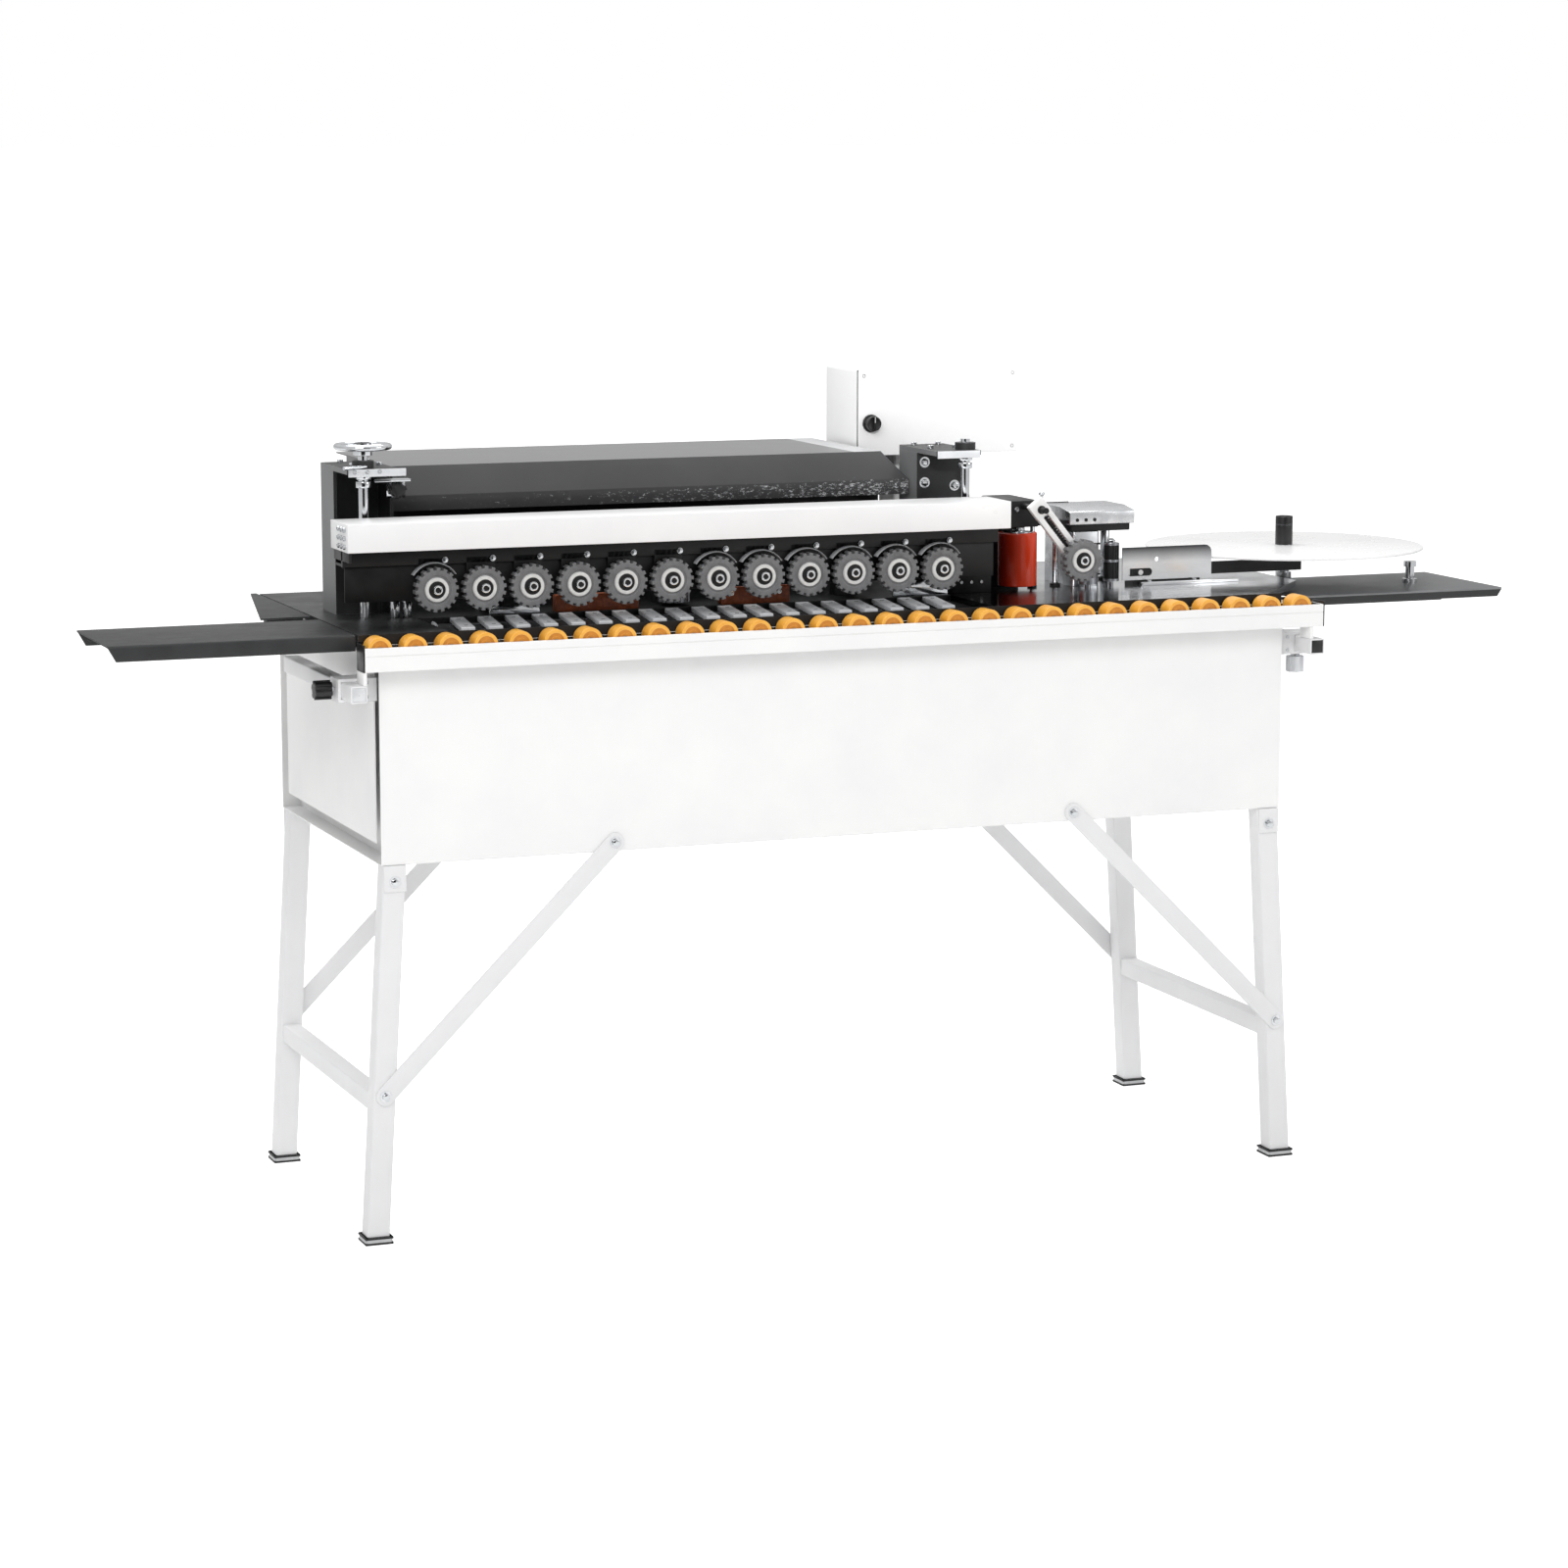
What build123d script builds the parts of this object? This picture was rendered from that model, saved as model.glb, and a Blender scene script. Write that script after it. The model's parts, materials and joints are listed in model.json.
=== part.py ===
"""Edge banding machine: a floor-standing roller table with a pad conveyor, a lifting row of
press wheels, a gluing unit with its tape turntable, and a covered rear trimming bed.

Millimetres. While it is built, X runs along the machine towards the in-feed end, Y runs from
the operator's side to the back with 0 on the front face of the casing, and Z is up from the
floor. Every sub-part is moved by SHIFT as it is written, so that the finished machine stands
on Z = 0 with the middle of its outer box on the origin.
"""
import math
import os

from build123d import *

# ---- casing and table -------------------------------------------------------------------
BODY_L = 1546.0          # casing length along X
BODY_D = 600.0           # casing depth along Y
BODY_Z = 596.0           # underside of the casing above the floor
TABLE_Z = 955.0          # working height: top of the table, the pads and the rollers
TABLE_T = 10.0           # table plate thickness
POST = 36.0              # square corner post and leg section
TUBE_WALL = 2.0          # wall of every square tube
RAIL_H = 30.0            # height of the frame's long rails
RAIL_W = 24.0            # depth of the frame's long rails
SHEET = 2.0              # sheet metal thickness of panels, covers and hood
PANEL_SET = 1.5          # how far panels sit back from the post faces
TOUCH = 0.3              # working gap between parts that slide or turn past each other
RUN = 0.08               # radial running clearance of wheels and rollers on their pins

# ---- leg stand --------------------------------------------------------------------------
LEG_SPLAY = 35.5         # how far a leg's foot stands out beyond its top
PAD_H = 12.0             # rubber foot height
PAD_W = 44.0             # rubber foot width
BRACE_W = 30.0           # flat brace width
BRACE_T = 4.0            # flat brace thickness
BRACE_X = 395.0          # brace bolt on the long rail, from the middle of the machine
BRACE_FOOT_Z = 235.0     # brace bolt on the leg
CROSS_Z = 220.0          # cross bar height, middle
CROSS_W = 30.0           # cross bar section
BOLT_R = 6.0             # hexagon head radius of the frame bolts
BOLT_H = 5.0             # head height of the frame bolts

# ---- roller ledge -----------------------------------------------------------------------
LEDGE_X0 = -806.0        # out-feed end of the ledge
LEDGE_X1 = 826.0         # in-feed end of the ledge
LEDGE_GAP = 4.0          # gap between the ledge and the casing
LEDGE_W = 39.0           # ledge depth along Y
LEDGE_H = 37.0           # ledge channel height
LEDGE_T = 3.0            # ledge channel wall
ROLLER_R = 19.0          # support roller radius
ROLLER_PITCH = 56.0      # support roller spacing
ROLLER_X0 = -781.0       # first support roller
ROLLERS = 29             # number of support rollers
ROLLER_PIN_R = 4.0       # support roller pin radius
ARM_TUBE = 26.0          # square tube that carries the ledge
ARM_LENGTH = 400.0       # length of the carrying tube
ARM_OUT = 43.0           # carrying tube centre line, outwards from the casing
ARM_X = BODY_L / 2 + ARM_OUT  # carrying tube centre line from the middle
ARM_Z = 869.0            # carrying tube centre line height
LEDGE_TRAVEL = 280.0     # how far the ledge pulls out
SLEEVE_W = 36.0          # clamp sleeve outside width
SLEEVE_L = 44.0          # clamp sleeve length along Y
SLEEVE_Y = 34.0          # middle of the clamp sleeve
KNOB_R = 15.0            # clamp knob radius
KNOB_L = 26.0            # clamp knob length

# ---- pad conveyor -----------------------------------------------------------------------
PAD_PITCH = 44.8         # spacing of the conveyor pads
PADS = 42                # pads round the whole loop
PAD_X = 23.0             # pad width along the travel
PAD_Y0 = 35.0            # front end of the pads
PAD_Y1 = 169.0           # rear end of the pads
PAD_SKEW = 22.0          # how far the rear end of a pad leads its front end
PAD_T = 8.0              # pad thickness
TURN_PADS = 3            # pad spacings round each end of the loop
LOOP_X = -205.0          # middle of the conveyor along X
CHAIN_T = 8.0            # height of the carrying chain
CHAIN_W = 12.0           # width of the carrying chain
CHAIN_YS = (62.0, 142.0)  # the two carrying chains
SHAFT_R = 10.0           # conveyor shaft radius

# ---- press beam and its lift ------------------------------------------------------------
BEAM_X0 = -799.0         # out-feed end of the beam cover
BEAM_X1 = 312.0          # in-feed end of the beam cover
COVER_Y0 = 70.0          # front face of the beam cover
COVER_Y1 = 170.0         # rear face of the beam cover
COVER_Z0 = 1072.0        # lower edge of the beam cover
COVER_Z1 = 1116.0        # top of the beam cover
BEAM_Y0 = 122.0          # front face of the beam's box section
BEAM_Z0 = 1046.0         # underside of the beam's box section
BEAM_WALL = 4.0          # wall of the beam's box section
WHEEL_R = 35.0           # press wheel radius
WHEEL_W = 18.0           # press wheel width
WHEEL_BORE_R = 12.5      # press wheel bore
WHEEL_TEETH = 18         # rubber teeth on a press wheel
TOOTH_DEPTH = 4.0        # depth of the rubber teeth
WHEELS = 12              # press wheels on the beam
WHEEL_PITCH = 77.6       # press wheel spacing
WHEEL_X0 = -651.5        # first press wheel
WHEEL_Y = 100.0          # middle plane of the press wheels
PANEL_T = 18.0           # panel thickness the beam is set to
ARM_PLATE_W = 46.0       # width of a wheel bracket
ARM_PLATE_T = 8.0        # thickness of a wheel bracket
LIFT_SCREW_R = 8.0       # lifting screw radius
LIFT_XS = (-733.0, 293.0)  # the two lifting screws
LIFT_Y = 215.0           # lifting screws, from the front face
LUG_W = 32.0             # width of the lifting nut block
COLUMN_Y0 = 275.0        # front face of the columns
COLUMN_D = 75.0          # depth of the columns
COLUMN_TOP = 1182.0      # top of the columns
COLUMN_T = 5.0           # column plate thickness
COLUMN_L_X = (-765.0, -668.0)  # out-feed column
COLUMN_R_X = (232.0, 312.0)    # in-feed column
BRACKET_T = 8.0          # top bearing plate thickness
HANDWHEEL_R = 46.0       # handwheel rim radius
HANDWHEEL_Z = 1224.0     # middle of the handwheel rim
LIFT_SPROCKET_R = 30.0   # sprocket of the lift chain
LIFT_CHAIN_Z = 893.0     # middle of the lift chain under the table
LIFT_CHAIN_H = 8.0       # lift chain height

# ---- hood and control box ---------------------------------------------------------------
HOOD_X0 = -661.0         # out-feed end of the hood
HOOD_X1 = 190.0          # in-feed end of the hood's top
HOOD_FACE_X1 = 228.0     # in-feed end of the hood's front face
HOOD_Y0 = 300.0          # front lip of the hood
HOOD_TOP_Y = 330.0       # front edge of the hood's top
HOOD_Y1 = 640.0          # rear edge of the hood
HOOD_Z = 1182.0          # top of the hood
HOOD_FOLD_Z = 1137.0     # fold between the hood's sloped face and its lip
HOOD_LIP_Z = 1112.0      # lower edge of the hood's lip
HINGE_BACK = 6.0         # hood hinge line, behind the casing
HINGE_Y = BODY_D + HINGE_BACK  # hood hinge line
HINGE_R = 4.0            # hood hinge pin radius
HINGE_EYE_R = 8.0        # hood hinge eye radius
HINGE_EAR_R = 7.0        # rounding of the ears that hold the hinge pin
HINGE_W = 50.0           # hood hinge width
HINGE_IN = 120.0         # hinge distance from each end of the hood
BOX_X0 = 200.0           # out-feed side of the control box
BOX_L = 295.0            # control box length
BOX_Y0 = 455.0           # front face of the control box
BOX_D = 145.0            # control box depth
BOX_Z0 = 1164.0          # underside of the control box
BOX_H = 145.0            # control box height
DIAL_R = 15.0            # selector knob radius
DIAL_L = 18.0            # selector knob length
DIAL_X = 222.0           # selector knob position
DIAL_Z = 1219.0          # selector knob height

# ---- gluing unit and tape feed ----------------------------------------------------------
EDGE_Y = 176.0           # line of the panel edge
RED_R = 32.5             # silicone press roller radius
RED_X = 386.0            # silicone press roller position
RED_Z0 = 962.0           # underside of the silicone press roller
RED_H = 89.0             # silicone press roller height
RED_PIN_R = 8.0          # silicone press roller shaft radius
GLUE_X = 508.0           # glue roller position
GLUE_R = 16.0            # glue roller radius
GLUE_SHAFT_R = 5.0       # glue roller shaft radius
FEED_X = 558.0           # knurled tape feed roller position
FEED_R = 13.0            # knurled tape feed roller radius
FEED_SHAFT_R = 4.0       # knurled tape feed roller shaft radius
ROLLER_DROP = 24.0       # how far the two rollers' shafts reach below the table plate
GUIDE_X0 = 576.0         # tape guide plate, out-feed end
GUIDE_X1 = 742.0         # tape guide plate, in-feed end
GUIDE_Y = 200.0          # front face of the tape guide plate
GUIDE_Z0 = 963.0         # lower edge of the tape guide plate
GUIDE_Z1 = 1018.0        # upper edge of the tape guide plate
TAPE_ARM_X1 = 915.0      # end of the dark tape arm
DISC_X = 948.0           # tape turntable centre
DISC_Y = 330.0           # tape turntable centre
DISC_R = 240.0           # tape turntable radius
DISC_Z = 994.0           # underside of the tape turntable
DISC_T = 4.0             # tape turntable thickness
HUB_R = 15.0             # hub that centres the tape coil
HUB_H = 50.0             # hub height above the turntable
SPINDLE_R = 6.0          # turntable spindle radius
INFEED_WHEEL_X = 453.0   # swing-arm wheel position
INFEED_WHEEL_Z = 1012.0  # swing-arm wheel height
INFEED_PIVOT_X = 385.0   # swing arm pivot
INFEED_PIVOT_Z = 1106.0  # swing arm pivot

# ---- trays ------------------------------------------------------------------------------
TRAY_T = 3.0             # tray sheet thickness
OUT_TRAY_X0 = -1190.0    # free end of the out-feed tray
OUT_TRAY_Y = (3.0, 220.0)
OUT_TRAY_FLANGE = 25.0   # turned-down edge of the out-feed tray
TABLE_X0 = -805.0        # out-feed edge of the table plates
TRAY_GAP = 3.0           # gap between a tray and the table plate beside it
IN_TRAY_X = (850.0, 1250.0)
IN_TRAY_Y = (101.0, 371.0)
IN_TRAY_Z = 935.0        # top of the in-feed tray
IN_TRAY_FLANGE = 15.0    # turned-down edge of the in-feed tray

# ---- rear trimming unit -----------------------------------------------------------------
CUTTER_X = -222.0        # trimming cutter position
CUTTER_R = 26.0          # trimming cutter radius
CUTTER_GAP = 3.0         # cutter's distance from the panel edge line
MOTOR_R = 30.0           # trimming motor radius
MOTOR_XS = (-520.0, -222.0, 90.0)  # buffing, trimming and end-cut motors
MOTOR_Z = (992.0, 1096.0)  # underside and top of a trimming motor
MOTOR_ROUND = 6.0        # rounding of a motor's top edge
MOTOR_POST_W = 40.0      # width of a motor's post
POST_HALF = MOTOR_POST_W / 2
POST_DEPTH = 24.0        # depth of a motor's post behind the motor
POST_DROP = 20.0         # how far the post stops below the motor's top
CUTTER_SHAFT_R = 8.0     # cutter spindle radius
CUTTER_SHAFT_IN = 40.0   # depth of the spindle's bore in its motor

# Gluing unit, its bracket and the swing arm
HEAD_W = 52.0            # width of the roller head
HEAD_REACH = 26.0        # how far the head stands out in front of the roller shaft
HEAD_Y1 = 300.0          # rear of the roller head and its post
HEAD_LIFT = 10.0         # underside of the head above the roller
HEAD_H = 44.0            # height of the roller head
HEAD_POST_D = 40.0       # depth of the post under the head
HEAD_BORE_UP = 30.0      # top of the shaft's bore in the head, above the roller
PIVOT_R = 5.0            # swing arm pivot radius
PIVOT_DROP = 10.0        # how far the pivot sits below the arm's reference height
END_PLATE_X = (262.0, 330.0)  # drilled end plate beside the in-feed screw
END_PLATE_T = 5.0        # thickness of the drilled end plate
END_PLATE_Y = 12.0       # end plate's distance behind the panel edge
END_PLATE_TOP = 1038.0   # top of the drilled end plate
END_FOOT_D = 38.0        # depth of the end plate's foot
END_FOOT_T = 8.0         # thickness of the end plate's foot
SWING_T = 12.0           # thickness of the swing arm
SWING_BAR_W = 9.0        # width of each bar of the swing arm
SWING_BAR_OUT = 9.5      # each bar's distance from the arm's middle line
SWING_BOSS_R = 13.0      # radius of the pivot boss
SWING_BLOCK = 30.0       # side of the pivot block
SWING_END_R = 18.0       # radius of the axle boss
TIP_R = 5.0              # radius of the lifting tip's ball
TIP_UP = 26.0            # ball's height above the pivot
POT_X = (490.0, 540.0)   # glue pot along X
POT_Y = (214.0, 330.0)   # glue pot along Y
POT_TOP = 1046.0         # rim of the glue pot
POT_WALL = 8.0           # wall of the glue pot
POT_FLOOR = 975.0        # inside floor of the glue pot
LID_X = (484.0, 604.0)   # lid along X
LID_TOP = 1086.0         # top of the lid
LID_FRONT = (1058.0, 1080.0)  # lower and upper edge of the lid's front face
LID_FLAT = 40.0          # depth of the lid's sloping front
ROD_TOP = 1058.0         # top of the two adjusting rods
POST_XY = (590.0, 300.0)  # lid post
LID_POST_R = 8.0         # lid post radius
ROD_XY = ((424.0, 232.0), (470.0, 240.0))  # adjusting rods
ROD_RS = (4.0, 5.0)      # adjusting rod radii
BRIDGE_X0 = 418.0        # out-feed end of the rods' bridge
BRIDGE_Y = (226.0, 246.0)  # bridge along Y
BRIDGE_T = 8.0           # thickness of the bridge
GLUE_TOP = 1020.0        # top of the glue roller
SHAFT_TOP = 1034.0       # top of the glue and feed roller shafts
FEED_TEETH = 18          # knurls of the tape feed roller
FEED_KNURL = 1.5         # depth of the knurls
FEED_LEN = 62.0          # length of the knurled part
FEED_MID_Z = 995.0       # middle height of the knurled part

# Tape guide and turntable posts
GUIDE_T = 3.0            # thickness of the tape guide plate
GUIDE_CORNER = 12.0      # rounding of the plate's upper corner
GUIDE_SLOT = (46.0, 13.0)  # length and height of the plate's slot
GUIDE_SLOT_AT = (32.0, 13.0)  # slot from the plate's lower out-feed corner
GUIDE_HOLE_R = 4.0       # hole radius in the plate
GUIDE_HOLE_AT = (64.0, 34.0)  # hole from the plate's lower out-feed corner
GUIDE_BOLT_R = 4.5       # bolt in the slot
GUIDE_IN = 20.0          # arm and foot's distance from the plate's ends
TAPE_ARM_T = 10.0        # thickness of the tape arm
TAPE_ARM_Z = (5.0, 25.0)  # tape arm above the plate's lower edge
GUIDE_FOOT_D = 30.0      # depth of the guide's foot
COLLAR_R = 14.0          # turntable spindle collar radius
COLLAR_H = 16.0          # turntable spindle collar height
SHOULDER_R = 10.0        # shoulder the turntable rests over
TAPE_POST_XY = (1139.0, 226.0)  # chrome guide post
TAPE_POST_RS = (13.0, 8.0, 11.0)  # foot, stem and head radii of the guide post
TAPE_POST_ZS = (7.0, 28.0, 37.0)  # tops of its foot, stem and head above the tray

# Fence blocks and guide shoes behind the wheels
FENCE_T = 18.0           # thickness of the laminate fences
FENCE_GAP = 2.0          # fences' distance from the panel edge
FENCE_A = (-430.0, -291.0, 27.0)  # first fence: ends along X and height
FENCE_B = (-150.0, -32.0, 28.0)   # second fence: ends along X and height
SHOE_T = 6.0             # thickness of the long shoe
SHOE_B_T = 5.0           # thickness of the in-feed shoe
EDGE_ROLLER_XS = (-690.0, -670.0)  # small edge rollers at the out-feed end
EDGE_ROLLER_R = 8.0      # small edge roller radius
EDGE_ROLLER_H = 26.0     # small edge roller height

# ---- worked out from the above ----------------------------------------------------------
HALF_L = BODY_L / 2
TABLE_BOTTOM = TABLE_Z - TABLE_T
LEG_TOP_X = HALF_L - POST / 2 - 3.5
LEDGE_Y1 = -LEDGE_GAP
LEDGE_Y0 = LEDGE_Y1 - LEDGE_W
ROLLER_Z = TABLE_Z - ROLLER_R
LEDGE_Z1 = ROLLER_Z + 3.0
LEDGE_Z0 = LEDGE_Z1 - LEDGE_H
LOOP_R = TURN_PADS * PAD_PITCH / math.pi
LOOP_Z = TABLE_Z - PAD_T / 2 - LOOP_R
LOOP_RUN = (PADS * PAD_PITCH - 2 * math.pi * LOOP_R) / 2
LOOP_X0 = LOOP_X - LOOP_RUN / 2
LOOP_X1 = LOOP_X + LOOP_RUN / 2
LOOP_REACH = LOOP_R + PAD_T / 2
TABLE_GAP = 6.0
TABLE_LEFT_X = LOOP_X0 - LOOP_REACH - TABLE_GAP
TABLE_RIGHT_X = LOOP_X1 + LOOP_REACH + TABLE_GAP
WHEEL_Z = TABLE_Z + PANEL_T + WHEEL_R
WHEEL_XS = [WHEEL_X0 + i * WHEEL_PITCH for i in range(WHEELS)]
BED_Y0 = PAD_Y1 + TABLE_GAP
BEAM_Y1 = COVER_Y1 - SHEET
CHAIN_R = LOOP_R - PAD_T / 2
SPROCKET_R = CHAIN_R - CHAIN_T - 2 * TOUCH
RED_Y = EDGE_Y + RED_R
GLUE_Y = EDGE_Y + GLUE_R + TOUCH
FEED_Y = GUIDE_Y + FEED_R / 2
CUTTER_Y = EDGE_Y + CUTTER_GAP + CUTTER_R
HINGE_Z = HOOD_Z - SHEET - HINGE_EAR_R - TOUCH
HINGE_EAR = 10.0


# ---- shape helpers ----------------------------------------------------------------------
def block(x0, x1, y0, y1, z0, z1):
    """A box between two corners."""
    centre = Pos((x0 + x1) / 2, (y0 + y1) / 2, (z0 + z1) / 2)
    return centre * Box(x1 - x0, y1 - y0, z1 - z0)


def rod_z(x, y, r, z0, z1):
    """An upright cylinder."""
    return Pos(x, y, (z0 + z1) / 2) * Cylinder(r, z1 - z0)


def rod_y(x, z, r, y0, y1):
    """A cylinder that runs front to back."""
    return Pos(x, (y0 + y1) / 2, z) * Rot(90, 0, 0) * Cylinder(r, y1 - y0)


def rod_x(y, z, r, x0, x1):
    """A cylinder that runs along the machine."""
    return Pos((x0 + x1) / 2, y, z) * Rot(0, 90, 0) * Cylinder(r, x1 - x0)


def plate_xz(points, y0, y1):
    """A plate whose outline lies in the XZ plane."""
    outline = Polyline([(x, y0, z) for x, z in points], close=True)
    return extrude(make_face(outline), amount=y1 - y0, dir=(0, 1, 0))


def plate_xy(points, z0, z1):
    """A plate whose outline lies in the XY plane."""
    outline = Polyline([(x, y, z0) for x, y in points], close=True)
    return extrude(make_face(outline), amount=z1 - z0, dir=(0, 0, 1))


def plate_yz(points, x0, x1):
    """A plate whose outline lies in the YZ plane."""
    outline = Polyline([(x0, y, z) for y, z in points], close=True)
    return extrude(make_face(outline), amount=x1 - x0, dir=(1, 0, 0))


def box_tube(x0, x1, y0, y1, z0, z1, axis, wall=TUBE_WALL):
    """A rectangular tube, open at both ends along one axis."""
    outer = block(x0, x1, y0, y1, z0, z1)
    inset = [wall, wall, wall]
    inset["XYZ".index(axis)] = 0.0
    ix, iy, iz = inset
    return outer - block(x0 + ix, x1 - ix, y0 + iy, y1 - iy, z0 + iz, z1 - iz)


def racetrack(x0, x1, y, z, r_out, r_in, width, axis):
    """A closed chain band round two sprockets, lying in the XZ or the XY plane."""
    band = SlotCenterToCenter(x1 - x0, 2 * r_out) - SlotCenterToCenter(x1 - x0, 2 * r_in)
    solid = extrude(band, amount=width / 2, both=True)
    turn = Rot(90, 0, 0) if axis == "Y" else Rot(0, 0, 0)
    return Pos((x0 + x1) / 2, y, z) * turn * solid


def toothed_disc(r, depth, teeth, width, bore_r, land=0.30):
    """A disc with square-cut teeth about Z, centred on the origin."""
    points = []
    step = 2 * math.pi / teeth
    for i in range(teeth):
        for radius, share in ((r, -land), (r, land), (r - depth, 0.5 - land / 3), (r - depth, 0.5 + land / 3)):
            angle = (i + share) * step
            points.append((radius * math.cos(angle), radius * math.sin(angle)))
    disc = extrude(make_face(Polyline([(x, y, 0) for x, y in points], close=True)), amount=width)
    return Pos(0, 0, -width / 2) * disc - Cylinder(bore_r, width * 2)


def hex_bolt(x, y, z, direction, r=BOLT_R, h=BOLT_H):
    """A hexagon bolt head seated at a point, standing out along -Y, +Y, -X or +X."""
    head = extrude(RegularPolygon(r, 6), amount=h)
    turn = {"-Y": Rot(90, 0, 0), "+Y": Rot(-90, 0, 0), "-X": Rot(0, -90, 0), "+X": Rot(0, 90, 0)}
    return Pos(x, y, z) * turn[direction] * head


def mirrored_x(solids):
    """The same solids on the other side of the machine's middle."""
    return [mirror(solid, about=Plane.YZ) for solid in solids]


# ---- casing -----------------------------------------------------------------------------
def body_frame():
    """Corner posts, long and short rails and the motor shelf, each its own tube."""
    parts = []
    inner = HALF_L - POST
    for sx in (-1, 1):
        for y0 in (0.0, BODY_D - POST):
            x0, x1 = sorted((sx * inner, sx * HALF_L))
            parts.append(box_tube(x0, x1, y0, y0 + POST, BODY_Z, TABLE_BOTTOM, "Z"))
        x0, x1 = sorted((sx * (HALF_L - RAIL_W), sx * HALF_L))
        for z0 in (BODY_Z, TABLE_BOTTOM - RAIL_H):
            parts.append(box_tube(x0, x1, POST, BODY_D - POST, z0, z0 + RAIL_H, "Y"))
    for y0 in (0.0, BODY_D - RAIL_W):
        for z0 in (BODY_Z, TABLE_BOTTOM - RAIL_H):
            parts.append(box_tube(-inner, inner, y0, y0 + RAIL_W, z0, z0 + RAIL_H, "X"))
    shelf_x = 300.0
    shelf_z = BODY_Z + RAIL_H
    parts.append(block(-shelf_x, shelf_x, RAIL_W, BODY_D - RAIL_W, shelf_z - SHEET, shelf_z))
    return parts


def front_panel():
    """Plain sheet between the front posts and rails."""
    inner = HALF_L - POST
    z0, z1 = BODY_Z + RAIL_H, TABLE_BOTTOM - RAIL_H
    return [block(-inner, inner, PANEL_SET, PANEL_SET + SHEET, z0, z1)]


def casing_panels():
    """Side sheets, the louvred rear sheet and the rear wall with the hood's hinge leaves."""
    z0, z1 = BODY_Z + RAIL_H, TABLE_BOTTOM - RAIL_H
    inner = HALF_L - POST
    parts = []
    for sx in (-1, 1):
        x0, x1 = sorted((sx * (HALF_L - PANEL_SET - SHEET), sx * (HALF_L - PANEL_SET)))
        parts.append(block(x0, x1, POST, BODY_D - POST, z0, z1))
    rear = block(-inner, inner, BODY_D - PANEL_SET - SHEET, BODY_D - PANEL_SET, z0, z1)
    louvre_l, louvre_h, louvre_step, louvres = 160.0, 6.0, 18.0, 8
    for x in (-inner / 2, inner / 2):
        for i in range(louvres):
            z = z0 + 60.0 + i * louvre_step
            rear -= block(x - louvre_l / 2, x + louvre_l / 2, BODY_D - 10, BODY_D + 1, z, z + louvre_h)
    parts.append(rear)
    wall_x1 = HOOD_X1 - 20.0
    wall_x0 = HOOD_X0 + 20.0
    parts.append(block(wall_x0, wall_x1, BODY_D - SHEET, BODY_D, TABLE_Z, HINGE_Z - HINGE_EYE_R - 2))
    return parts + [hinge_leaf(x) for x in hinge_xs()]


def table_hole(x):
    """Clearance hole for a lifting screw through a table plate."""
    return rod_z(x, LIFT_Y, LIFT_SCREW_R + 1.5, TABLE_BOTTOM - 1, TABLE_Z + 1)


def outfeed_table():
    """Dark plate beyond the out-feed end of the conveyor."""
    return [block(TABLE_X0, TABLE_LEFT_X, 0, BED_Y0, TABLE_BOTTOM, TABLE_Z)]


def rear_bed():
    """Dark bed plate behind the conveyor, which carries the columns and trimming motors."""
    bed = block(TABLE_X0, TABLE_RIGHT_X, BED_Y0, BODY_D, TABLE_BOTTOM, TABLE_Z)
    return [bed - table_hole(LIFT_XS[0])]


def infeed_table():
    """Ground steel plate at the in-feed end, with its cut-off front corner."""
    tip_x = 885.0
    corner_x = 745.0
    outline = [
        (TABLE_RIGHT_X, 0), (corner_x, 0), (tip_x, 165), (tip_x, 330),
        (HALF_L, 330), (HALF_L, BODY_D), (TABLE_RIGHT_X, BODY_D),
    ]
    table = plate_xy(outline, TABLE_BOTTOM, TABLE_Z) - table_hole(LIFT_XS[1])
    for x, y, r in ((GLUE_X, GLUE_Y, GLUE_SHAFT_R), (FEED_X, FEED_Y, FEED_SHAFT_R)):
        table -= rod_z(x, y, r + RUN, TABLE_BOTTOM - 1, TABLE_Z + 1)
    return [table]


# ---- leg stand --------------------------------------------------------------------------
def leg_x(z):
    """Centre line of a leg at a height, from the middle of the machine."""
    return LEG_TOP_X + LEG_SPLAY * (BODY_Z - z) / BODY_Z


def legs():
    """Four splayed square-tube legs."""
    parts = []
    h = POST / 2
    for y0 in (0.0, BODY_D - POST):
        def section(inset, y_from, y_to):
            low, high = leg_x(PAD_H), leg_x(BODY_Z)
            side = h - inset
            points = [(low - side, PAD_H), (low + side, PAD_H), (high + side, BODY_Z), (high - side, BODY_Z)]
            return plate_xz(points, y_from, y_to)
        outer = section(0.0, y0, y0 + POST)
        inner = section(TUBE_WALL, y0 + TUBE_WALL, y0 + POST - TUBE_WALL)
        leg = outer - inner
        parts += [leg] + mirrored_x([leg])
    return parts


def brace(y0, y1):
    """A flat diagonal brace with round ends, on the in-feed side."""
    ax, az = leg_x(BRACE_FOOT_Z), BRACE_FOOT_Z
    bx, bz = BRACE_X, BODY_Z + RAIL_H / 2
    length = math.dist((ax, az), (bx, bz))
    angle = math.degrees(math.atan2(bz - az, bx - ax))
    bar = extrude(SlotCenterToCenter(length, BRACE_W), amount=y1 - y0)
    return Pos((ax + bx) / 2, y1, (az + bz) / 2) * Rot(90, 0, 0) * Rot(0, 0, angle) * bar


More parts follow.
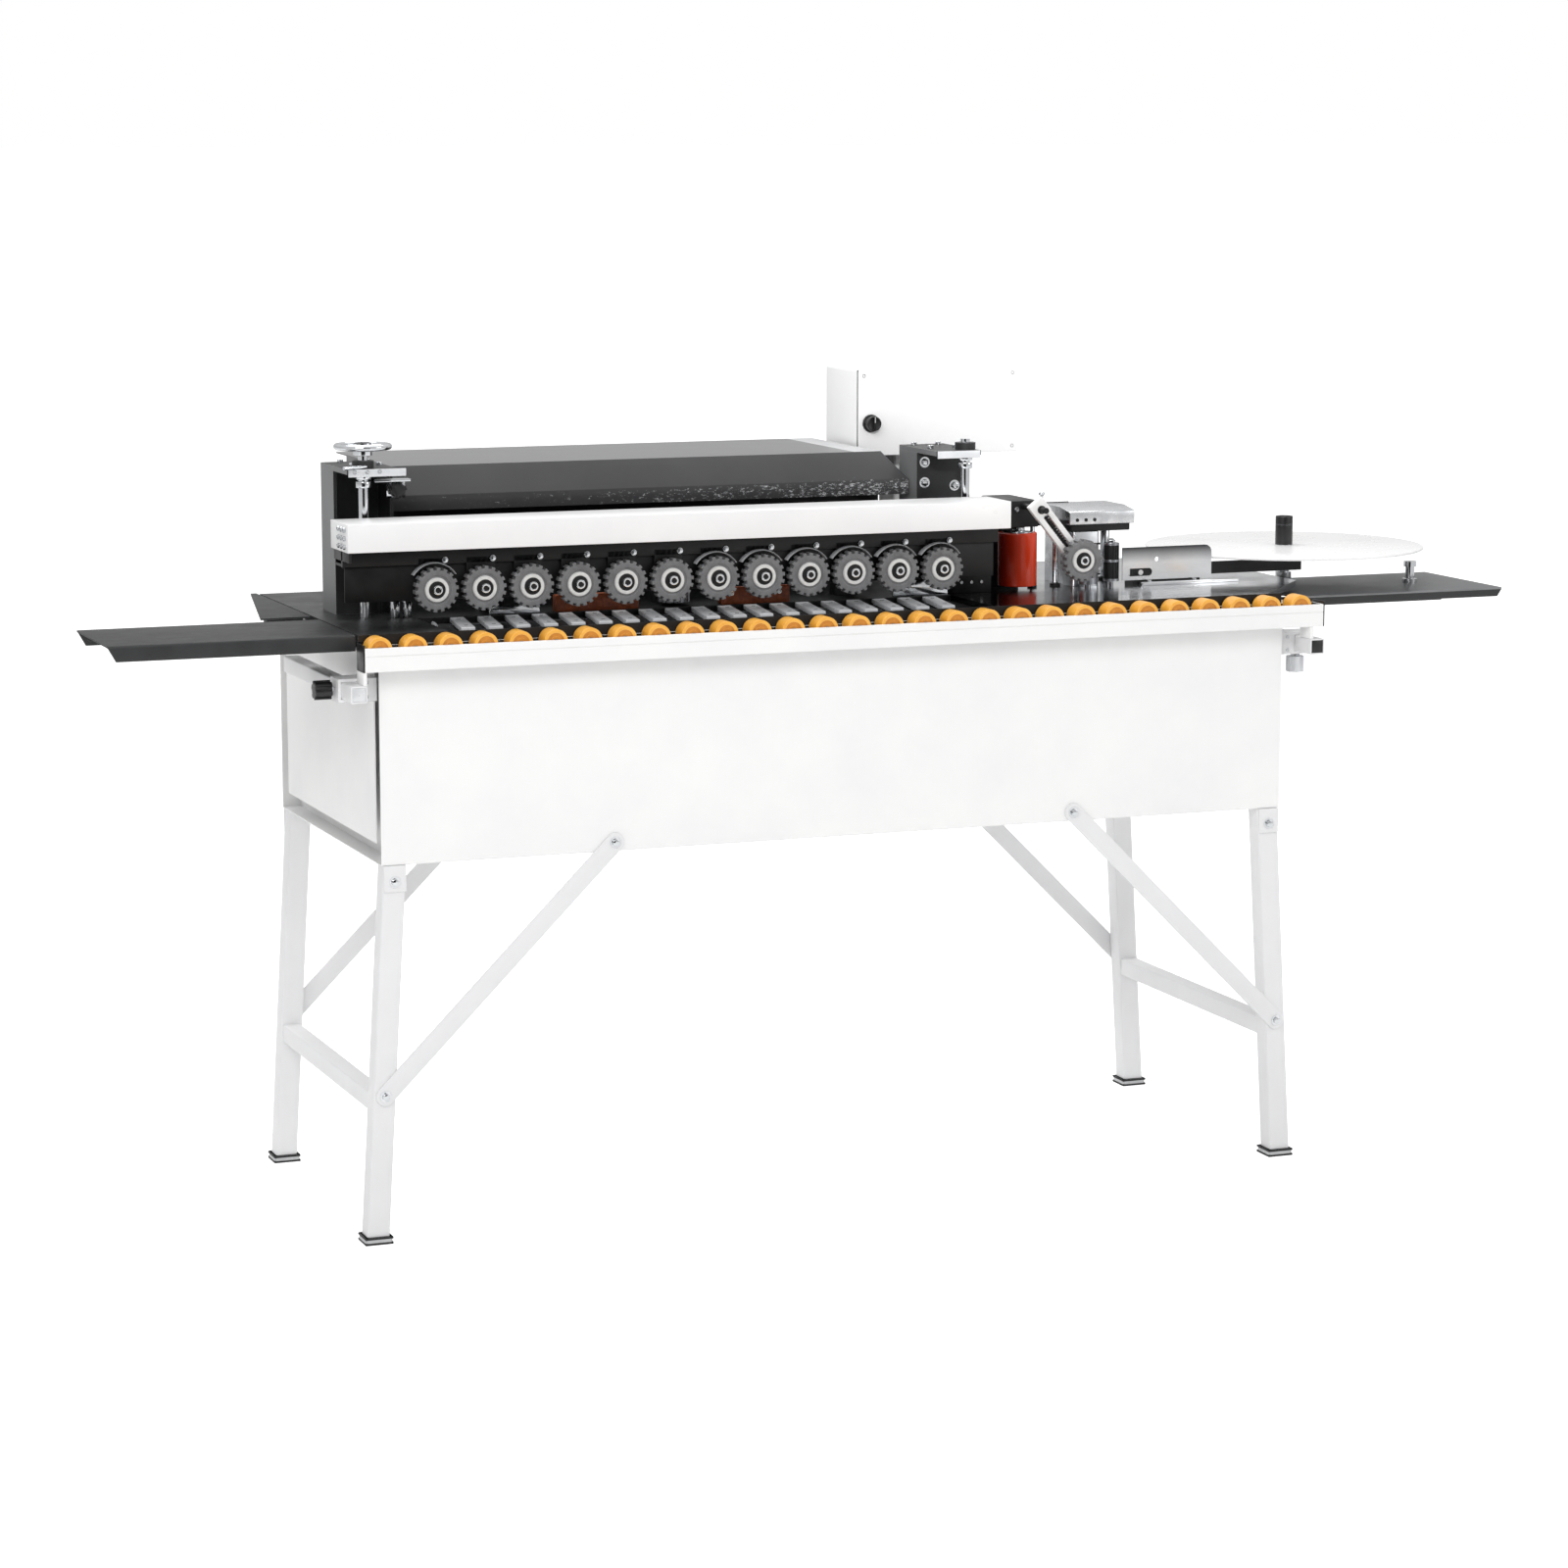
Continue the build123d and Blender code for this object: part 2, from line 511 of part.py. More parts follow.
def leg_braces():
    """Four diagonal braces, the two cross bars and the leg-top plates."""
    parts = []
    plate_h = 41.0
    plate_t = 3.0
    for y0, y1 in ((-BRACE_T, 0.0), (BODY_D, BODY_D + BRACE_T)):
        bar = brace(y0, y1)
        parts += [bar] + mirrored_x([bar])
    cross_x = leg_x(CROSS_Z)
    half = CROSS_W / 2
    cross = box_tube(cross_x - half, cross_x + half, POST, BODY_D - POST,
                     CROSS_Z - half, CROSS_Z + half, "Y")
    parts += [cross] + mirrored_x([cross])
    for y0, y1 in ((-plate_t, 0.0), (BODY_D, BODY_D + plate_t)):
        x = leg_x(BODY_Z - plate_h / 2)
        plate = block(x - POST / 2, x + POST / 2, y0, y1, BODY_Z - plate_h, BODY_Z)
        parts += [plate] + mirrored_x([plate])
    return parts


def feet():
    """Rubber foot under each leg."""
    parts = []
    for y in (POST / 2, BODY_D - POST / 2):
        for sx in (-1, 1):
            x = sx * leg_x(PAD_H)
            parts.append(block(x - PAD_W / 2, x + PAD_W / 2, y - PAD_W / 2, y + PAD_W / 2, 0, PAD_H))
    return parts


def fasteners():
    """Hexagon bolts of the stand, the columns and the covers."""
    parts = []
    plate_t = 3.0
    for sx in (-1, 1):
        for y, direction, lift in ((0.0, "-Y", -1), (BODY_D, "+Y", 1)):
            brace_y = y + lift * BRACE_T
            foot_x = sx * leg_x(BRACE_FOOT_Z)
            parts.append(hex_bolt(foot_x, brace_y, BRACE_FOOT_Z, direction))
            parts.append(hex_bolt(sx * BRACE_X, brace_y, BODY_Z + RAIL_H / 2, direction))
            top_z = BODY_Z - 25.0
            parts.append(hex_bolt(sx * leg_x(top_z), y + lift * plate_t, top_z, direction))
    plate_y = COLUMN_Y0 - COLUMN_T
    for dx in (-16.0, -4.0):
        for z in (1010.0, 1028.0):
            parts.append(hex_bolt(LIFT_XS[0] + 20.0 + dx, plate_y, z, "-Y", r=4.0, h=3.0))
    for x, z in ((COLUMN_R_X[0] + 14, 1166.0), (COLUMN_R_X[0] + 14, 1132.0), (COLUMN_R_X[1] - 12, 1126.0)):
        parts.append(hex_bolt(x, COLUMN_Y0, z, "-Y"))
    return parts


# ---- trays ------------------------------------------------------------------------------
def tray_shell(x0, x1, y0, y1, top, flange):
    """A flat tray with its long edges turned down."""
    shell = block(x0, x1, y0, y1, top - flange, top)
    return shell - block(x0 - 1, x1 + 1, y0 + TRAY_T, y1 - TRAY_T, top - flange - 1, top - TRAY_T)


def tray_arm(x_tip, x_casing, x_pad, y, top, tray_under):
    """A bar bolted to the casing side, with a packing block that meets the tray's underside."""
    bar = block(*sorted((x_tip, x_casing)), y - 10, y + 10, top - 15, top)
    return bar + block(*sorted((x_tip, x_pad)), y - 10, y + 10, top, tray_under)


def outfeed_trays():
    """Out-feed tray, the tapered plate behind it and the bars that hold them."""
    x1 = TABLE_X0 - TRAY_GAP
    y0, y1 = OUT_TRAY_Y
    tray = tray_shell(OUT_TRAY_X0, x1, y0, y1, TABLE_Z, OUT_TRAY_FLANGE)
    corner = 14.0
    for y in (y0, y1):
        tray -= plate_xz([(OUT_TRAY_X0 - 1, TABLE_Z - OUT_TRAY_FLANGE - 1),
                          (OUT_TRAY_X0 + corner, TABLE_Z - OUT_TRAY_FLANGE - 1),
                          (OUT_TRAY_X0 - 1, TABLE_Z - OUT_TRAY_FLANGE + corner)], y - TRAY_T - 1, y + TRAY_T + 1)
    wing = plate_xy([(x1 - 82, 262), (x1, 262), (x1, BODY_D + 11), (x1 - 10, BODY_D + 11)],
                    TABLE_Z - TRAY_T, TABLE_Z)
    parts = [tray, wing]
    under = TABLE_Z - TRAY_T
    for y in (60.0, 150.0):
        parts.append(tray_arm(OUT_TRAY_X0 + 160, -HALF_L, x1, y, TABLE_BOTTOM, under))
    parts.append(tray_arm(x1 - 60, -HALF_L, x1, 320.0, TABLE_BOTTOM, under))
    return parts


def infeed_tray():
    """In-feed tray under the tape turntable, with its two bars."""
    x0, x1 = IN_TRAY_X
    y0, y1 = IN_TRAY_Y
    tray = tray_shell(x0, x1, y0, y1, IN_TRAY_Z, IN_TRAY_FLANGE)
    parts = [tray]
    under = IN_TRAY_Z - TRAY_T
    for y in (y0 + 60, y1 - 60):
        parts.append(tray_arm(x1 - 90, HALF_L, x0, y, under - 5, under))
    return parts


# ---- roller ledge -----------------------------------------------------------------------
def roller_xs():
    """Positions of the support rollers."""
    return [ROLLER_X0 + i * ROLLER_PITCH for i in range(ROLLERS)]


def ledge_rail():
    """Folded channel that carries the rollers, with the two tubes it slides on."""
    outer = block(LEDGE_X0, LEDGE_X1, LEDGE_Y0, LEDGE_Y1, LEDGE_Z0, LEDGE_Z1)
    hollow = block(LEDGE_X0 + LEDGE_T, LEDGE_X1 - LEDGE_T, LEDGE_Y0 + LEDGE_T, LEDGE_Y1 - LEDGE_T,
                   LEDGE_Z0 + LEDGE_T, LEDGE_Z1 + 1)
    groove_z = LEDGE_Z1 - 13.0
    groove = block(LEDGE_X0 - 1, LEDGE_X1 + 1, LEDGE_Y0 - 1, LEDGE_Y0 + 1, groove_z - 0.8, groove_z + 0.8)
    rail = outer - hollow - groove
    for x in roller_xs():
        rail -= rod_y(x, ROLLER_Z, ROLLER_PIN_R, LEDGE_Y0 + LEDGE_T - 1.5, LEDGE_Y1 - LEDGE_T + 1.5)
    parts = [rail]
    half = ARM_TUBE / 2
    tube = box_tube(ARM_X - half, ARM_X + half, LEDGE_Y0, LEDGE_Y0 + ARM_LENGTH,
                    ARM_Z - half, ARM_Z + half, "Y", 2.5)
    upright = block(ARM_X - half, ARM_X - half + 6, LEDGE_Y0, LEDGE_Y1, ARM_Z + half, LEDGE_Z0)
    parts += [tube, upright] + mirrored_x([tube, upright])
    return parts


def ledge_rollers():
    """Support rollers, each bored for its pin."""
    y0 = LEDGE_Y0 + LEDGE_T + 1.0
    y1 = LEDGE_Y1 - LEDGE_T - 1.0
    parts = []
    for x in roller_xs():
        roller = rod_y(x, ROLLER_Z, ROLLER_R, y0, y1)
        parts.append(roller - rod_y(x, ROLLER_Z, ROLLER_PIN_R + RUN, y0 - 1, y1 + 1))
    return parts


def ledge_pins():
    """Steel pins of the support rollers."""
    y0 = LEDGE_Y0 + LEDGE_T - 1.5
    y1 = LEDGE_Y1 - LEDGE_T + 1.5
    return [rod_y(x, ROLLER_Z, ROLLER_PIN_R, y0, y1) for x in roller_xs()]


def sleeve():
    """Clamp sleeve on the in-feed side of the casing, which the carrying tube slides through."""
    half = SLEEVE_W / 2
    y0, y1 = SLEEVE_Y - SLEEVE_L / 2, SLEEVE_Y + SLEEVE_L / 2
    body = block(HALF_L, ARM_X + half, y0, y1, ARM_Z - half, ARM_Z + half)
    bore = ARM_TUBE / 2 + TOUCH
    return body - block(ARM_X - bore, ARM_X + bore, y0 - 1, y1 + 1, ARM_Z - bore, ARM_Z + bore)


def ledge_clamps():
    """Clamp sleeves on both sides, each drilled for its screw."""
    right = sleeve() - rod_z(ARM_X, SLEEVE_Y, 4.0 + RUN, ARM_Z - SLEEVE_W, ARM_Z - ARM_TUBE / 2)
    left = mirror(sleeve(), about=Plane.YZ)
    left -= rod_x(SLEEVE_Y, ARM_Z, 4.0 + RUN, -ARM_X - SLEEVE_W, -ARM_X - ARM_TUBE / 2)
    return [left, right]


def knob_along_z():
    """Five-lobed clamp knob and its screw, pointing down from the origin at the sleeve face."""
    knob = Pos(0, 0, -6 - KNOB_L / 2) * Cylinder(KNOB_R, KNOB_L)
    for i in range(6):
        angle = math.radians(60 * i)
        knob -= Pos(KNOB_R * 1.12 * math.cos(angle), KNOB_R * 1.12 * math.sin(angle), -6 - KNOB_L / 2) \
            * Cylinder(4.0, KNOB_L + 2)
    screw = Pos(0, 0, -1.5) * Cylinder(4.0, 9.0)
    return knob + screw


def clamp_knob_left():
    """Clamp knob of the out-feed sleeve, pointing along -X."""
    return [Pos(-ARM_X - SLEEVE_W / 2, SLEEVE_Y, ARM_Z) * Rot(0, 90, 0) * knob_along_z()]


def clamp_knob_right():
    """Clamp knob of the in-feed sleeve, pointing down."""
    return [Pos(ARM_X, SLEEVE_Y, ARM_Z - SLEEVE_W / 2) * knob_along_z()]


# ---- pad conveyor -----------------------------------------------------------------------
def loop_place(s):
    """Location on the conveyor loop at a distance along it, with +Z pointing outwards."""
    arc = math.pi * LOOP_R
    s = s % (2 * LOOP_RUN + 2 * arc)
    if s < LOOP_RUN:
        return Pos(LOOP_X0 + s, 0, LOOP_Z + LOOP_R)
    s -= LOOP_RUN
    if s < arc:
        angle = math.degrees(s / LOOP_R)
        return Pos(LOOP_X1, 0, LOOP_Z) * Rot(0, angle, 0) * Pos(0, 0, LOOP_R)
    s -= arc
    if s < LOOP_RUN:
        return Pos(LOOP_X1 - s, 0, LOOP_Z) * Rot(0, 180, 0) * Pos(0, 0, LOOP_R)
    angle = math.degrees((s - LOOP_RUN) / LOOP_R)
    return Pos(LOOP_X0, 0, LOOP_Z) * Rot(0, 180 + angle, 0) * Pos(0, 0, LOOP_R)


def conveyor_pads():
    """Skewed steel pads all the way round the loop."""
    half, lean = PAD_X / 2, PAD_SKEW / 2
    outline = [(-half - lean, PAD_Y0), (half - lean, PAD_Y0), (half + lean, PAD_Y1), (-half + lean, PAD_Y1)]
    pad = plate_xy(outline, -PAD_T / 2, PAD_T / 2)
    return [loop_place(i * PAD_PITCH) * pad for i in range(PADS)]


def conveyor_chain():
    """Two carrying chains under the pads."""
    r_in = CHAIN_R - CHAIN_T
    return [racetrack(LOOP_X0, LOOP_X1, y, LOOP_Z, CHAIN_R - TOUCH, r_in, CHAIN_W, "Y") for y in CHAIN_YS]


def conveyor_bed():
    """Slide rail under the pads and the two side plates with the shaft bores."""
    rail_top = TABLE_Z - PAD_T - TOUCH
    reach = LOOP_R + SHAFT_R + 12
    rail = box_tube(LOOP_X0 + reach, LOOP_X1 - reach, CHAIN_YS[0] + CHAIN_W, CHAIN_YS[1] - CHAIN_W,
                    LOOP_Z - 18, rail_top, "X", 4.0)
    parts = [rail]
    plate_t = 6.0
    for y0 in (PAD_Y0 - plate_t - 2, PAD_Y1 + 2):
        plate = block(LOOP_X0 - 36, LOOP_X1 + 36, y0, y0 + plate_t, LOOP_Z - 34, LOOP_Z + 10)
        for x in (LOOP_X0, LOOP_X1):
            plate -= rod_y(x, LOOP_Z, SHAFT_R + RUN, y0 - 1, y0 + plate_t + 1)
        parts.append(plate)
    return parts


def conveyor_shaft(x, y1):
    """A shaft with a sprocket for each carrying chain."""
    solid = rod_y(x, LOOP_Z, SHAFT_R, PAD_Y0 - 10, y1)
    for y in CHAIN_YS:
        gear = toothed_disc(SPROCKET_R, 4.0, 12, CHAIN_W - 4, SHAFT_R - 1)
        solid += Pos(x, y, LOOP_Z) * Rot(90, 0, 0) * gear
    return [solid]


def feed_gearmotor():
    """Worm gearbox on the drive shaft and the motor flanged to it."""
    x, half, y0, y1 = LOOP_X1, 34.0, 262.0, 330.0
    box = block(x - half, x + half, y0, y1, LOOP_Z - 45, LOOP_Z + 25)
    box = fillet(box.edges().filter_by(Axis.Y), 8.0)
    box -= rod_y(x, LOOP_Z, SHAFT_R + RUN, y0 - 1, y0 + 50)
    motor_z = LOOP_Z - 14
    motor = rod_x((y0 + y1) / 2, motor_z, 39.0, x - half - 170, x - half)
    for i in range(7):
        xr = x - half - 140 + i * 18
        motor -= rod_x((y0 + y1) / 2, motor_z, 41.0, xr, xr + 6) - rod_x((y0 + y1) / 2, motor_z, 35.0, xr, xr + 6)
    return [box, motor]


# ---- press beam -------------------------------------------------------------------------
def lug_x(i):
    """The two ends of a lifting nut block along X."""
    return LIFT_XS[i] - LUG_W / 2, LIFT_XS[i] + LUG_W / 2


def beam_cover():
    """White folded cover over the beam."""
    shell = block(BEAM_X0, BEAM_X1, COVER_Y0, COVER_Y1, COVER_Z0, COVER_Z1)
    hollow = block(BEAM_X0 + SHEET, BEAM_X1 - SHEET, COVER_Y0 + SHEET, COVER_Y1 + 1, COVER_Z0 - 1, COVER_Z1 - SHEET)
    return [shell - hollow]


def beam_channel():
    """Box-section beam, the two lifting nut blocks and a bracket with a pin for each wheel."""
    x0, x1 = BEAM_X0 + SHEET + 4, BEAM_X1 - SHEET - 4
    top = COVER_Z1 - SHEET
    beam = box_tube(x0, x1, BEAM_Y0, BEAM_Y1, BEAM_Z0, top, "X", BEAM_WALL)
    parts = [beam]
    lug_y1 = LIFT_Y + LUG_W / 2
    for i in (0, 1):
        lx0, lx1 = lug_x(i)
        lug = block(lx0, lx1, BEAM_Y1, lug_y1, BEAM_Z0 + 6, top - 12)
        parts.append(lug - rod_z(LIFT_XS[i], LIFT_Y, LIFT_SCREW_R + TOUCH, BEAM_Z0, COVER_Z1))
    arm_y1 = BEAM_Y0
    arm_y0 = arm_y1 - ARM_PLATE_T
    wheel_y0, wheel_y1 = WHEEL_Y - WHEEL_W / 2, WHEEL_Y + WHEEL_W / 2
    half = ARM_PLATE_W / 2
    for x in WHEEL_XS:
        lower = rod_y(x, WHEEL_Z, half, arm_y0, arm_y1)
        arm = lower + block(x - half, x + half, arm_y0, arm_y1, WHEEL_Z, BEAM_Z0 + 9)
        seat = rod_y(x, WHEEL_Z, WHEEL_BORE_R - RUN, wheel_y0, wheel_y1)
        neck = rod_y(x, WHEEL_Z, WHEEL_BORE_R + 3, wheel_y1 + TOUCH, arm_y0)
        head = rod_y(x, WHEEL_Z, 7.0, wheel_y0 - 4, wheel_y0)
        core = rod_y(x, WHEEL_Z, WHEEL_BORE_R - RUN, wheel_y1, wheel_y1 + TOUCH)
        parts.append(arm + seat + neck + head + core)
    return parts


def press_wheel(x, z):
    """A toothed rubber press wheel about a front-to-back axis."""
    wheel = toothed_disc(WHEEL_R, TOOTH_DEPTH, WHEEL_TEETH, WHEEL_W, WHEEL_BORE_R)
    return [Pos(x, WHEEL_Y, z) * Rot(90, 0, 0) * wheel]


def column(x0, x1, closed):
    """An upright column on the bed, open or closed towards the front."""
    y0, y1 = COLUMN_Y0, COLUMN_Y0 + COLUMN_D
    body = block(x0, x1, y0, y1, TABLE_Z, COLUMN_TOP)
    front = y0 + COLUMN_T if closed else y0 - 1
    return body - block(x0 + COLUMN_T, x1 - COLUMN_T, front, y1 - COLUMN_T, TABLE_Z + COLUMN_T, COLUMN_TOP + 1)


def lift_columns():
    """Both columns, the lower cover plate and the top bearing plates of the screws."""
    lx0, lx1 = COLUMN_L_X
    parts = [column(lx0, lx1, False), column(COLUMN_R_X[0], COLUMN_R_X[1], True)]
    cover_top = 1048.0
    plate = block(lx0, lx1, COLUMN_Y0 - COLUMN_T, COLUMN_Y0, TABLE_Z, cover_top)
    for x in (lx1 - 29, lx1 - 5):
        plate += block(x, x + 5, COLUMN_Y0 - COLUMN_T - 8, COLUMN_Y0 - COLUMN_T, TABLE_Z, cover_top)
    parts.append(plate)
    y1 = COLUMN_Y0 + COLUMN_D
    reach = 22.0
    for i, (x0, x1) in enumerate(((lx0, lx1 - 14), COLUMN_R_X)):
        bearing = block(x0, x1, LIFT_Y - reach, y1, COLUMN_TOP, COLUMN_TOP + BRACKET_T)
        bearing += rod_z(LIFT_XS[i], LIFT_Y, 17.0, COLUMN_TOP, COLUMN_TOP + 2.5 * BRACKET_T)
        parts.append(bearing - rod_z(LIFT_XS[i], LIFT_Y, LIFT_SCREW_R + RUN, COLUMN_TOP - 1, COLUMN_TOP + 40))
    return parts


def lift_screw(x, top):
    """A lifting screw with the sprocket that the lift chain turns."""
    screw = rod_z(x, LIFT_Y, LIFT_SCREW_R, LIFT_CHAIN_Z - 30, top)
    gear = toothed_disc(LIFT_SPROCKET_R, 4.0, 20, LIFT_CHAIN_H - 2, LIFT_SCREW_R - 1)
    return screw + Pos(x, LIFT_Y, LIFT_CHAIN_Z) * gear


def handwheel():
    """Rim, three spokes and hub of the handwheel, with its turning handle."""
    x, y, z = LIFT_XS[0], LIFT_Y, HANDWHEEL_Z
    rim_r = 5.0
    hub_r = 14.0
    wheel = Pos(x, y, z) * Torus(HANDWHEEL_R - rim_r, rim_r)
    wheel += rod_z(x, y, hub_r, z - 14, z + 6)
    for i in range(3):
        spoke = Pos(x, y, z) * Rot(0, 0, 90 + 120 * i) * Pos((HANDWHEEL_R - rim_r) / 2, 0, 0)
        wheel += spoke * Box(HANDWHEEL_R - rim_r, 9.0, 6.0)
    return [wheel - rod_z(x, y, LIFT_SCREW_R, z - 20, z + 2)]


def lift_chain():
    """Chain that keeps the two lifting screws in step, under the table."""
    r_in = LIFT_SPROCKET_R + TOUCH
    return [racetrack(LIFT_XS[0], LIFT_XS[1], LIFT_Y, LIFT_CHAIN_Z, r_in + 4, r_in, LIFT_CHAIN_H, "Z")]


# ---- hood and control box ---------------------------------------------------------------
def hood():
    """Folded hood over the trimming bed: top, sloped face, lip and out-feed cheek."""
    t = SHEET
    top = block(HOOD_X0, HOOD_X1, HOOD_TOP_Y, HOOD_Y1, HOOD_Z - t, HOOD_Z)
    face = [
        (HOOD_TOP_Y, HOOD_Z), (HOOD_Y0, HOOD_FOLD_Z), (HOOD_Y0, HOOD_LIP_Z),
        (HOOD_Y0 + t, HOOD_LIP_Z), (HOOD_Y0 + t, HOOD_FOLD_Z - 1), (HOOD_TOP_Y + t, HOOD_Z - t),
        (HOOD_TOP_Y + t, HOOD_Z),
    ]
    front = plate_yz(face, HOOD_X0, HOOD_FACE_X1)
    cheek = plate_yz([
        (HOOD_TOP_Y, HOOD_Z), (HOOD_Y0, HOOD_FOLD_Z), (HOOD_Y0, HOOD_LIP_Z),
        (HINGE_Y - 30, HOOD_LIP_Z), (HINGE_Y - 30, HOOD_Z),
    ], HOOD_X0, HOOD_X0 + t)
    shell = top + front + cheek
    eye_half = HINGE_W / 2 - HINGE_EAR - TOUCH
    for x in hinge_xs():
        shell += rod_x(HINGE_Y, HINGE_Z, HINGE_EYE_R, x - eye_half, x + eye_half)
        shell -= rod_x(HINGE_Y, HINGE_Z, HINGE_R + RUN, x - HINGE_W, x + HINGE_W)
    return [shell]


def hinge_xs():
    """The two hood hinges along the machine."""
    return HOOD_X0 + HINGE_IN, HOOD_X1 - HINGE_IN


def hinge_leaf(x):
    """Hinge leaf on the rear wall: two ears and the pin between them."""
    half = HINGE_W / 2
    leaf = block(x - half, x + half, BODY_D, BODY_D + 3, HINGE_Z - 46, HINGE_Z - HINGE_EYE_R - 2)
    for x0 in (x - half, x + half - HINGE_EAR):
        leaf += block(x0, x0 + HINGE_EAR, BODY_D, HINGE_Y + HINGE_EAR_R - 2, HINGE_Z - 46, HINGE_Z)
        leaf += rod_x(HINGE_Y, HINGE_Z, HINGE_EAR_R, x0, x0 + HINGE_EAR)
    return leaf + rod_x(HINGE_Y, HINGE_Z, HINGE_R, x - half, x + half)


def control_cabinet():
    """Control box on its post, with its front plate bored for the selector."""
    x0, x1 = BOX_X0, BOX_X0 + BOX_L
    y0, y1 = BOX_Y0, BOX_Y0 + BOX_D
    box = block(x0, x1, y0, y1, BOX_Z0, BOX_Z0 + BOX_H)
    box -= block(x0 + SHEET, x1 - SHEET, y0 - 1, y1 - SHEET, BOX_Z0 + SHEET, BOX_Z0 + BOX_H - SHEET)
    post_x = x0 + BOX_L / 2
    post = box_tube(post_x - 50, post_x + 50, y1 - 70, y1, TABLE_Z, BOX_Z0, "Z", 3.0)
    plate = block(x0, x1, y0 - SHEET, y0, BOX_Z0, BOX_Z0 + BOX_H)
    plate -= rod_y(DIAL_X, DIAL_Z, 5.0 + RUN, y0 - 10, y0 + 1)
    return [box, post, plate]


def control_gear():
    """Mounting plate with contactors, overload relay and drive inside the control box."""
    x0, x1 = BOX_X0 + 15, BOX_X0 + BOX_L - 15
    y1 = BOX_Y0 + BOX_D - SHEET - 3
    parts = [block(x0, x1, y1 - SHEET, y1, BOX_Z0 + 12, BOX_Z0 + BOX_H - 12)]
    widths = (45.0, 45.0, 36.0, 72.0)
    x = x0 + 12
    for w in widths:
        parts.append(block(x, x + w, y1 - SHEET - 70, y1 - SHEET, BOX_Z0 + 35, BOX_Z0 + 110))
        x += w + 10
    return parts


def selector_knob():
    """Rotary selector with its shaft and pointer ridge."""
    y = BOX_Y0 - SHEET
    knob = rod_y(DIAL_X, DIAL_Z, DIAL_R, y - 1 - DIAL_L, y - 1)
    knob += rod_y(DIAL_X, DIAL_Z, 5.0, y - 1, y + 15)
    ridge = block(DIAL_X - 2, DIAL_X + 2, y - 1 - DIAL_L - 3, y - 1 - DIAL_L, DIAL_Z - 2, DIAL_Z + DIAL_R - 1)
    return [knob + ridge]


# ---- gluing unit and tape feed ----------------------------------------------------------
def roller_bracket():
    """Upright that holds the silicone press roller and the swing arm, and the end plate."""
    shaft_z = RED_Z0 + RED_H
    half_w = HEAD_W / 2
    head_y0 = RED_Y - HEAD_REACH
    head_z0 = shaft_z + HEAD_LIFT
    head = block(RED_X - half_w, RED_X + half_w, head_y0, HEAD_Y1, head_z0, head_z0 + HEAD_H)
    head -= rod_z(RED_X, RED_Y, RED_PIN_R + RUN, head_z0 - 1, shaft_z + HEAD_BORE_UP)
    post = block(RED_X - half_w, RED_X + half_w, HEAD_Y1 - HEAD_POST_D, HEAD_Y1, TABLE_Z, head_z0)
    pivot = rod_y(INFEED_PIVOT_X, pivot_z(), PIVOT_R, WHEEL_Y - WHEEL_W / 2 + 1, head_y0)
    x0, x1 = END_PLATE_X
    plate_y0 = EDGE_Y + END_PLATE_Y
    plate_y1 = plate_y0 + END_PLATE_T
    plate = block(x0, x1, plate_y0, plate_y1, TABLE_Z, END_PLATE_TOP)
    foot = block(x0, x1, plate_y1, plate_y0 + END_FOOT_D, TABLE_Z, TABLE_Z + END_FOOT_T)
    foot -= rod_z(LIFT_XS[1], LIFT_Y, LIFT_SCREW_R + 2, TABLE_Z - 1, TABLE_Z + END_FOOT_T + 1)
    return [head + post, pivot, plate + foot]


def press_roller():
    """Red silicone press roller with its shaft."""
    top = RED_Z0 + RED_H
    roller = rod_z(RED_X, RED_Y, RED_R, RED_Z0, top)
    roller = fillet(roller.edges(), 2.0)
    return [roller + rod_z(RED_X, RED_Y, RED_PIN_R, top, top + 28)]


def arm_angle():
    """Angle of the swing arm below the horizontal, in degrees."""
    return math.degrees(math.atan2(pivot_z() - INFEED_WHEEL_Z, INFEED_WHEEL_X - INFEED_PIVOT_X))


def pivot_z():
    """Height of the swing arm's pivot."""
    return INFEED_PIVOT_Z - PIVOT_DROP


def infeed_arm():
    """Swing arm of the in-feed wheel: pivot block, two bars, axle and lifting tip."""
    length = math.dist((INFEED_PIVOT_X, pivot_z()), (INFEED_WHEEL_X, INFEED_WHEEL_Z))
    y0 = WHEEL_Y + WHEEL_W / 2 + 3
    y1 = y0 + SWING_T
    boss = Cylinder(SWING_BOSS_R, SWING_T)
    head = Pos(-2, 0, 0) * Box(SWING_BLOCK, SWING_BLOCK, SWING_T)
    end = Pos(length, 0, 0) * Cylinder(SWING_END_R, SWING_T)
    arm = boss + head + end
    for side in (-SWING_BAR_OUT, SWING_BAR_OUT):
        arm += Pos(length / 2, side, 0) * Box(length, SWING_BAR_W, SWING_T)
    arm -= Cylinder(PIVOT_R + RUN, 2 * SWING_T)
    turn = Pos(INFEED_PIVOT_X, (y0 + y1) / 2, pivot_z()) * Rot(90, 0, 0) * Rot(0, 0, -arm_angle())
    solid = turn * arm
    wheel_y0, wheel_y1 = WHEEL_Y - WHEEL_W / 2, WHEEL_Y + WHEEL_W / 2
    solid += rod_y(INFEED_WHEEL_X, INFEED_WHEEL_Z, WHEEL_BORE_R - RUN, wheel_y0, y0)
    solid += rod_y(INFEED_WHEEL_X, INFEED_WHEEL_Z, 7.0, wheel_y0 - 4, wheel_y0)
    tip = Pos(INFEED_PIVOT_X + 3, (y0 + y1) / 2, pivot_z() + TIP_UP)
    solid += tip * Sphere(TIP_R) + tip * Pos(0, 0, -7) * Cylinder(TIP_R / 2, 12)
    return [solid]


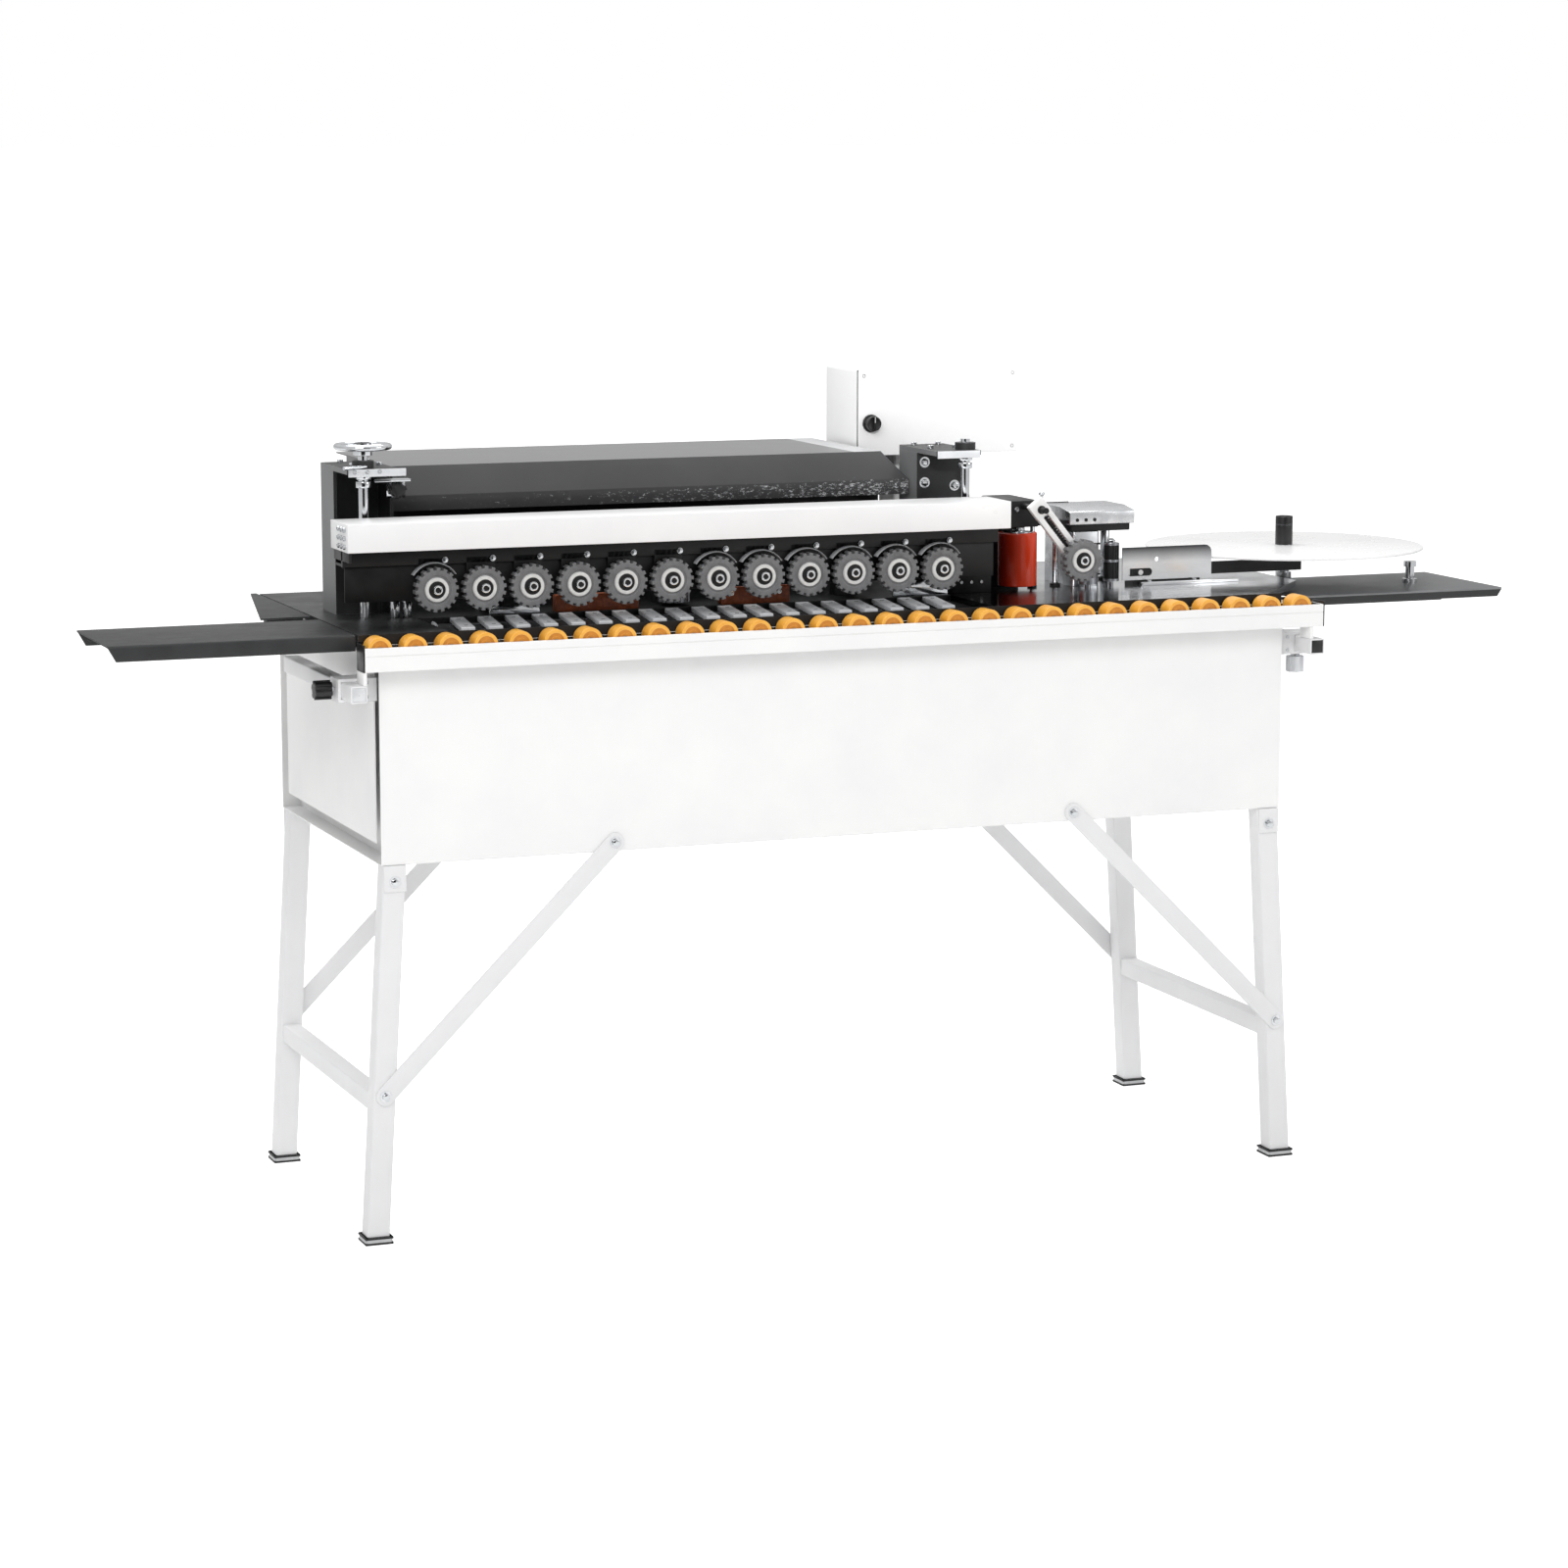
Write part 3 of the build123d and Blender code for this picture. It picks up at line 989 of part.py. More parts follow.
def glue_pot():
    """Heated glue pot, its lid and the posts that carry it."""
    x0, x1 = POT_X
    y0, y1 = POT_Y
    wall = POT_WALL
    pot = block(x0, x1, y0, y1, TABLE_Z, POT_TOP)
    pot -= block(x0 + wall, x1 - wall, y0 + wall, y1 - wall, POT_FLOOR, POT_TOP + 1)
    low, high = LID_FRONT
    lid_side = [(y0, low), (y0, high), (y0 + LID_FLAT, LID_TOP), (y1, LID_TOP), (y1, POT_TOP), (y0 + 6, POT_TOP)]
    lid = plate_yz(lid_side, LID_X[0], LID_X[1])
    post = rod_z(POST_XY[0], POST_XY[1], LID_POST_R, TABLE_Z, POT_TOP)
    rods = [rod_z(x, y, radius, TABLE_Z, ROD_TOP) for (x, y), radius in zip(ROD_XY, ROD_RS)]
    bridge = block(BRIDGE_X0, LID_X[0], BRIDGE_Y[0], BRIDGE_Y[1], ROD_TOP, ROD_TOP + BRIDGE_T)
    return [pot, lid, post, bridge] + rods


def glue_roller():
    """Glue roller on its shaft."""
    core = rod_z(GLUE_X, GLUE_Y, GLUE_R, TABLE_Z + 6, GLUE_TOP)
    return [core + rod_z(GLUE_X, GLUE_Y, GLUE_SHAFT_R, TABLE_BOTTOM - ROLLER_DROP, SHAFT_TOP)]


def tape_feed_roller():
    """Knurled roller that draws the tape in."""
    gear = toothed_disc(FEED_R, FEED_KNURL, FEED_TEETH, FEED_LEN, FEED_SHAFT_R - 1)
    shaft = rod_z(FEED_X, FEED_Y, FEED_SHAFT_R, TABLE_BOTTOM - ROLLER_DROP, SHAFT_TOP)
    return [Pos(FEED_X, FEED_Y, FEED_MID_Z) * gear + shaft]


def tape_guide():
    """Bright tape guide plate with its slot, its foot and the dark arm behind it."""
    x0, x1, z0, z1 = GUIDE_X0, GUIDE_X1, GUIDE_Z0, GUIDE_Z1
    back = GUIDE_Y + GUIDE_T
    plate = block(x0, x1, GUIDE_Y, back, z0, z1)
    corner = plate.edges().filter_by(Axis.Y).sort_by(lambda e: e.center().X + e.center().Z)[-1]
    plate = fillet(corner, GUIDE_CORNER)
    slot = extrude(SlotOverall(GUIDE_SLOT[0], GUIDE_SLOT[1]), amount=4 * GUIDE_T, both=True)
    slot_x, slot_z = x0 + GUIDE_SLOT_AT[0], z0 + GUIDE_SLOT_AT[1]
    plate -= Pos(slot_x, GUIDE_Y, slot_z) * Rot(90, 0, 0) * slot
    plate -= rod_y(x0 + GUIDE_HOLE_AT[0], z0 + GUIDE_HOLE_AT[1], GUIDE_HOLE_R, GUIDE_Y - 1, back + 1)
    arm = block(x0 + GUIDE_IN, TAPE_ARM_X1, back, back + TAPE_ARM_T, z0 + TAPE_ARM_Z[0], z0 + TAPE_ARM_Z[1])
    foot = block(x0 + GUIDE_IN, x1 - GUIDE_IN, back, back + GUIDE_FOOT_D, TABLE_Z, z0 + TAPE_ARM_Z[0])
    bolt = rod_y(slot_x, slot_z, GUIDE_BOLT_R, GUIDE_Y - 4, back)
    return [plate, arm, foot, bolt]


def tape_tray():
    """Round tape turntable with the hub that centres the coil."""
    top = DISC_Z + DISC_T
    tray = rod_z(DISC_X, DISC_Y, DISC_R, DISC_Z, top) + rod_z(DISC_X, DISC_Y, HUB_R, top, top + HUB_H)
    return [tray - rod_z(DISC_X, DISC_Y, SPINDLE_R + RUN, DISC_Z - 1, top + HUB_H - 6)]


def tape_spindle():
    """Fixed spindle of the turntable with its collar, and the chrome guide post beside it."""
    z0 = IN_TRAY_Z
    spindle = rod_z(DISC_X, DISC_Y, SPINDLE_R, z0, DISC_Z + DISC_T + HUB_H - 8)
    spindle += rod_z(DISC_X, DISC_Y, COLLAR_R, z0, z0 + COLLAR_H)
    spindle += rod_z(DISC_X, DISC_Y, SHOULDER_R, z0 + COLLAR_H, DISC_Z - TOUCH)
    post_x, post_y = TAPE_POST_XY
    foot_r, stem_r, head_r = TAPE_POST_RS
    foot_z, stem_z, head_z = TAPE_POST_ZS
    post = rod_z(post_x, post_y, foot_r, z0, z0 + foot_z)
    post += rod_z(post_x, post_y, stem_r, z0 + foot_z, z0 + stem_z)
    post += rod_z(post_x, post_y, head_r, z0 + stem_z, z0 + head_z)
    return [spindle, post]


# ---- rear trimming bed ------------------------------------------------------------------
def trim_motors():
    """Buffing, trimming and end-cut motors, each on its post."""
    parts = []
    y = CUTTER_Y
    z0, z1 = MOTOR_Z
    for x in MOTOR_XS:
        body = rod_z(x, y, MOTOR_R, z0, z1)
        body = fillet(body.edges().sort_by(Axis.Z)[-1], MOTOR_ROUND)
        if x == CUTTER_X:
            body -= rod_z(x, y, CUTTER_SHAFT_R + RUN, z0 - 1, z0 + CUTTER_SHAFT_IN)
        post = block(x - POST_HALF, x + POST_HALF, y + MOTOR_R - 2, y + MOTOR_R + POST_DEPTH,
                     TABLE_Z, z1 - POST_DROP)
        parts.append(body + post)
    return parts


def trim_cutter():
    """Trimming cutter: a toothed head on the spindle of the middle motor."""
    y = CUTTER_Y
    z0 = TABLE_Z + 4
    head = toothed_disc(CUTTER_R, 3.0, 14, 14.0, 7.0, land=0.2)
    spindle = rod_z(CUTTER_X, y, CUTTER_SHAFT_R, z0, MOTOR_Z[0] + CUTTER_SHAFT_IN - 5)
    return [Pos(CUTTER_X, y, z0 + 9) * head + spindle]


def guide_blocks():
    """Brown laminate fence blocks and the bright guide shoes along the panel edge."""
    y0 = EDGE_Y + FENCE_GAP
    y1 = y0 + FENCE_T
    z0 = TABLE_Z
    parts = [block(x0, x1, y0, y1, z0, z0 + height) for x0, x1, height in (FENCE_A, FENCE_B)]
    shoe = [(-540, z0), (-457, z0), (-462, z0 + 8), (-482, z0 + 14), (-510, z0 + 13), (-530, z0 + 8)]
    parts.append(plate_xz(shoe, y0, y0 + SHOE_T))
    parts.append(plate_xz([(150, z0), (247, z0), (247, z0 + 8), (176, z0 + 30), (160, z0 + 30)], y0, y0 + SHOE_B_T))
    for x in EDGE_ROLLER_XS:
        parts.append(rod_z(x, y1, EDGE_ROLLER_R, z0, z0 + EDGE_ROLLER_H))
    return parts


# ---- all sub-parts ----------------------------------------------------------------------
def all_parts():
    """Every sub-part by name, in build coordinates."""
    parts = {
        "body_frame": body_frame(),
        "front_panel": front_panel(),
        "casing_panels": casing_panels(),
        "outfeed_table": outfeed_table(),
        "rear_bed": rear_bed(),
        "infeed_table": infeed_table(),
        "legs": legs(),
        "leg_braces": leg_braces(),
        "feet": feet(),
        "fasteners": fasteners(),
        "outfeed_trays": outfeed_trays(),
        "infeed_tray": infeed_tray(),
        "ledge_rail": ledge_rail(),
        "ledge_rollers": ledge_rollers(),
        "ledge_pins": ledge_pins(),
        "ledge_clamps": ledge_clamps(),
        "clamp_knob_left": clamp_knob_left(),
        "clamp_knob_right": clamp_knob_right(),
        "conveyor_pads": conveyor_pads(),
        "conveyor_chain": conveyor_chain(),
        "conveyor_bed": conveyor_bed(),
        "conveyor_drive": conveyor_shaft(LOOP_X1, 300.0),
        "conveyor_idler": conveyor_shaft(LOOP_X0, PAD_Y1 + 12),
        "feed_gearmotor": feed_gearmotor(),
        "beam_cover": beam_cover(),
        "beam_channel": beam_channel(),
        "lift_columns": lift_columns(),
        "lift_screw_left": [lift_screw(LIFT_XS[0], HANDWHEEL_Z + 2)],
        "lift_screw_right": [lift_screw(LIFT_XS[1], COLUMN_TOP + 26)],
        "handwheel": handwheel(),
        "lift_chain": lift_chain(),
        "hood": hood(),
        "control_cabinet": control_cabinet(),
        "control_gear": control_gear(),
        "selector_knob": selector_knob(),
        "roller_bracket": roller_bracket(),
        "press_roller": press_roller(),
        "infeed_arm": infeed_arm(),
        "infeed_wheel": press_wheel(INFEED_WHEEL_X, INFEED_WHEEL_Z),
        "glue_pot": glue_pot(),
        "glue_roller": glue_roller(),
        "tape_feed_roller": tape_feed_roller(),
        "tape_guide": tape_guide(),
        "tape_tray": tape_tray(),
        "tape_spindle": tape_spindle(),
        "trim_motors": trim_motors(),
        "trim_cutter": trim_cutter(),
        "guide_blocks": guide_blocks(),
    }
    for number, x in enumerate(WHEEL_XS, start=1):
        parts[f"press_wheel_{number:02d}"] = press_wheel(x, WHEEL_Z)
    return parts


def outer_box(parts):
    """The whole machine's bounding box."""
    return Compound(children=[solid for solids in parts.values() for solid in flat(solids)]).bounding_box()


def flat(shapes):
    """Every solid of a list of shapes."""
    return [solid for shape in shapes for solid in shape.solids()]


def main():
    """Build every sub-part, move it to the machine's origin and write it."""
    os.makedirs("parts", exist_ok=True)
    parts = all_parts()
    box = outer_box(parts)
    shift = Pos(-(box.min.X + box.max.X) / 2, -(box.min.Y + box.max.Y) / 2, -box.min.Z)
    for name, shapes in parts.items():
        solids = [shift * solid for solid in flat(shapes)]
        shape = solids[0] if len(solids) == 1 else Compound(children=solids)
        shape.label = name
        export_step(shape, f"parts/{name}.step")
    return box


BOX = main()
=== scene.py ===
"""Edge banding machine: the visual model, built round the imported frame.

Every size and place in this file is in millimetres, in the frame of the CAD model, and is turned
to metres where a mesh is made. Places come from the boxes of the CAD nodes; the sizes that the
nodes don't give are dataclass fields of the sub-assembly they belong to.
"""
import json
import logging
import math
from collections.abc import Callable, Sequence
from dataclasses import dataclass, replace
from enum import Enum

import bmesh
import bpy
from mathutils import Matrix, Vector


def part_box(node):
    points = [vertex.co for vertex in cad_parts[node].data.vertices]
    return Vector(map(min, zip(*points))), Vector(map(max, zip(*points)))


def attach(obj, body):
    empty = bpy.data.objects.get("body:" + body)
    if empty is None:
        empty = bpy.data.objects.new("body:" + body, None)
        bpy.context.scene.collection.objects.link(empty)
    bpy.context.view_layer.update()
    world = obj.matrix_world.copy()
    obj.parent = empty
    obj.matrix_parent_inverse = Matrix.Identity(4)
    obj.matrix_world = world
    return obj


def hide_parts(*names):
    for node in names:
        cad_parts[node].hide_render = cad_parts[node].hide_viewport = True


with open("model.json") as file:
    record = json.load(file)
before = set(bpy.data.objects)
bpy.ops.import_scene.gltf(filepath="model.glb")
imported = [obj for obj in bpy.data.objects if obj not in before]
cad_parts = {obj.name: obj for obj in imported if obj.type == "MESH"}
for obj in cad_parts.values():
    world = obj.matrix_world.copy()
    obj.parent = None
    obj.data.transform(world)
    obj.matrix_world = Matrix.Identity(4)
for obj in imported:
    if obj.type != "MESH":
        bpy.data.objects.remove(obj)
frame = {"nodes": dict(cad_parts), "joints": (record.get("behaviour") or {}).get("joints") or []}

LOG = logging.getLogger("edge_bander")
MM = 0.001

Point = Sequence[float]
Tree = bpy.types.NodeTree
Socket = bpy.types.NodeSocket
FaceTest = Callable[[Vector, Vector], bool]


class Axis(Enum):
    """The direction a turned or drawn part runs in."""

    X = 0
    Y = 1
    Z = 2

    @property
    def unit(self) -> Vector:
        """Unit vector of the axis."""
        return Vector([1.0 if i == self.value else 0.0 for i in range(3)])

    @property
    def turn(self) -> tuple[float, float, float]:
        """Rotation that lays an upright primitive along the axis."""
        quarter = math.pi / 2
        return {Axis.X: (0.0, quarter, 0.0), Axis.Y: (-quarter, 0.0, 0.0), Axis.Z: (0.0, 0.0, 0.0)}[self]


# ---- finishes ---------------------------------------------------------------------------
def linear(code: str) -> tuple[float, float, float, float]:
    """Turns an sRGB hex colour to linear RGBA.

    Args:
        code: the colour as "#RRGGBB".

    Returns:
        Red, green, blue and alpha, linear, from 0 to 1.
    """
    channels = [int(code[i:i + 2], 16) / 255 for i in (1, 3, 5)]
    values = [c / 12.92 if c <= 0.04045 else ((c + 0.055) / 1.055) ** 2.4 for c in channels]
    return (*values, 1.0)


def add_node(tree: Tree, kind: str, settings: dict | None = None,
             links: dict | None = None) -> bpy.types.Node:
    """Adds one node with its settings and its incoming links.

    Args:
        tree: the node tree to add to.
        kind: the node's type name, without the prefix that all shader nodes share.
        settings: values for the node's properties or its input sockets, by name or index.
        links: source sockets for the node's input sockets, by name or index.

    Returns:
        The new node.
    """
    node = tree.nodes.new("ShaderNode" + kind)
    for key, value in (settings or {}).items():
        if isinstance(key, str) and hasattr(node, key):
            setattr(node, key, value)
        else:
            node.inputs[key].default_value = value
    for key, source in (links or {}).items():
        tree.links.new(source, node.inputs[key])
    return node


@dataclass(frozen=True)
class Finish:
    """One real material with its surface treatment.

    Attributes:
        name: the material's name.
        slot: the record's material slot.
        base: main colour.
        shade: second tone that the main colour drifts to.
        rough: lowest and highest roughness over the surface.
        metallic: 1 for bare metal, 0 for paint, plastic and rubber.
        mottle_mm: size of the patches where tone and gloss drift.
        grain_mm: spacing of the surface grain.
        grain_depth_mm: height of the surface grain.
        stretch: squeeze of the grain along X, Y and Z; a small number draws it out.
        coat: weight of a clear top layer.
        wear: colour that shows through along the edges, or an empty text.
        wear_mm: how far the worn edge reaches.
        ior: refractive index, where it isn't a metal.
    """

    name: str
    slot: str
    base: str
    shade: str
    rough: tuple[float, float]
    metallic: float = 0.0
    mottle_mm: float = 70.0
    grain_mm: float = 1.2
    grain_depth_mm: float = 0.02
    stretch: tuple[float, float, float] = (1.0, 1.0, 1.0)
    coat: float = 0.0
    wear: str = ""
    wear_mm: float = 0.8
    ior: float = 1.5

    def material(self) -> bpy.types.Material:
        """Gives the finish's Blender material, made on first use."""
        known = bpy.data.materials.get(self.name)
        return known if known else self.build()

    def height(self, tree: Tree, place: Socket) -> Socket:
        """Socket with the height of the surface grain."""
        drawn = add_node(tree, "Mapping", {"Scale": self.stretch}, {"Vector": place})
        grain = add_node(tree, "TexNoise", {"Scale": 1 / (self.grain_mm * MM), "Detail": 3.0},
                         {"Vector": drawn.outputs["Vector"]})
        return grain.outputs["Fac"]

    def tint(self, tree: Tree, place: Socket, mottle: Socket) -> Socket:
        """Socket with the surface colour before any wear."""
        spread = add_node(tree, "MapRange", {"From Min": 0.35, "From Max": 0.68}, {"Value": mottle})
        mixed = add_node(tree, "Mix",
                         {"data_type": "RGBA", 6: linear(self.base), 7: linear(self.shade)},
                         {0: spread.outputs["Result"]})
        return mixed.outputs[2]

    def worn(self, tree: Tree, colour: Socket, grain: Socket) -> Socket:
        """Socket with the colour where the finish has rubbed off along the edges."""
        rounded = add_node(tree, "Bevel", {"samples": 4, "Radius": self.wear_mm * MM})
        flat = add_node(tree, "NewGeometry")
        facing = add_node(tree, "VectorMath", {"operation": "DOT_PRODUCT"},
                          {0: rounded.outputs["Normal"], 1: flat.outputs["Normal"]})
        broken = add_node(tree, "Math", {"operation": "MULTIPLY_ADD", 1: 0.12},
                          {0: grain, 2: facing.outputs["Value"]})
        mask = add_node(tree, "MapRange", {"From Min": 1.03, "From Max": 0.93, "To Max": 0.75},
                        {"Value": broken.outputs["Value"]})
        mixed = add_node(tree, "Mix", {"data_type": "RGBA", 7: linear(self.wear)},
                         {0: mask.outputs["Result"], 6: colour})
        return mixed.outputs[2]

    def build(self) -> bpy.types.Material:
        """Makes the node tree of the finish.

        Returns:
            The finished material.
        """
        made = bpy.data.materials.new(self.name)
        made.use_nodes = True
        tree = made.node_tree
        tree.nodes.clear()
        place = add_node(tree, "TexCoord").outputs["Object"]
        mottle = add_node(tree, "TexNoise",
                          {"Scale": 1 / (self.mottle_mm * MM), "Detail": 5.0, "Roughness": 0.62},
                          {"Vector": place}).outputs["Fac"]
        grain = self.height(tree, place)
        colour = self.tint(tree, place, mottle)
        if self.wear:
            colour = self.worn(tree, colour, grain)
        smooth, dull = self.rough
        gloss = add_node(tree, "MapRange",
                         {"From Min": 0.32, "From Max": 0.7, "To Min": smooth, "To Max": dull},
                         {"Value": mottle})
        bump = add_node(tree, "Bump", {"Strength": 0.8, "Distance": self.grain_depth_mm * MM},
                        {"Height": grain})
        settings = {"Metallic": self.metallic, "Coat Weight": self.coat, "Coat Roughness": 0.12}
        if self.metallic < 0.5:
            settings["IOR"] = self.ior
        shader = add_node(tree, "BsdfPrincipled", settings,
                          {"Base Color": colour, "Roughness": gloss.outputs["Result"],
                           "Normal": bump.outputs["Normal"]})
        add_node(tree, "OutputMaterial", links={"Surface": shader.outputs["BSDF"]})
        return made


@dataclass(frozen=True)
class HammerCoat(Finish):
    """Hammer-finish paint on a casting: shallow round dimples."""

    def height(self, tree: Tree, place: Socket) -> Socket:
        """Socket with the height of the dimples."""
        cells = add_node(tree, "TexVoronoi", {"Scale": 1 / (self.grain_mm * MM)}, {"Vector": place})
        return cells.outputs["Distance"]


@dataclass(frozen=True)
class ReflectionSpeckCoat(Finish):
    """Dark gloss paint with bright specks painted on as reflections, thicker towards the in-feed end.

    Attributes:
        speck: colour of the painted reflection specks.
        start_mm: where along X the specks begin.
        full_mm: where along X they are thickest.
        top_mm: height above which there are none.
        fade_mm: how far below that height they thin out.
        speck_mm: spacing of the specks.
        bare: threshold of the specks where they begin, and where they are thickest.
    """

    speck: str = "#DADCDE"
    start_mm: float = -560.0
    full_mm: float = 150.0
    top_mm: float = 1152.0
    fade_mm: float = 20.0
    speck_mm: float = 3.0
    bare: tuple[float, float] = (0.63, 0.53)

    def tint(self, tree: Tree, place: Socket, mottle: Socket) -> Socket:
        """Socket with the paint colour and its painted reflection specks."""
        paint = super().tint(tree, place, mottle)
        along = add_node(tree, "SeparateXYZ", links={"Vector": place})
        limit = add_node(tree, "MapRange",
                         {"From Min": self.start_mm * MM, "From Max": self.full_mm * MM,
                          "To Min": self.bare[0], "To Max": self.bare[1]}, {"Value": along.outputs["X"]})
        drawn = add_node(tree, "Mapping", {"Scale": (0.45, 1.0, 1.0)}, {"Vector": place})
        specks = add_node(tree, "TexNoise",
                          {"Scale": 1 / (self.speck_mm * MM), "Detail": 5.0, "Roughness": 0.85},
                          {"Vector": drawn.outputs["Vector"]})
        above = add_node(tree, "MapRange",
                         {"From Min": (self.top_mm - self.fade_mm) * MM,
                          "From Max": self.top_mm * MM, "To Max": 0.3}, {"Value": along.outputs["Z"]})
        least = add_node(tree, "Math", {"operation": "ADD"},
                         {0: limit.outputs["Result"], 1: above.outputs["Result"]})
        over = add_node(tree, "Math", {"operation": "SUBTRACT"},
                        {0: specks.outputs["Fac"], 1: least.outputs["Value"]})
        mask = add_node(tree, "MapRange", {"From Min": 0.0, "From Max": 0.05},
                        {"Value": over.outputs[0]})
        mixed = add_node(tree, "Mix", {"data_type": "RGBA", 7: linear(self.speck)},
                         {0: mask.outputs["Result"], 6: paint})
        return mixed.outputs[2]


@dataclass(frozen=True)
class Laminate(Finish):
    """Pressed phenolic laminate: thin darker cloth layers through the thickness.

    Attributes:
        layer_mm: spacing of the layers.
    """

    layer_mm: float = 2.4

    def tint(self, tree: Tree, place: Socket, mottle: Socket) -> Socket:
        """Socket with the layered colour."""
        layers = add_node(tree, "TexWave",
                          {"bands_direction": "Y", "Scale": 0.314 / (self.layer_mm * MM), "Distortion": 1.5,
                           "Detail": 2.0, "Detail Scale": 1.5}, {"Vector": place})
        both = add_node(tree, "Math", {"operation": "MULTIPLY_ADD", 1: 0.35},
                        {0: layers.outputs["Fac"], 2: mottle})
        return super().tint(tree, place, both.outputs["Value"])


@dataclass(frozen=True)
class GradedFinish(Finish):
    """A finish whose tone runs from dark to bright along one axis, used here to paint shade and reflections
    into the colour.

    Attributes:
        low: colour at the dark end.
        along: the axis it runs along, 0 for X and 2 for Z.
        start_mm: where the dark end stops.
        full_mm: where the full brightness starts.
    """

    low: str = "#303133"
    along: int = 0
    start_mm: float = 0.0
    full_mm: float = 100.0

    def tint(self, tree: Tree, place: Socket, mottle: Socket) -> Socket:
        """Socket with the graded colour."""
        bright = super().tint(tree, place, mottle)
        parts = add_node(tree, "SeparateXYZ", links={"Vector": place})
        share = add_node(tree, "MapRange",
                         {"From Min": self.start_mm * MM, "From Max": self.full_mm * MM},
                         {"Value": parts.outputs[self.along]})
        mixed = add_node(tree, "Mix", {"data_type": "RGBA", 6: linear(self.low)},
                         {0: share.outputs["Result"], 7: bright})
        return mixed.outputs[2]


# Oven-cured polyester powder on folded steel: satin white, with a faint orange peel and grey drift.
WHITE_PAINT = Finish("white satin powder coat", "white_paint", "#F4F4F3", "#EFEFEF", (0.32, 0.46),
                     mottle_mm=160, grain_mm=1.6, grain_depth_mm=0.012, coat=0.1)
# The big front panel, a shade greyer than the posts round it, with broad soft clouds of gloss.
PANEL_PAINT = Finish("light grey satin powder coat", "white_paint", "#ABACAE", "#AAABAD", (0.34, 0.5),
                     mottle_mm=420, grain_mm=1.8, grain_depth_mm=0.014, coat=0.1)
# The pale cover of the press beam: smooth, with a slight cool shade.
COVER_PAINT = Finish("pale satin powder coat", "white_paint", "#F5F5F5", "#EFEFF0", (0.26, 0.4),
                     mottle_mm=140, grain_mm=1.6, grain_depth_mm=0.01, coat=0.2)
# The same powder on the bars of the stand, handled more and a little duller.
STAND_PAINT = Finish("white powder coat on tube", "white_paint", "#E8E8E9", "#E5E5E6", (0.38, 0.52),
                     mottle_mm=90, grain_mm=1.8, grain_depth_mm=0.018, wear="#B9BABC", wear_mm=0.9)
# Fine-texture dark powder coat: matt sheet with a sandy grain, rubbed lighter along its edges.
DARK_PAINT = Finish("charcoal textured powder coat", "dark_paint", "#232425", "#2E2F30", (0.46, 0.62),
                    mottle_mm=55, grain_mm=0.9, grain_depth_mm=0.04, wear="#6B6D6F", wear_mm=0.9)
# Near-black texture coat on the columns, dark inside and rubbed grey along its edges; the outer flanks are
# painted a greyer copy as painted light.
COLUMN_PAINT = Finish("black-grey textured powder coat", "dark_paint", "#1A1A1B", "#2A2B2C", (0.42, 0.58),
                      mottle_mm=70, grain_mm=0.9, grain_depth_mm=0.04, wear="#7C7E80", wear_mm=1.0)
# The columns' outer flanks: a mid grey copy of the column coat, painted light on the lit side; also the
# painted highlight along the in-feed tray's front fold.
FLANK_LIGHT_PAINT = Finish("rubbed grey texture coat", "dark_paint", "#6E6F70", "#7C7D7E", (0.4, 0.52),
                     mottle_mm=90, grain_mm=0.9, grain_depth_mm=0.03, wear="#A0A1A2", wear_mm=1.0)
# The in-feed tray's upper face: a lighter copy of the charcoal coat, painted light on the top, with rubbed
# edges.
TRAY_LIGHT_PAINT = Finish("rubbed charcoal texture coat", "dark_paint", "#505152", "#606163", (0.36, 0.5),
                    mottle_mm=160, grain_mm=0.9, grain_depth_mm=0.03, wear="#8A8B8C", wear_mm=1.0)
# The hood's top, which looks paler than its front because it faces the light.
TOP_PAINT = Finish("graphite enamel, top sheet", "dark_paint", "#6C6C6D", "#737374", (0.3, 0.4),
                   mottle_mm=260, grain_mm=1.5, grain_depth_mm=0.008, coat=0.15, wear="#9A9B9C", wear_mm=0.8)
# A light grey strip at the end of the hood's top, painted light where a lit surface shows.
STRIP_LIGHT_PAINT = Finish("light grey enamel", "dark_paint", "#BDBEBF", "#C8C9CA", (0.3, 0.42),
                     mottle_mm=80, grain_mm=1.5, grain_depth_mm=0.01, coat=0.1)
# The control box's white powder coat, brighter than the other white paint as painted light; the whitest on
# the machine.
BOX_LIGHT_PAINT = Finish("bright white powder coat", "white_paint", "#FFFFFF", "#FAFAFA", (0.3, 0.42),
                   mottle_mm=160, grain_mm=1.6, grain_depth_mm=0.01, coat=0.15)
# Black enamel as painted shade on the wall, the trims and the plates that sit in the shade of the hood, and
# in the ledge rail's trough.
BLACK_SHADE_PAINT = Finish("flat black enamel", "dark_paint", "#0E0E0F", "#161617", (0.6, 0.75),
                     mottle_mm=60, grain_mm=1.2, grain_depth_mm=0.02)
# Dark enamel of the table plates under the wheels, oily and a little glossy.
BED_PAINT = Finish("dark table enamel", "dark_paint", "#18191A", "#252627", (0.34, 0.5),
                   mottle_mm=50, grain_mm=1.0, grain_depth_mm=0.02, wear="#77797C", wear_mm=0.8)
# Smooth dark grey enamel of the hood, even in tone, glossier than the trays.
HOOD_PAINT = Finish("graphite enamel", "dark_paint", "#454546", "#4A4A4B", (0.30, 0.38),
                    mottle_mm=260, grain_mm=1.5, grain_depth_mm=0.008, coat=0.15, wear="#858688", wear_mm=0.8)
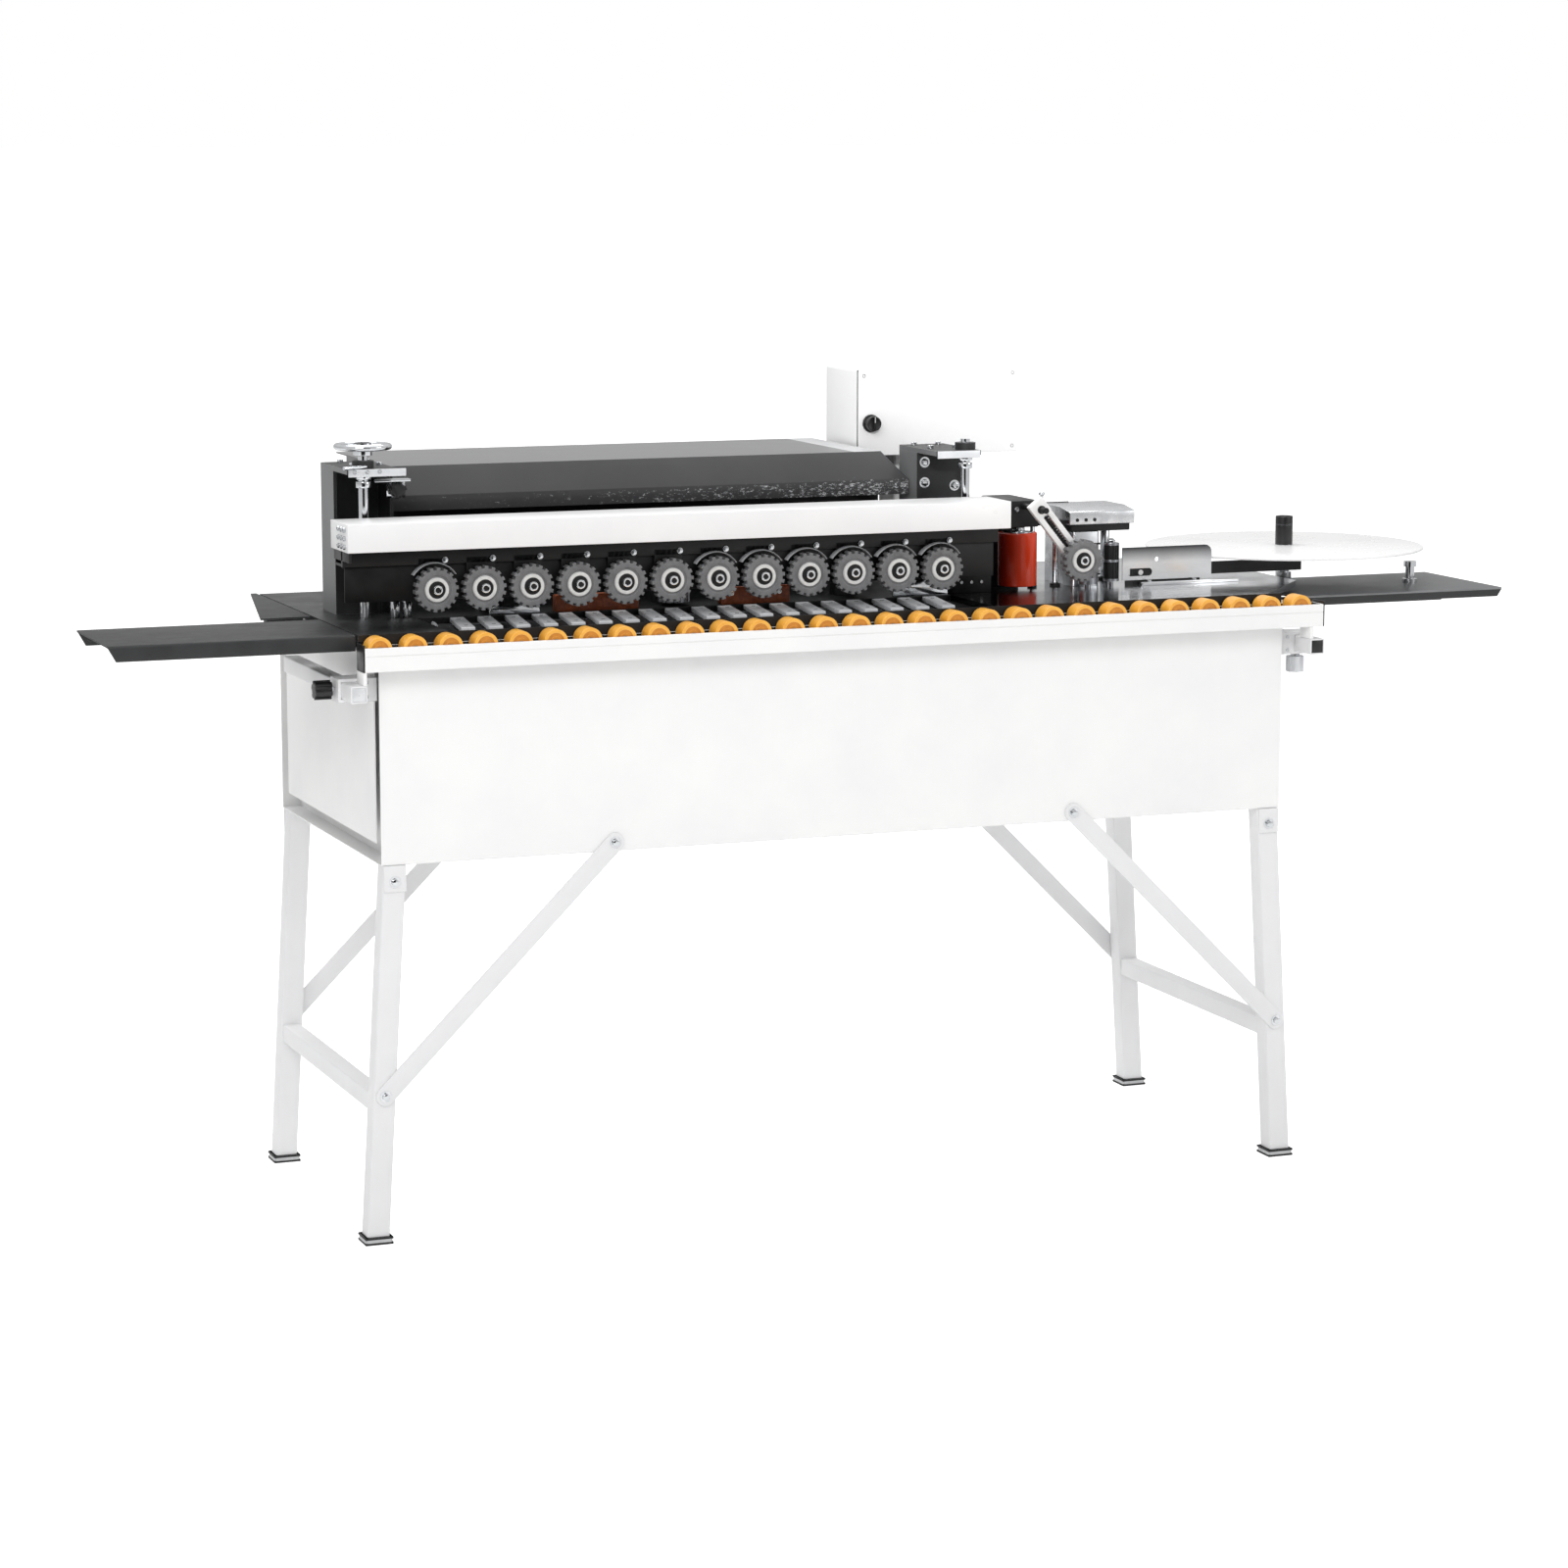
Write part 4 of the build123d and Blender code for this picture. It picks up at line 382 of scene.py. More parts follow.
# The hood's front, where the lower edge mirrors the bright steelwork below it: light specks painted on as
# reflections.
LIP_REFLECTION_PAINT = ReflectionSpeckCoat("graphite enamel, speckled front", "dark_paint", "#3F3F40", "#454546", (0.28, 0.38),
                         mottle_mm=160, grain_mm=1.5, grain_depth_mm=0.01, coat=0.15)
# Hot-blackened steel: near black, oily, with grey showing on rubbed edges.
BLACK_STEEL = Finish("blackened steel", "black_steel", "#0B0B0C", "#151516", (0.36, 0.52), metallic=0.2,
                     mottle_mm=25, grain_mm=0.7, grain_depth_mm=0.012, wear="#4C4E50", wear_mm=0.6)
# Milled pads: pale satin steel with the cutter's marks across them.
PAD_STEEL = Finish("milled pad steel", "ground_steel", "#E2E4E6", "#D2D4D7", (0.26, 0.38), metallic=0.2,
                   mottle_mm=40, grain_mm=0.7, grain_depth_mm=0.008, stretch=(1.0, 0.05, 1.0))
# The ground in-feed table: a painted reflection, dark at the out-feed end, that clears to bright streaks.
TABLE_PAINTED_REFLECTION_STEEL = GradedFinish("oiled ground steel table", "ground_steel", "#EDEEF0", "#C9CBCE", (0.10, 0.24),
                          metallic=1.0, mottle_mm=120, grain_mm=0.8, grain_depth_mm=0.005,
                          stretch=(0.02, 1.0, 1.0), low="#2A2B2D", along=0, start_mm=300.0, full_mm=460.0)
# The polished tape guide: a painted reflection, dark at the upper edge, that fades to bright steel lower
# down.
GUIDE_PAINTED_REFLECTION_STEEL = GradedFinish("blued and polished steel", "ground_steel", "#F0F1F2", "#E2E3E5", (0.16, 0.26),
                          metallic=1.0, mottle_mm=60, grain_mm=0.8, grain_depth_mm=0.004,
                          stretch=(0.02, 1.0, 1.0), low="#3A3B3D", along=2, start_mm=1018.0, full_mm=992.0)
# Milled and turned steel: greyer, with a tight tool pattern.
PLAIN_STEEL = Finish("machined steel", "plain_steel", "#9FA1A5", "#8E9094", (0.24, 0.36), metallic=1.0,
                     mottle_mm=60, grain_mm=0.6, grain_depth_mm=0.008, stretch=(1.0, 1.0, 0.15))
# The pot's drawn steel sheet: light grey with vertical draw marks.
POT_STEEL = Finish("drawn steel sheet", "plain_steel", "#D6D8DA", "#BFC1C4", (0.24, 0.36), metallic=1.0,
                   mottle_mm=26, grain_mm=1.4, grain_depth_mm=0.012, stretch=(1.0, 1.0, 0.03))
# The lid's brushed steel, brushed along its length.
LID_STEEL = Finish("brushed steel lid", "plain_steel", "#E6E7E9", "#C6C8CB", (0.20, 0.34), metallic=1.0,
                   mottle_mm=18, grain_mm=0.7, grain_depth_mm=0.012, stretch=(0.05, 1.0, 1.0))
# Bright chromium plate: mirror-like with slightly hazy patches.
CHROME = Finish("bright chromium plate", "bright_chrome", "#E2E4E6", "#D0D3D6", (0.06, 0.13), metallic=1.0,
                mottle_mm=20, grain_mm=3.0, grain_depth_mm=0.003)
# Moulded grey rubber of the press wheels: matt, dusty, paler on the rubbed edges of the teeth.
GREY_RUBBER = Finish("moulded grey rubber", "grey_rubber", "#7B7C7E", "#69696B", (0.55, 0.7),
                     mottle_mm=18, grain_mm=0.8, grain_depth_mm=0.04, wear="#ABACAD", wear_mm=0.9)
# Moulded black rubber of the feet and seals.
BLACK_RUBBER = Finish("moulded black rubber", "black_rubber", "#131314", "#1C1C1D", (0.58, 0.75),
                      mottle_mm=14, grain_mm=0.9, grain_depth_mm=0.04)
# Cast silicone of the press roller: deep red on the shaded flank, bright red on the lit one.
RED_SILICONE = GradedFinish("cast red silicone", "red_silicone", "#EE4212", "#E0380E", (0.24, 0.3),
                            mottle_mm=200, grain_mm=1.4, grain_depth_mm=0.01, coat=0.15, ior=1.43,
                            low="#701000", along=0, start_mm=326.0, full_mm=372.0)
# Amber nylon of the support rollers: semi-gloss, honey yellow, paler where it is rubbed.
AMBER_NYLON = Finish("moulded amber nylon", "orange_plastic", "#F6B647", "#EDA637", (0.30, 0.42),
                     mottle_mm=20, grain_mm=1.1, grain_depth_mm=0.015, coat=0.2, wear="#FFD587", wear_mm=1.4,
                     ior=1.53)
# The roller's hub, moulded in a darker orange.
AMBER_HUB = Finish("moulded orange hub", "orange_plastic", "#D58A26", "#C47A1C", (0.4, 0.52),
                   mottle_mm=12, grain_mm=1.0, grain_depth_mm=0.03, ior=1.53)
# Black phenolic and ABS knobs: moulded, with a soft highlight.
BLACK_PLASTIC = Finish("moulded black plastic", "black_plastic", "#0F0F10", "#19191A", (0.28, 0.44),
                       mottle_mm=15, grain_mm=0.8, grain_depth_mm=0.012, coat=0.1)
# Opal sheet of the tape turntable: pale, smooth, with faint rub marks.
OPAL_SHEET = Finish("opal plastic sheet", "pale_plastic", "#F5F5F5", "#F1F1F1", (0.24, 0.32),
                    mottle_mm=80, grain_mm=2.0, grain_depth_mm=0.008, coat=0.15)
# Hammer-finish paint on cast motor bodies, darkened to near black as painted shade under the hood.
CAST_SHADE_PAINT = HammerCoat("dark hammer-finish casting", "cast_metal", "#1B1C1D", "#262728", (0.36, 0.5),
                        mottle_mm=30, grain_mm=2.2, grain_depth_mm=0.1, coat=0.15)
# Cloth-filled phenolic board: rust brown, layered, satin.
BROWN_BOARD = Laminate("phenolic cloth laminate", "brown_laminate", "#BC5E2C", "#8C421C", (0.36, 0.5),
                       mottle_mm=18, grain_mm=0.7, grain_depth_mm=0.03)
# As-cast aluminium of the gearbox: dull silver with a sand-cast skin.
CAST_ALUMINIUM = Finish("sand-cast aluminium", "cast_aluminium", "#A5A8AB", "#8B8E91", (0.42, 0.58),
                        metallic=1.0, mottle_mm=24, grain_mm=1.1, grain_depth_mm=0.08)
# Light grey moulded rubber of the stand's feet, between two dark lines.
FOOT_RUBBER = Finish("light grey moulded rubber", "black_rubber", "#C6C7C8", "#BBBCBD", (0.4, 0.55),
                     mottle_mm=16, grain_mm=0.9, grain_depth_mm=0.03)
# The white ring round each wheel's bearing.
RING_WHITE = Finish("white bearing ring", "grey_rubber", "#E6E6E4", "#D6D7D6", (0.25, 0.4),
                    mottle_mm=10, grain_mm=0.8, grain_depth_mm=0.01)


# ---- boxes and mesh shaping -------------------------------------------------------------
@dataclass(frozen=True)
class Span:
    """A box between two corners, in millimetres."""

    x0: float
    y0: float
    z0: float
    x1: float
    y1: float
    z1: float

    @classmethod
    def of(cls, *nodes: str) -> "Span":
        """The box round one or more CAD nodes."""
        corners = [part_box(node) for node in nodes]
        low = [min(pair[0][i] for pair in corners) / MM for i in range(3)]
        high = [max(pair[1][i] for pair in corners) / MM for i in range(3)]
        return cls(*low, *high)

    @property
    def mid(self) -> Vector:
        """The middle of the box."""
        return Vector(((self.x0 + self.x1) / 2, (self.y0 + self.y1) / 2, (self.z0 + self.z1) / 2))

    @property
    def size(self) -> Vector:
        """The box's sides."""
        return Vector((self.x1 - self.x0, self.y1 - self.y0, self.z1 - self.z0))


def islands(node: str) -> list[Span]:
    """Finds the boxes of the separate solids in a CAD node.

    Args:
        node: the CAD node's name.

    Returns:
        One box for each solid, sorted by their low corners.
    """
    mesh = bmesh.new()
    mesh.from_mesh(frame["nodes"][node].data)
    bmesh.ops.remove_doubles(mesh, verts=mesh.verts[:], dist=1e-6)
    seen, found = set(), []
    for first in mesh.verts:
        if first in seen:
            continue
        seen.add(first)
        group, queue = [first], [first]
        while queue:
            for edge in queue.pop().link_edges:
                for vert in edge.verts:
                    if vert not in seen:
                        seen.add(vert)
                        group.append(vert)
                        queue.append(vert)
        low = [min(v.co[i] for v in group) / MM for i in range(3)]
        high = [max(v.co[i] for v in group) / MM for i in range(3)]
        found.append(Span(*low, *high))
    mesh.free()
    return sorted(found, key=lambda s: (round(s.x0, 1), round(s.y0, 1), round(s.z0, 1)))


class Shape:
    """A mesh piece that is shaped in millimetres with the edit-mode operators."""

    def __init__(self, obj: bpy.types.Object) -> None:
        """Wraps a mesh object that sits at the origin."""
        self.obj = obj

    @staticmethod
    def clear() -> None:
        """Leaves edit mode and deselects everything."""
        if bpy.context.object and bpy.context.object.mode != "OBJECT":
            bpy.ops.object.mode_set(mode="OBJECT")
        bpy.ops.object.select_all(action="DESELECT")

    @classmethod
    def take(cls, name: str) -> "Shape":
        """Names the primitive that was just added and sets its place into its mesh."""
        obj = bpy.context.active_object
        obj.name = name
        obj.data.name = name
        bpy.ops.object.transform_apply(location=True, rotation=True, scale=True)
        return cls(obj)

    @classmethod
    def block(cls, name: str, span: Span) -> "Shape":
        """Adds a cube primitive that fills a box."""
        cls.clear()
        bpy.ops.mesh.primitive_cube_add(size=1.0, location=span.mid * MM, scale=span.size * MM)
        return cls.take(name)

    @classmethod
    def rod(cls, name: str, axis: Axis, start: Point, length: float, radius: float, sides: int = 32,
            tip: float | None = None) -> "Shape":
        """Adds a cylinder or cone primitive.

        Args:
            name: the piece's name.
            axis: the direction it runs in.
            start: the middle of its low end.
            length: its length along the axis.
            radius: its radius at the low end.
            sides: number of sides.
            tip: its radius at the high end, where that differs.

        Returns:
            The new piece.
        """
        cls.clear()
        middle = (Vector(start) + axis.unit * length / 2) * MM
        end = radius if tip is None else tip
        bpy.ops.mesh.primitive_cone_add(vertices=sides, radius1=radius * MM, radius2=end * MM,
                                        depth=length * MM, location=middle, rotation=axis.turn)
        return cls.take(name)

    @classmethod
    def ring(cls, name: str, centre: Point, radius: float, section: float, axis: Axis = Axis.Z) -> "Shape":
        """Adds a torus primitive about an axis."""
        cls.clear()
        bpy.ops.mesh.primitive_torus_add(location=Vector(centre) * MM, rotation=axis.turn,
                                         major_segments=64, minor_segments=16,
                                         major_radius=radius * MM, minor_radius=section * MM)
        return cls.take(name)

    @classmethod
    def joined(cls, name: str, shapes: Sequence["Shape"]) -> "Shape":
        """Joins several pieces into one."""
        cls.clear()
        for shape in shapes:
            shape.obj.select_set(True)
        bpy.context.view_layer.objects.active = shapes[0].obj
        if len(shapes) > 1:
            bpy.ops.object.join()
        shapes[0].obj.name = name
        shapes[0].obj.data.name = name
        return shapes[0]

    def activate(self) -> None:
        """Selects this piece alone and makes it active."""
        Shape.clear()
        self.obj.select_set(True)
        bpy.context.view_layer.objects.active = self.obj

    def edit(self, mode: str) -> bmesh.types.BMesh:
        """Enters edit mode with nothing selected and gives the edit mesh."""
        self.activate()
        bpy.ops.object.mode_set(mode="EDIT")
        bpy.ops.mesh.select_mode(type=mode)
        bpy.ops.mesh.select_all(action="DESELECT")
        return bmesh.from_edit_mesh(self.obj.data)

    def faces(self, test: FaceTest) -> "Shape":
        """Selects the faces that pass a test of their centre and normal."""
        mesh = self.edit("FACE")
        for face in mesh.faces:
            if test(face.calc_center_median() / MM, face.normal):
                face.select_set(True)
        bmesh.update_edit_mesh(self.obj.data)
        return self

    def edges(self, test: FaceTest) -> "Shape":
        """Selects the edges that pass a test of their middle and direction."""
        mesh = self.edit("EDGE")
        for edge in mesh.edges:
            low, high = (vert.co for vert in edge.verts)
            if test((low + high) / 2 / MM, (high - low).normalized()):
                edge.select_set(True)
        bmesh.update_edit_mesh(self.obj.data)
        return self

    def verts(self, test: Callable[[Vector], bool]) -> "Shape":
        """Selects the corners that pass a test of their place."""
        mesh = self.edit("VERT")
        for vert in mesh.verts:
            if test(vert.co / MM):
                vert.select_set(True)
        bmesh.update_edit_mesh(self.obj.data)
        return self

    def move(self, offset: Point) -> "Shape":
        """Moves what is selected."""
        bpy.ops.transform.translate(value=Vector(offset) * MM)
        return self

    def stretch(self, factors: Point, centre: Point) -> "Shape":
        """Scales what is selected about a centre."""
        bpy.ops.transform.resize(value=factors, center_override=Vector(centre) * MM)
        return self

    def inset(self, width: float) -> "Shape":
        """Insets the selected faces."""
        bpy.ops.mesh.inset(thickness=width * MM)
        return self

    def extrude(self, offset: Point) -> "Shape":
        """Extrudes the selected faces by an offset."""
        bpy.ops.mesh.extrude_region_move(TRANSFORM_OT_translate={"value": Vector(offset) * MM})
        return self

    def delete(self) -> "Shape":
        """Deletes the selected faces."""
        bpy.ops.mesh.delete(type="FACE")
        return self

    def round_edges(self, width: float, segments: int = 3) -> "Shape":
        """Bevels the selected edges."""
        bpy.ops.mesh.bevel(offset=width * MM, segments=segments, affect="EDGES")
        return self

    def bisect(self, point: Point, normal: Point) -> "Shape":
        """Cuts every face along a plane, keeping both sides."""
        self.edit("FACE")
        bpy.ops.mesh.select_all(action="SELECT")
        bpy.ops.mesh.bisect(plane_co=Vector(point) * MM, plane_no=normal)
        return self

    def wall(self, thickness: float) -> "Shape":
        """Gives an open shell its sheet thickness, inwards."""
        self.activate()
        modifier = self.obj.modifiers.new("sheet", "SOLIDIFY")
        modifier.thickness = thickness * MM
        modifier.offset = -1.0
        modifier.use_even_offset = True
        bpy.ops.object.modifier_apply(modifier=modifier.name)
        return self

    def soften(self, width: float = 0.6, segments: int = 2, angle: float = 30.0) -> "Shape":
        """Rounds the sharp edges and shades the piece smooth.

        Args:
            width: size of the rounding.
            segments: steps in the rounding.
            angle: edges sharper than this are rounded, in degrees.

        Returns:
            The piece itself.
        """
        self.activate()
        modifier = self.obj.modifiers.new("rounding", "BEVEL")
        modifier.width = width * MM
        modifier.segments = segments
        modifier.limit_method = "ANGLE"
        modifier.angle_limit = math.radians(angle)
        bpy.ops.object.modifier_apply(modifier=modifier.name)
        bpy.ops.object.shade_smooth_by_angle(angle=math.radians(35.0))
        return self

    def outward(self) -> "Shape":
        """Merges doubles and turns every face outwards."""
        self.edit("FACE")
        bpy.ops.mesh.select_all(action="SELECT")
        bpy.ops.mesh.remove_doubles(threshold=1e-6)
        bpy.ops.mesh.normals_make_consistent(inside=False)
        Shape.clear()
        return self

    def turn(self, angle: float, axis: Axis, centre: Point) -> "Shape":
        """Turns the whole piece about a centre, in degrees."""
        Shape.clear()
        pivot = Matrix.Translation(Vector(centre) * MM)
        self.obj.data.transform(pivot @ Matrix.Rotation(math.radians(angle), 4, axis.name) @ pivot.inverted())
        return self

    def copy(self, name: str, offset: Point = (0.0, 0.0, 0.0)) -> "Shape":
        """A copy with a mesh of its own, moved by an offset."""
        Shape.clear()
        twin = self.obj.copy()
        twin.data = self.obj.data.copy()
        twin.name = name
        twin.data.name = name
        bpy.context.scene.collection.objects.link(twin)
        twin.data.transform(Matrix.Translation(Vector(offset) * MM))
        return Shape(twin)

    def finish(self, finish: Finish) -> "Shape":
        """Gives the whole piece one finish."""
        Shape.clear()
        self.obj.data.materials.clear()
        self.obj.data.materials.append(finish.material())
        return self

    def paint(self, finish: Finish, test: FaceTest) -> "Shape":
        """Gives the faces that pass a test a further finish."""
        Shape.clear()
        self.obj.data.materials.append(finish.material())
        index = len(self.obj.data.materials) - 1
        for face in self.obj.data.polygons:
            if test(face.center / MM, face.normal):
                face.material_index = index
        return self

    def ride(self, body: str, slot: str, *replaced: str) -> "Shape":
        """Fixes the finished piece to a body and hides the CAD nodes it stands for."""
        Shape.clear()
        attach(self.obj, body)
        if replaced:
            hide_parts(*replaced)
        LOG.info("%s rides on %s: %d faces", self.obj.name, body, len(self.obj.data.polygons))
        return self


def keep_node(node: str, finish: Finish) -> None:
    """Dresses a CAD node that stays as it is."""
    mesh = frame["nodes"][node].data
    for index in range(max(1, len(mesh.materials))):
        if index < len(mesh.materials):
            mesh.materials[index] = finish.material()
        else:
            mesh.materials.append(finish.material())
    LOG.info("%s is kept, in %s", node, finish.name)


def square_tube(name: str, span: Span, axis: Axis, wall: float = 2.0, radius: float = 2.5) -> Shape:
    """A drawn square tube with rounded corners and open ends.

    Args:
        name: the piece's name.
        span: its outer box.
        axis: the direction it runs in.
        wall: wall thickness.
        radius: outer corner radius.

    Returns:
        The tube.
    """
    tube = Shape.block(name, span)
    tube.edges(lambda _, way: abs(way[axis.value]) > 0.9).round_edges(radius)
    depth = min(30.0, span.size[axis.value] / 3)
    for side in (-1, 1):
        tube.faces(lambda _, normal: normal[axis.value] * side > 0.9)
        tube.inset(wall).extrude(axis.unit * -side * depth)
    return tube


def hex_bolt(name: str, seat: Point, side: int, radius: float, height: float) -> Shape:
    """A chamfered hexagon head on a plain washer, standing out along Y.

    Args:
        name: the piece's name.
        seat: the middle of the face it sits on.
        side: -1 towards the front, 1 towards the back.
        radius: radius over the corners of the head.
        height: height of the head with its washer.

    Returns:
        The bolt.
    """
    washer_t = height * 0.25
    start = Vector(seat) if side > 0 else Vector(seat) - Axis.Y.unit * washer_t
    washer = Shape.rod(name, Axis.Y, start, washer_t, radius * 1.2, 24).soften(washer_t * 0.3, 1)
    low = Vector(seat) + Axis.Y.unit * (washer_t if side > 0 else -height)
    head = Shape.rod(name + "_head", Axis.Y, low, height - washer_t, radius, 6)
    head.faces(lambda _, normal: normal.y * side > 0.9).inset(radius * 0.14)
    head.move((0.0, side * height * 0.12, 0.0))
    head.soften(radius * 0.05, 1)
    return Shape.joined(name, [washer, head])


# ---- sub-assemblies ---------------------------------------------------------------------
def joint_at(name: str) -> Vector:
    """The point that a joint turns about, in millimetres."""
    found = next(joint for joint in frame["joints"] if joint["name"] == name)
    return Vector(found["pos_m"]) / MM


def longest_axis(span: Span) -> Axis:
    """The axis along a box's longest side."""
    return Axis(max(range(3), key=lambda i: span.size[i]))


def rounded_block(name: str, span: Span, width: float = 0.8, segments: int = 2) -> Shape:
    """A block with small rounded edges."""
    return Shape.block(name, span).soften(width, segments)


def socket_screw(name: str, seat: Point, axis: Axis, side: int, radius: float, height: float) -> Shape:
    """A cylinder-head screw with its hexagon socket.

    Args:
        name: the piece's name.
        seat: the middle of the face it sits on.
        axis: the axis it stands along.
        side: 1 to stand out along the axis, -1 against it.
        radius: head radius.
        height: head height.

    Returns:
        The screw.
    """
    start = Vector(seat) - (axis.unit * height if side < 0 else Vector())
    head = Shape.rod(name, axis, start, height, radius, 24)
    head.faces(lambda _, normal: normal[axis.value] * side > 0.9)
    head.inset(radius * 0.45).extrude(axis.unit * -side * height * 0.5)
    return head.soften(radius * 0.08, 1, 40)


def lobed_knob(name: str, start: Point, axis: Axis, side: int, radius: float, length: float) -> Shape:
    """A six-lobed hand knob with a domed end.

    Args:
        name: the piece's name.
        start: the middle of its base.
        axis: the axis it stands along.
        side: 1 to stand out along the axis, -1 against it.
        radius: radius over the lobes.
        length: length of the grip.

    Returns:
        The knob.
    """
    low = Vector(start) - (axis.unit * length if side < 0 else Vector())
    knob = Shape.rod(name, axis, low, length, radius * 0.82, 48)
    centre = Vector(start)
    across, up = [i for i in range(3) if i != axis.value]
    lobes = 6

    def on_lobe(at: Vector, normal: Vector) -> bool:
        turn = math.atan2(at[up] - centre[up], at[across] - centre[across]) / math.tau * lobes
        return abs(normal[axis.value]) < 0.5 and turn % 1.0 < 0.5

    knob.faces(on_lobe).extrude((0.0, 0.0, 0.0))
    grown = [1.0 if i == axis.value else 1 / 0.82 for i in range(3)]
    knob.stretch(grown, centre)
    knob.faces(lambda _, normal: normal[axis.value] * side > 0.9)
    bpy.ops.mesh.inset(thickness=radius * 0.2 * MM)
    knob.move(axis.unit * side * 0.8)
    return knob.soften(1.0, 3, 35)


@dataclass
class Casing:
    """The sheet-metal body with its frame, panels and table plates."""

    panel_round: float = 0.5
    trim_t: float = 0.7
    trim_in: float = 3.0
    trim_drop: float = 10.0
    return_wide: float = 126.8
    return_drop: float = 4.0
    dark_depth: float = 12.0
    hidden_margin: float = 0.5

    def build(self) -> None:
        """Makes the frame's tubes and dresses the panels and plates."""
        tubes = []
        for part in islands("body_frame"):
            if min(part.size) < 5.0:
                tubes.append(rounded_block("motor_shelf", part, self.panel_round))
                continue
            tubes.append(square_tube("frame_tube", part, longest_axis(part)).soften(0.3, 1, 40))
        casing = Shape.joined("casing_frame", tubes).finish(WHITE_PAINT)
        dark_z = Span.of("infeed_table").z0 - self.dark_depth
        casing.paint(BED_PAINT, lambda at, normal: normal.z > 0.5 and at.z > dark_z)
        casing.ride("frame", "white_paint", "body_frame")
        self.trims()
        keep_node("front_panel", PANEL_PAINT)
        keep_node("casing_panels", WHITE_PAINT)
        self.shade_rear_wall()
        keep_node("outfeed_table", BED_PAINT)
        keep_node("rear_bed", BED_PAINT)
        # painted reflection: the table runs dark to bright along X
        keep_node("infeed_table", TABLE_PAINTED_REFLECTION_STEEL)
        keep_node("feed_gearmotor", CAST_ALUMINIUM)

    def trims(self) -> None:
        """The black edge strip along the table's front and the black return of the rear wall, both dark
        sheets put in as painted shade.
        """
        rail, table = Span.of("body_frame"), Span.of("infeed_table")
        strip = Span(rail.x0 + self.trim_in, rail.y0 - self.trim_t, table.z0 - self.trim_drop,
                     rail.x1 - self.trim_in, rail.y0 + 0.2, table.z1)
        wall = next(part for part in islands("casing_panels") if part.z0 > table.z1 - 1 and part.size.x > 300)
        back = replace(wall, x0=wall.x1 - self.hidden_margin, x1=wall.x1 + self.return_wide,
                       z1=wall.z1 - self.return_drop)
        parts = [rounded_block("edge_strip", strip, 0.2, 1), rounded_block("wall_return", back, 0.4)]
        # painted shade: black sheets where the machine lies in shade
        Shape.joined("casing_trims", parts).finish(BLACK_SHADE_PAINT).ride("frame", "dark_paint")

    def shade_rear_wall(self) -> None:
        """Paints the wall behind the trimming bed and its hinge leaves black, as painted shade under the
        hood.
        """
        panels = frame["nodes"]["casing_panels"].data
        panels.materials.append(BLACK_SHADE_PAINT.material())
        bed_top = Span.of("rear_bed").z1
        # painted shade: every face above the bed turns black
        for face in panels.polygons:
            if face.center.z / MM > bed_top - self.hidden_margin:
                face.material_index = len(panels.materials) - 1


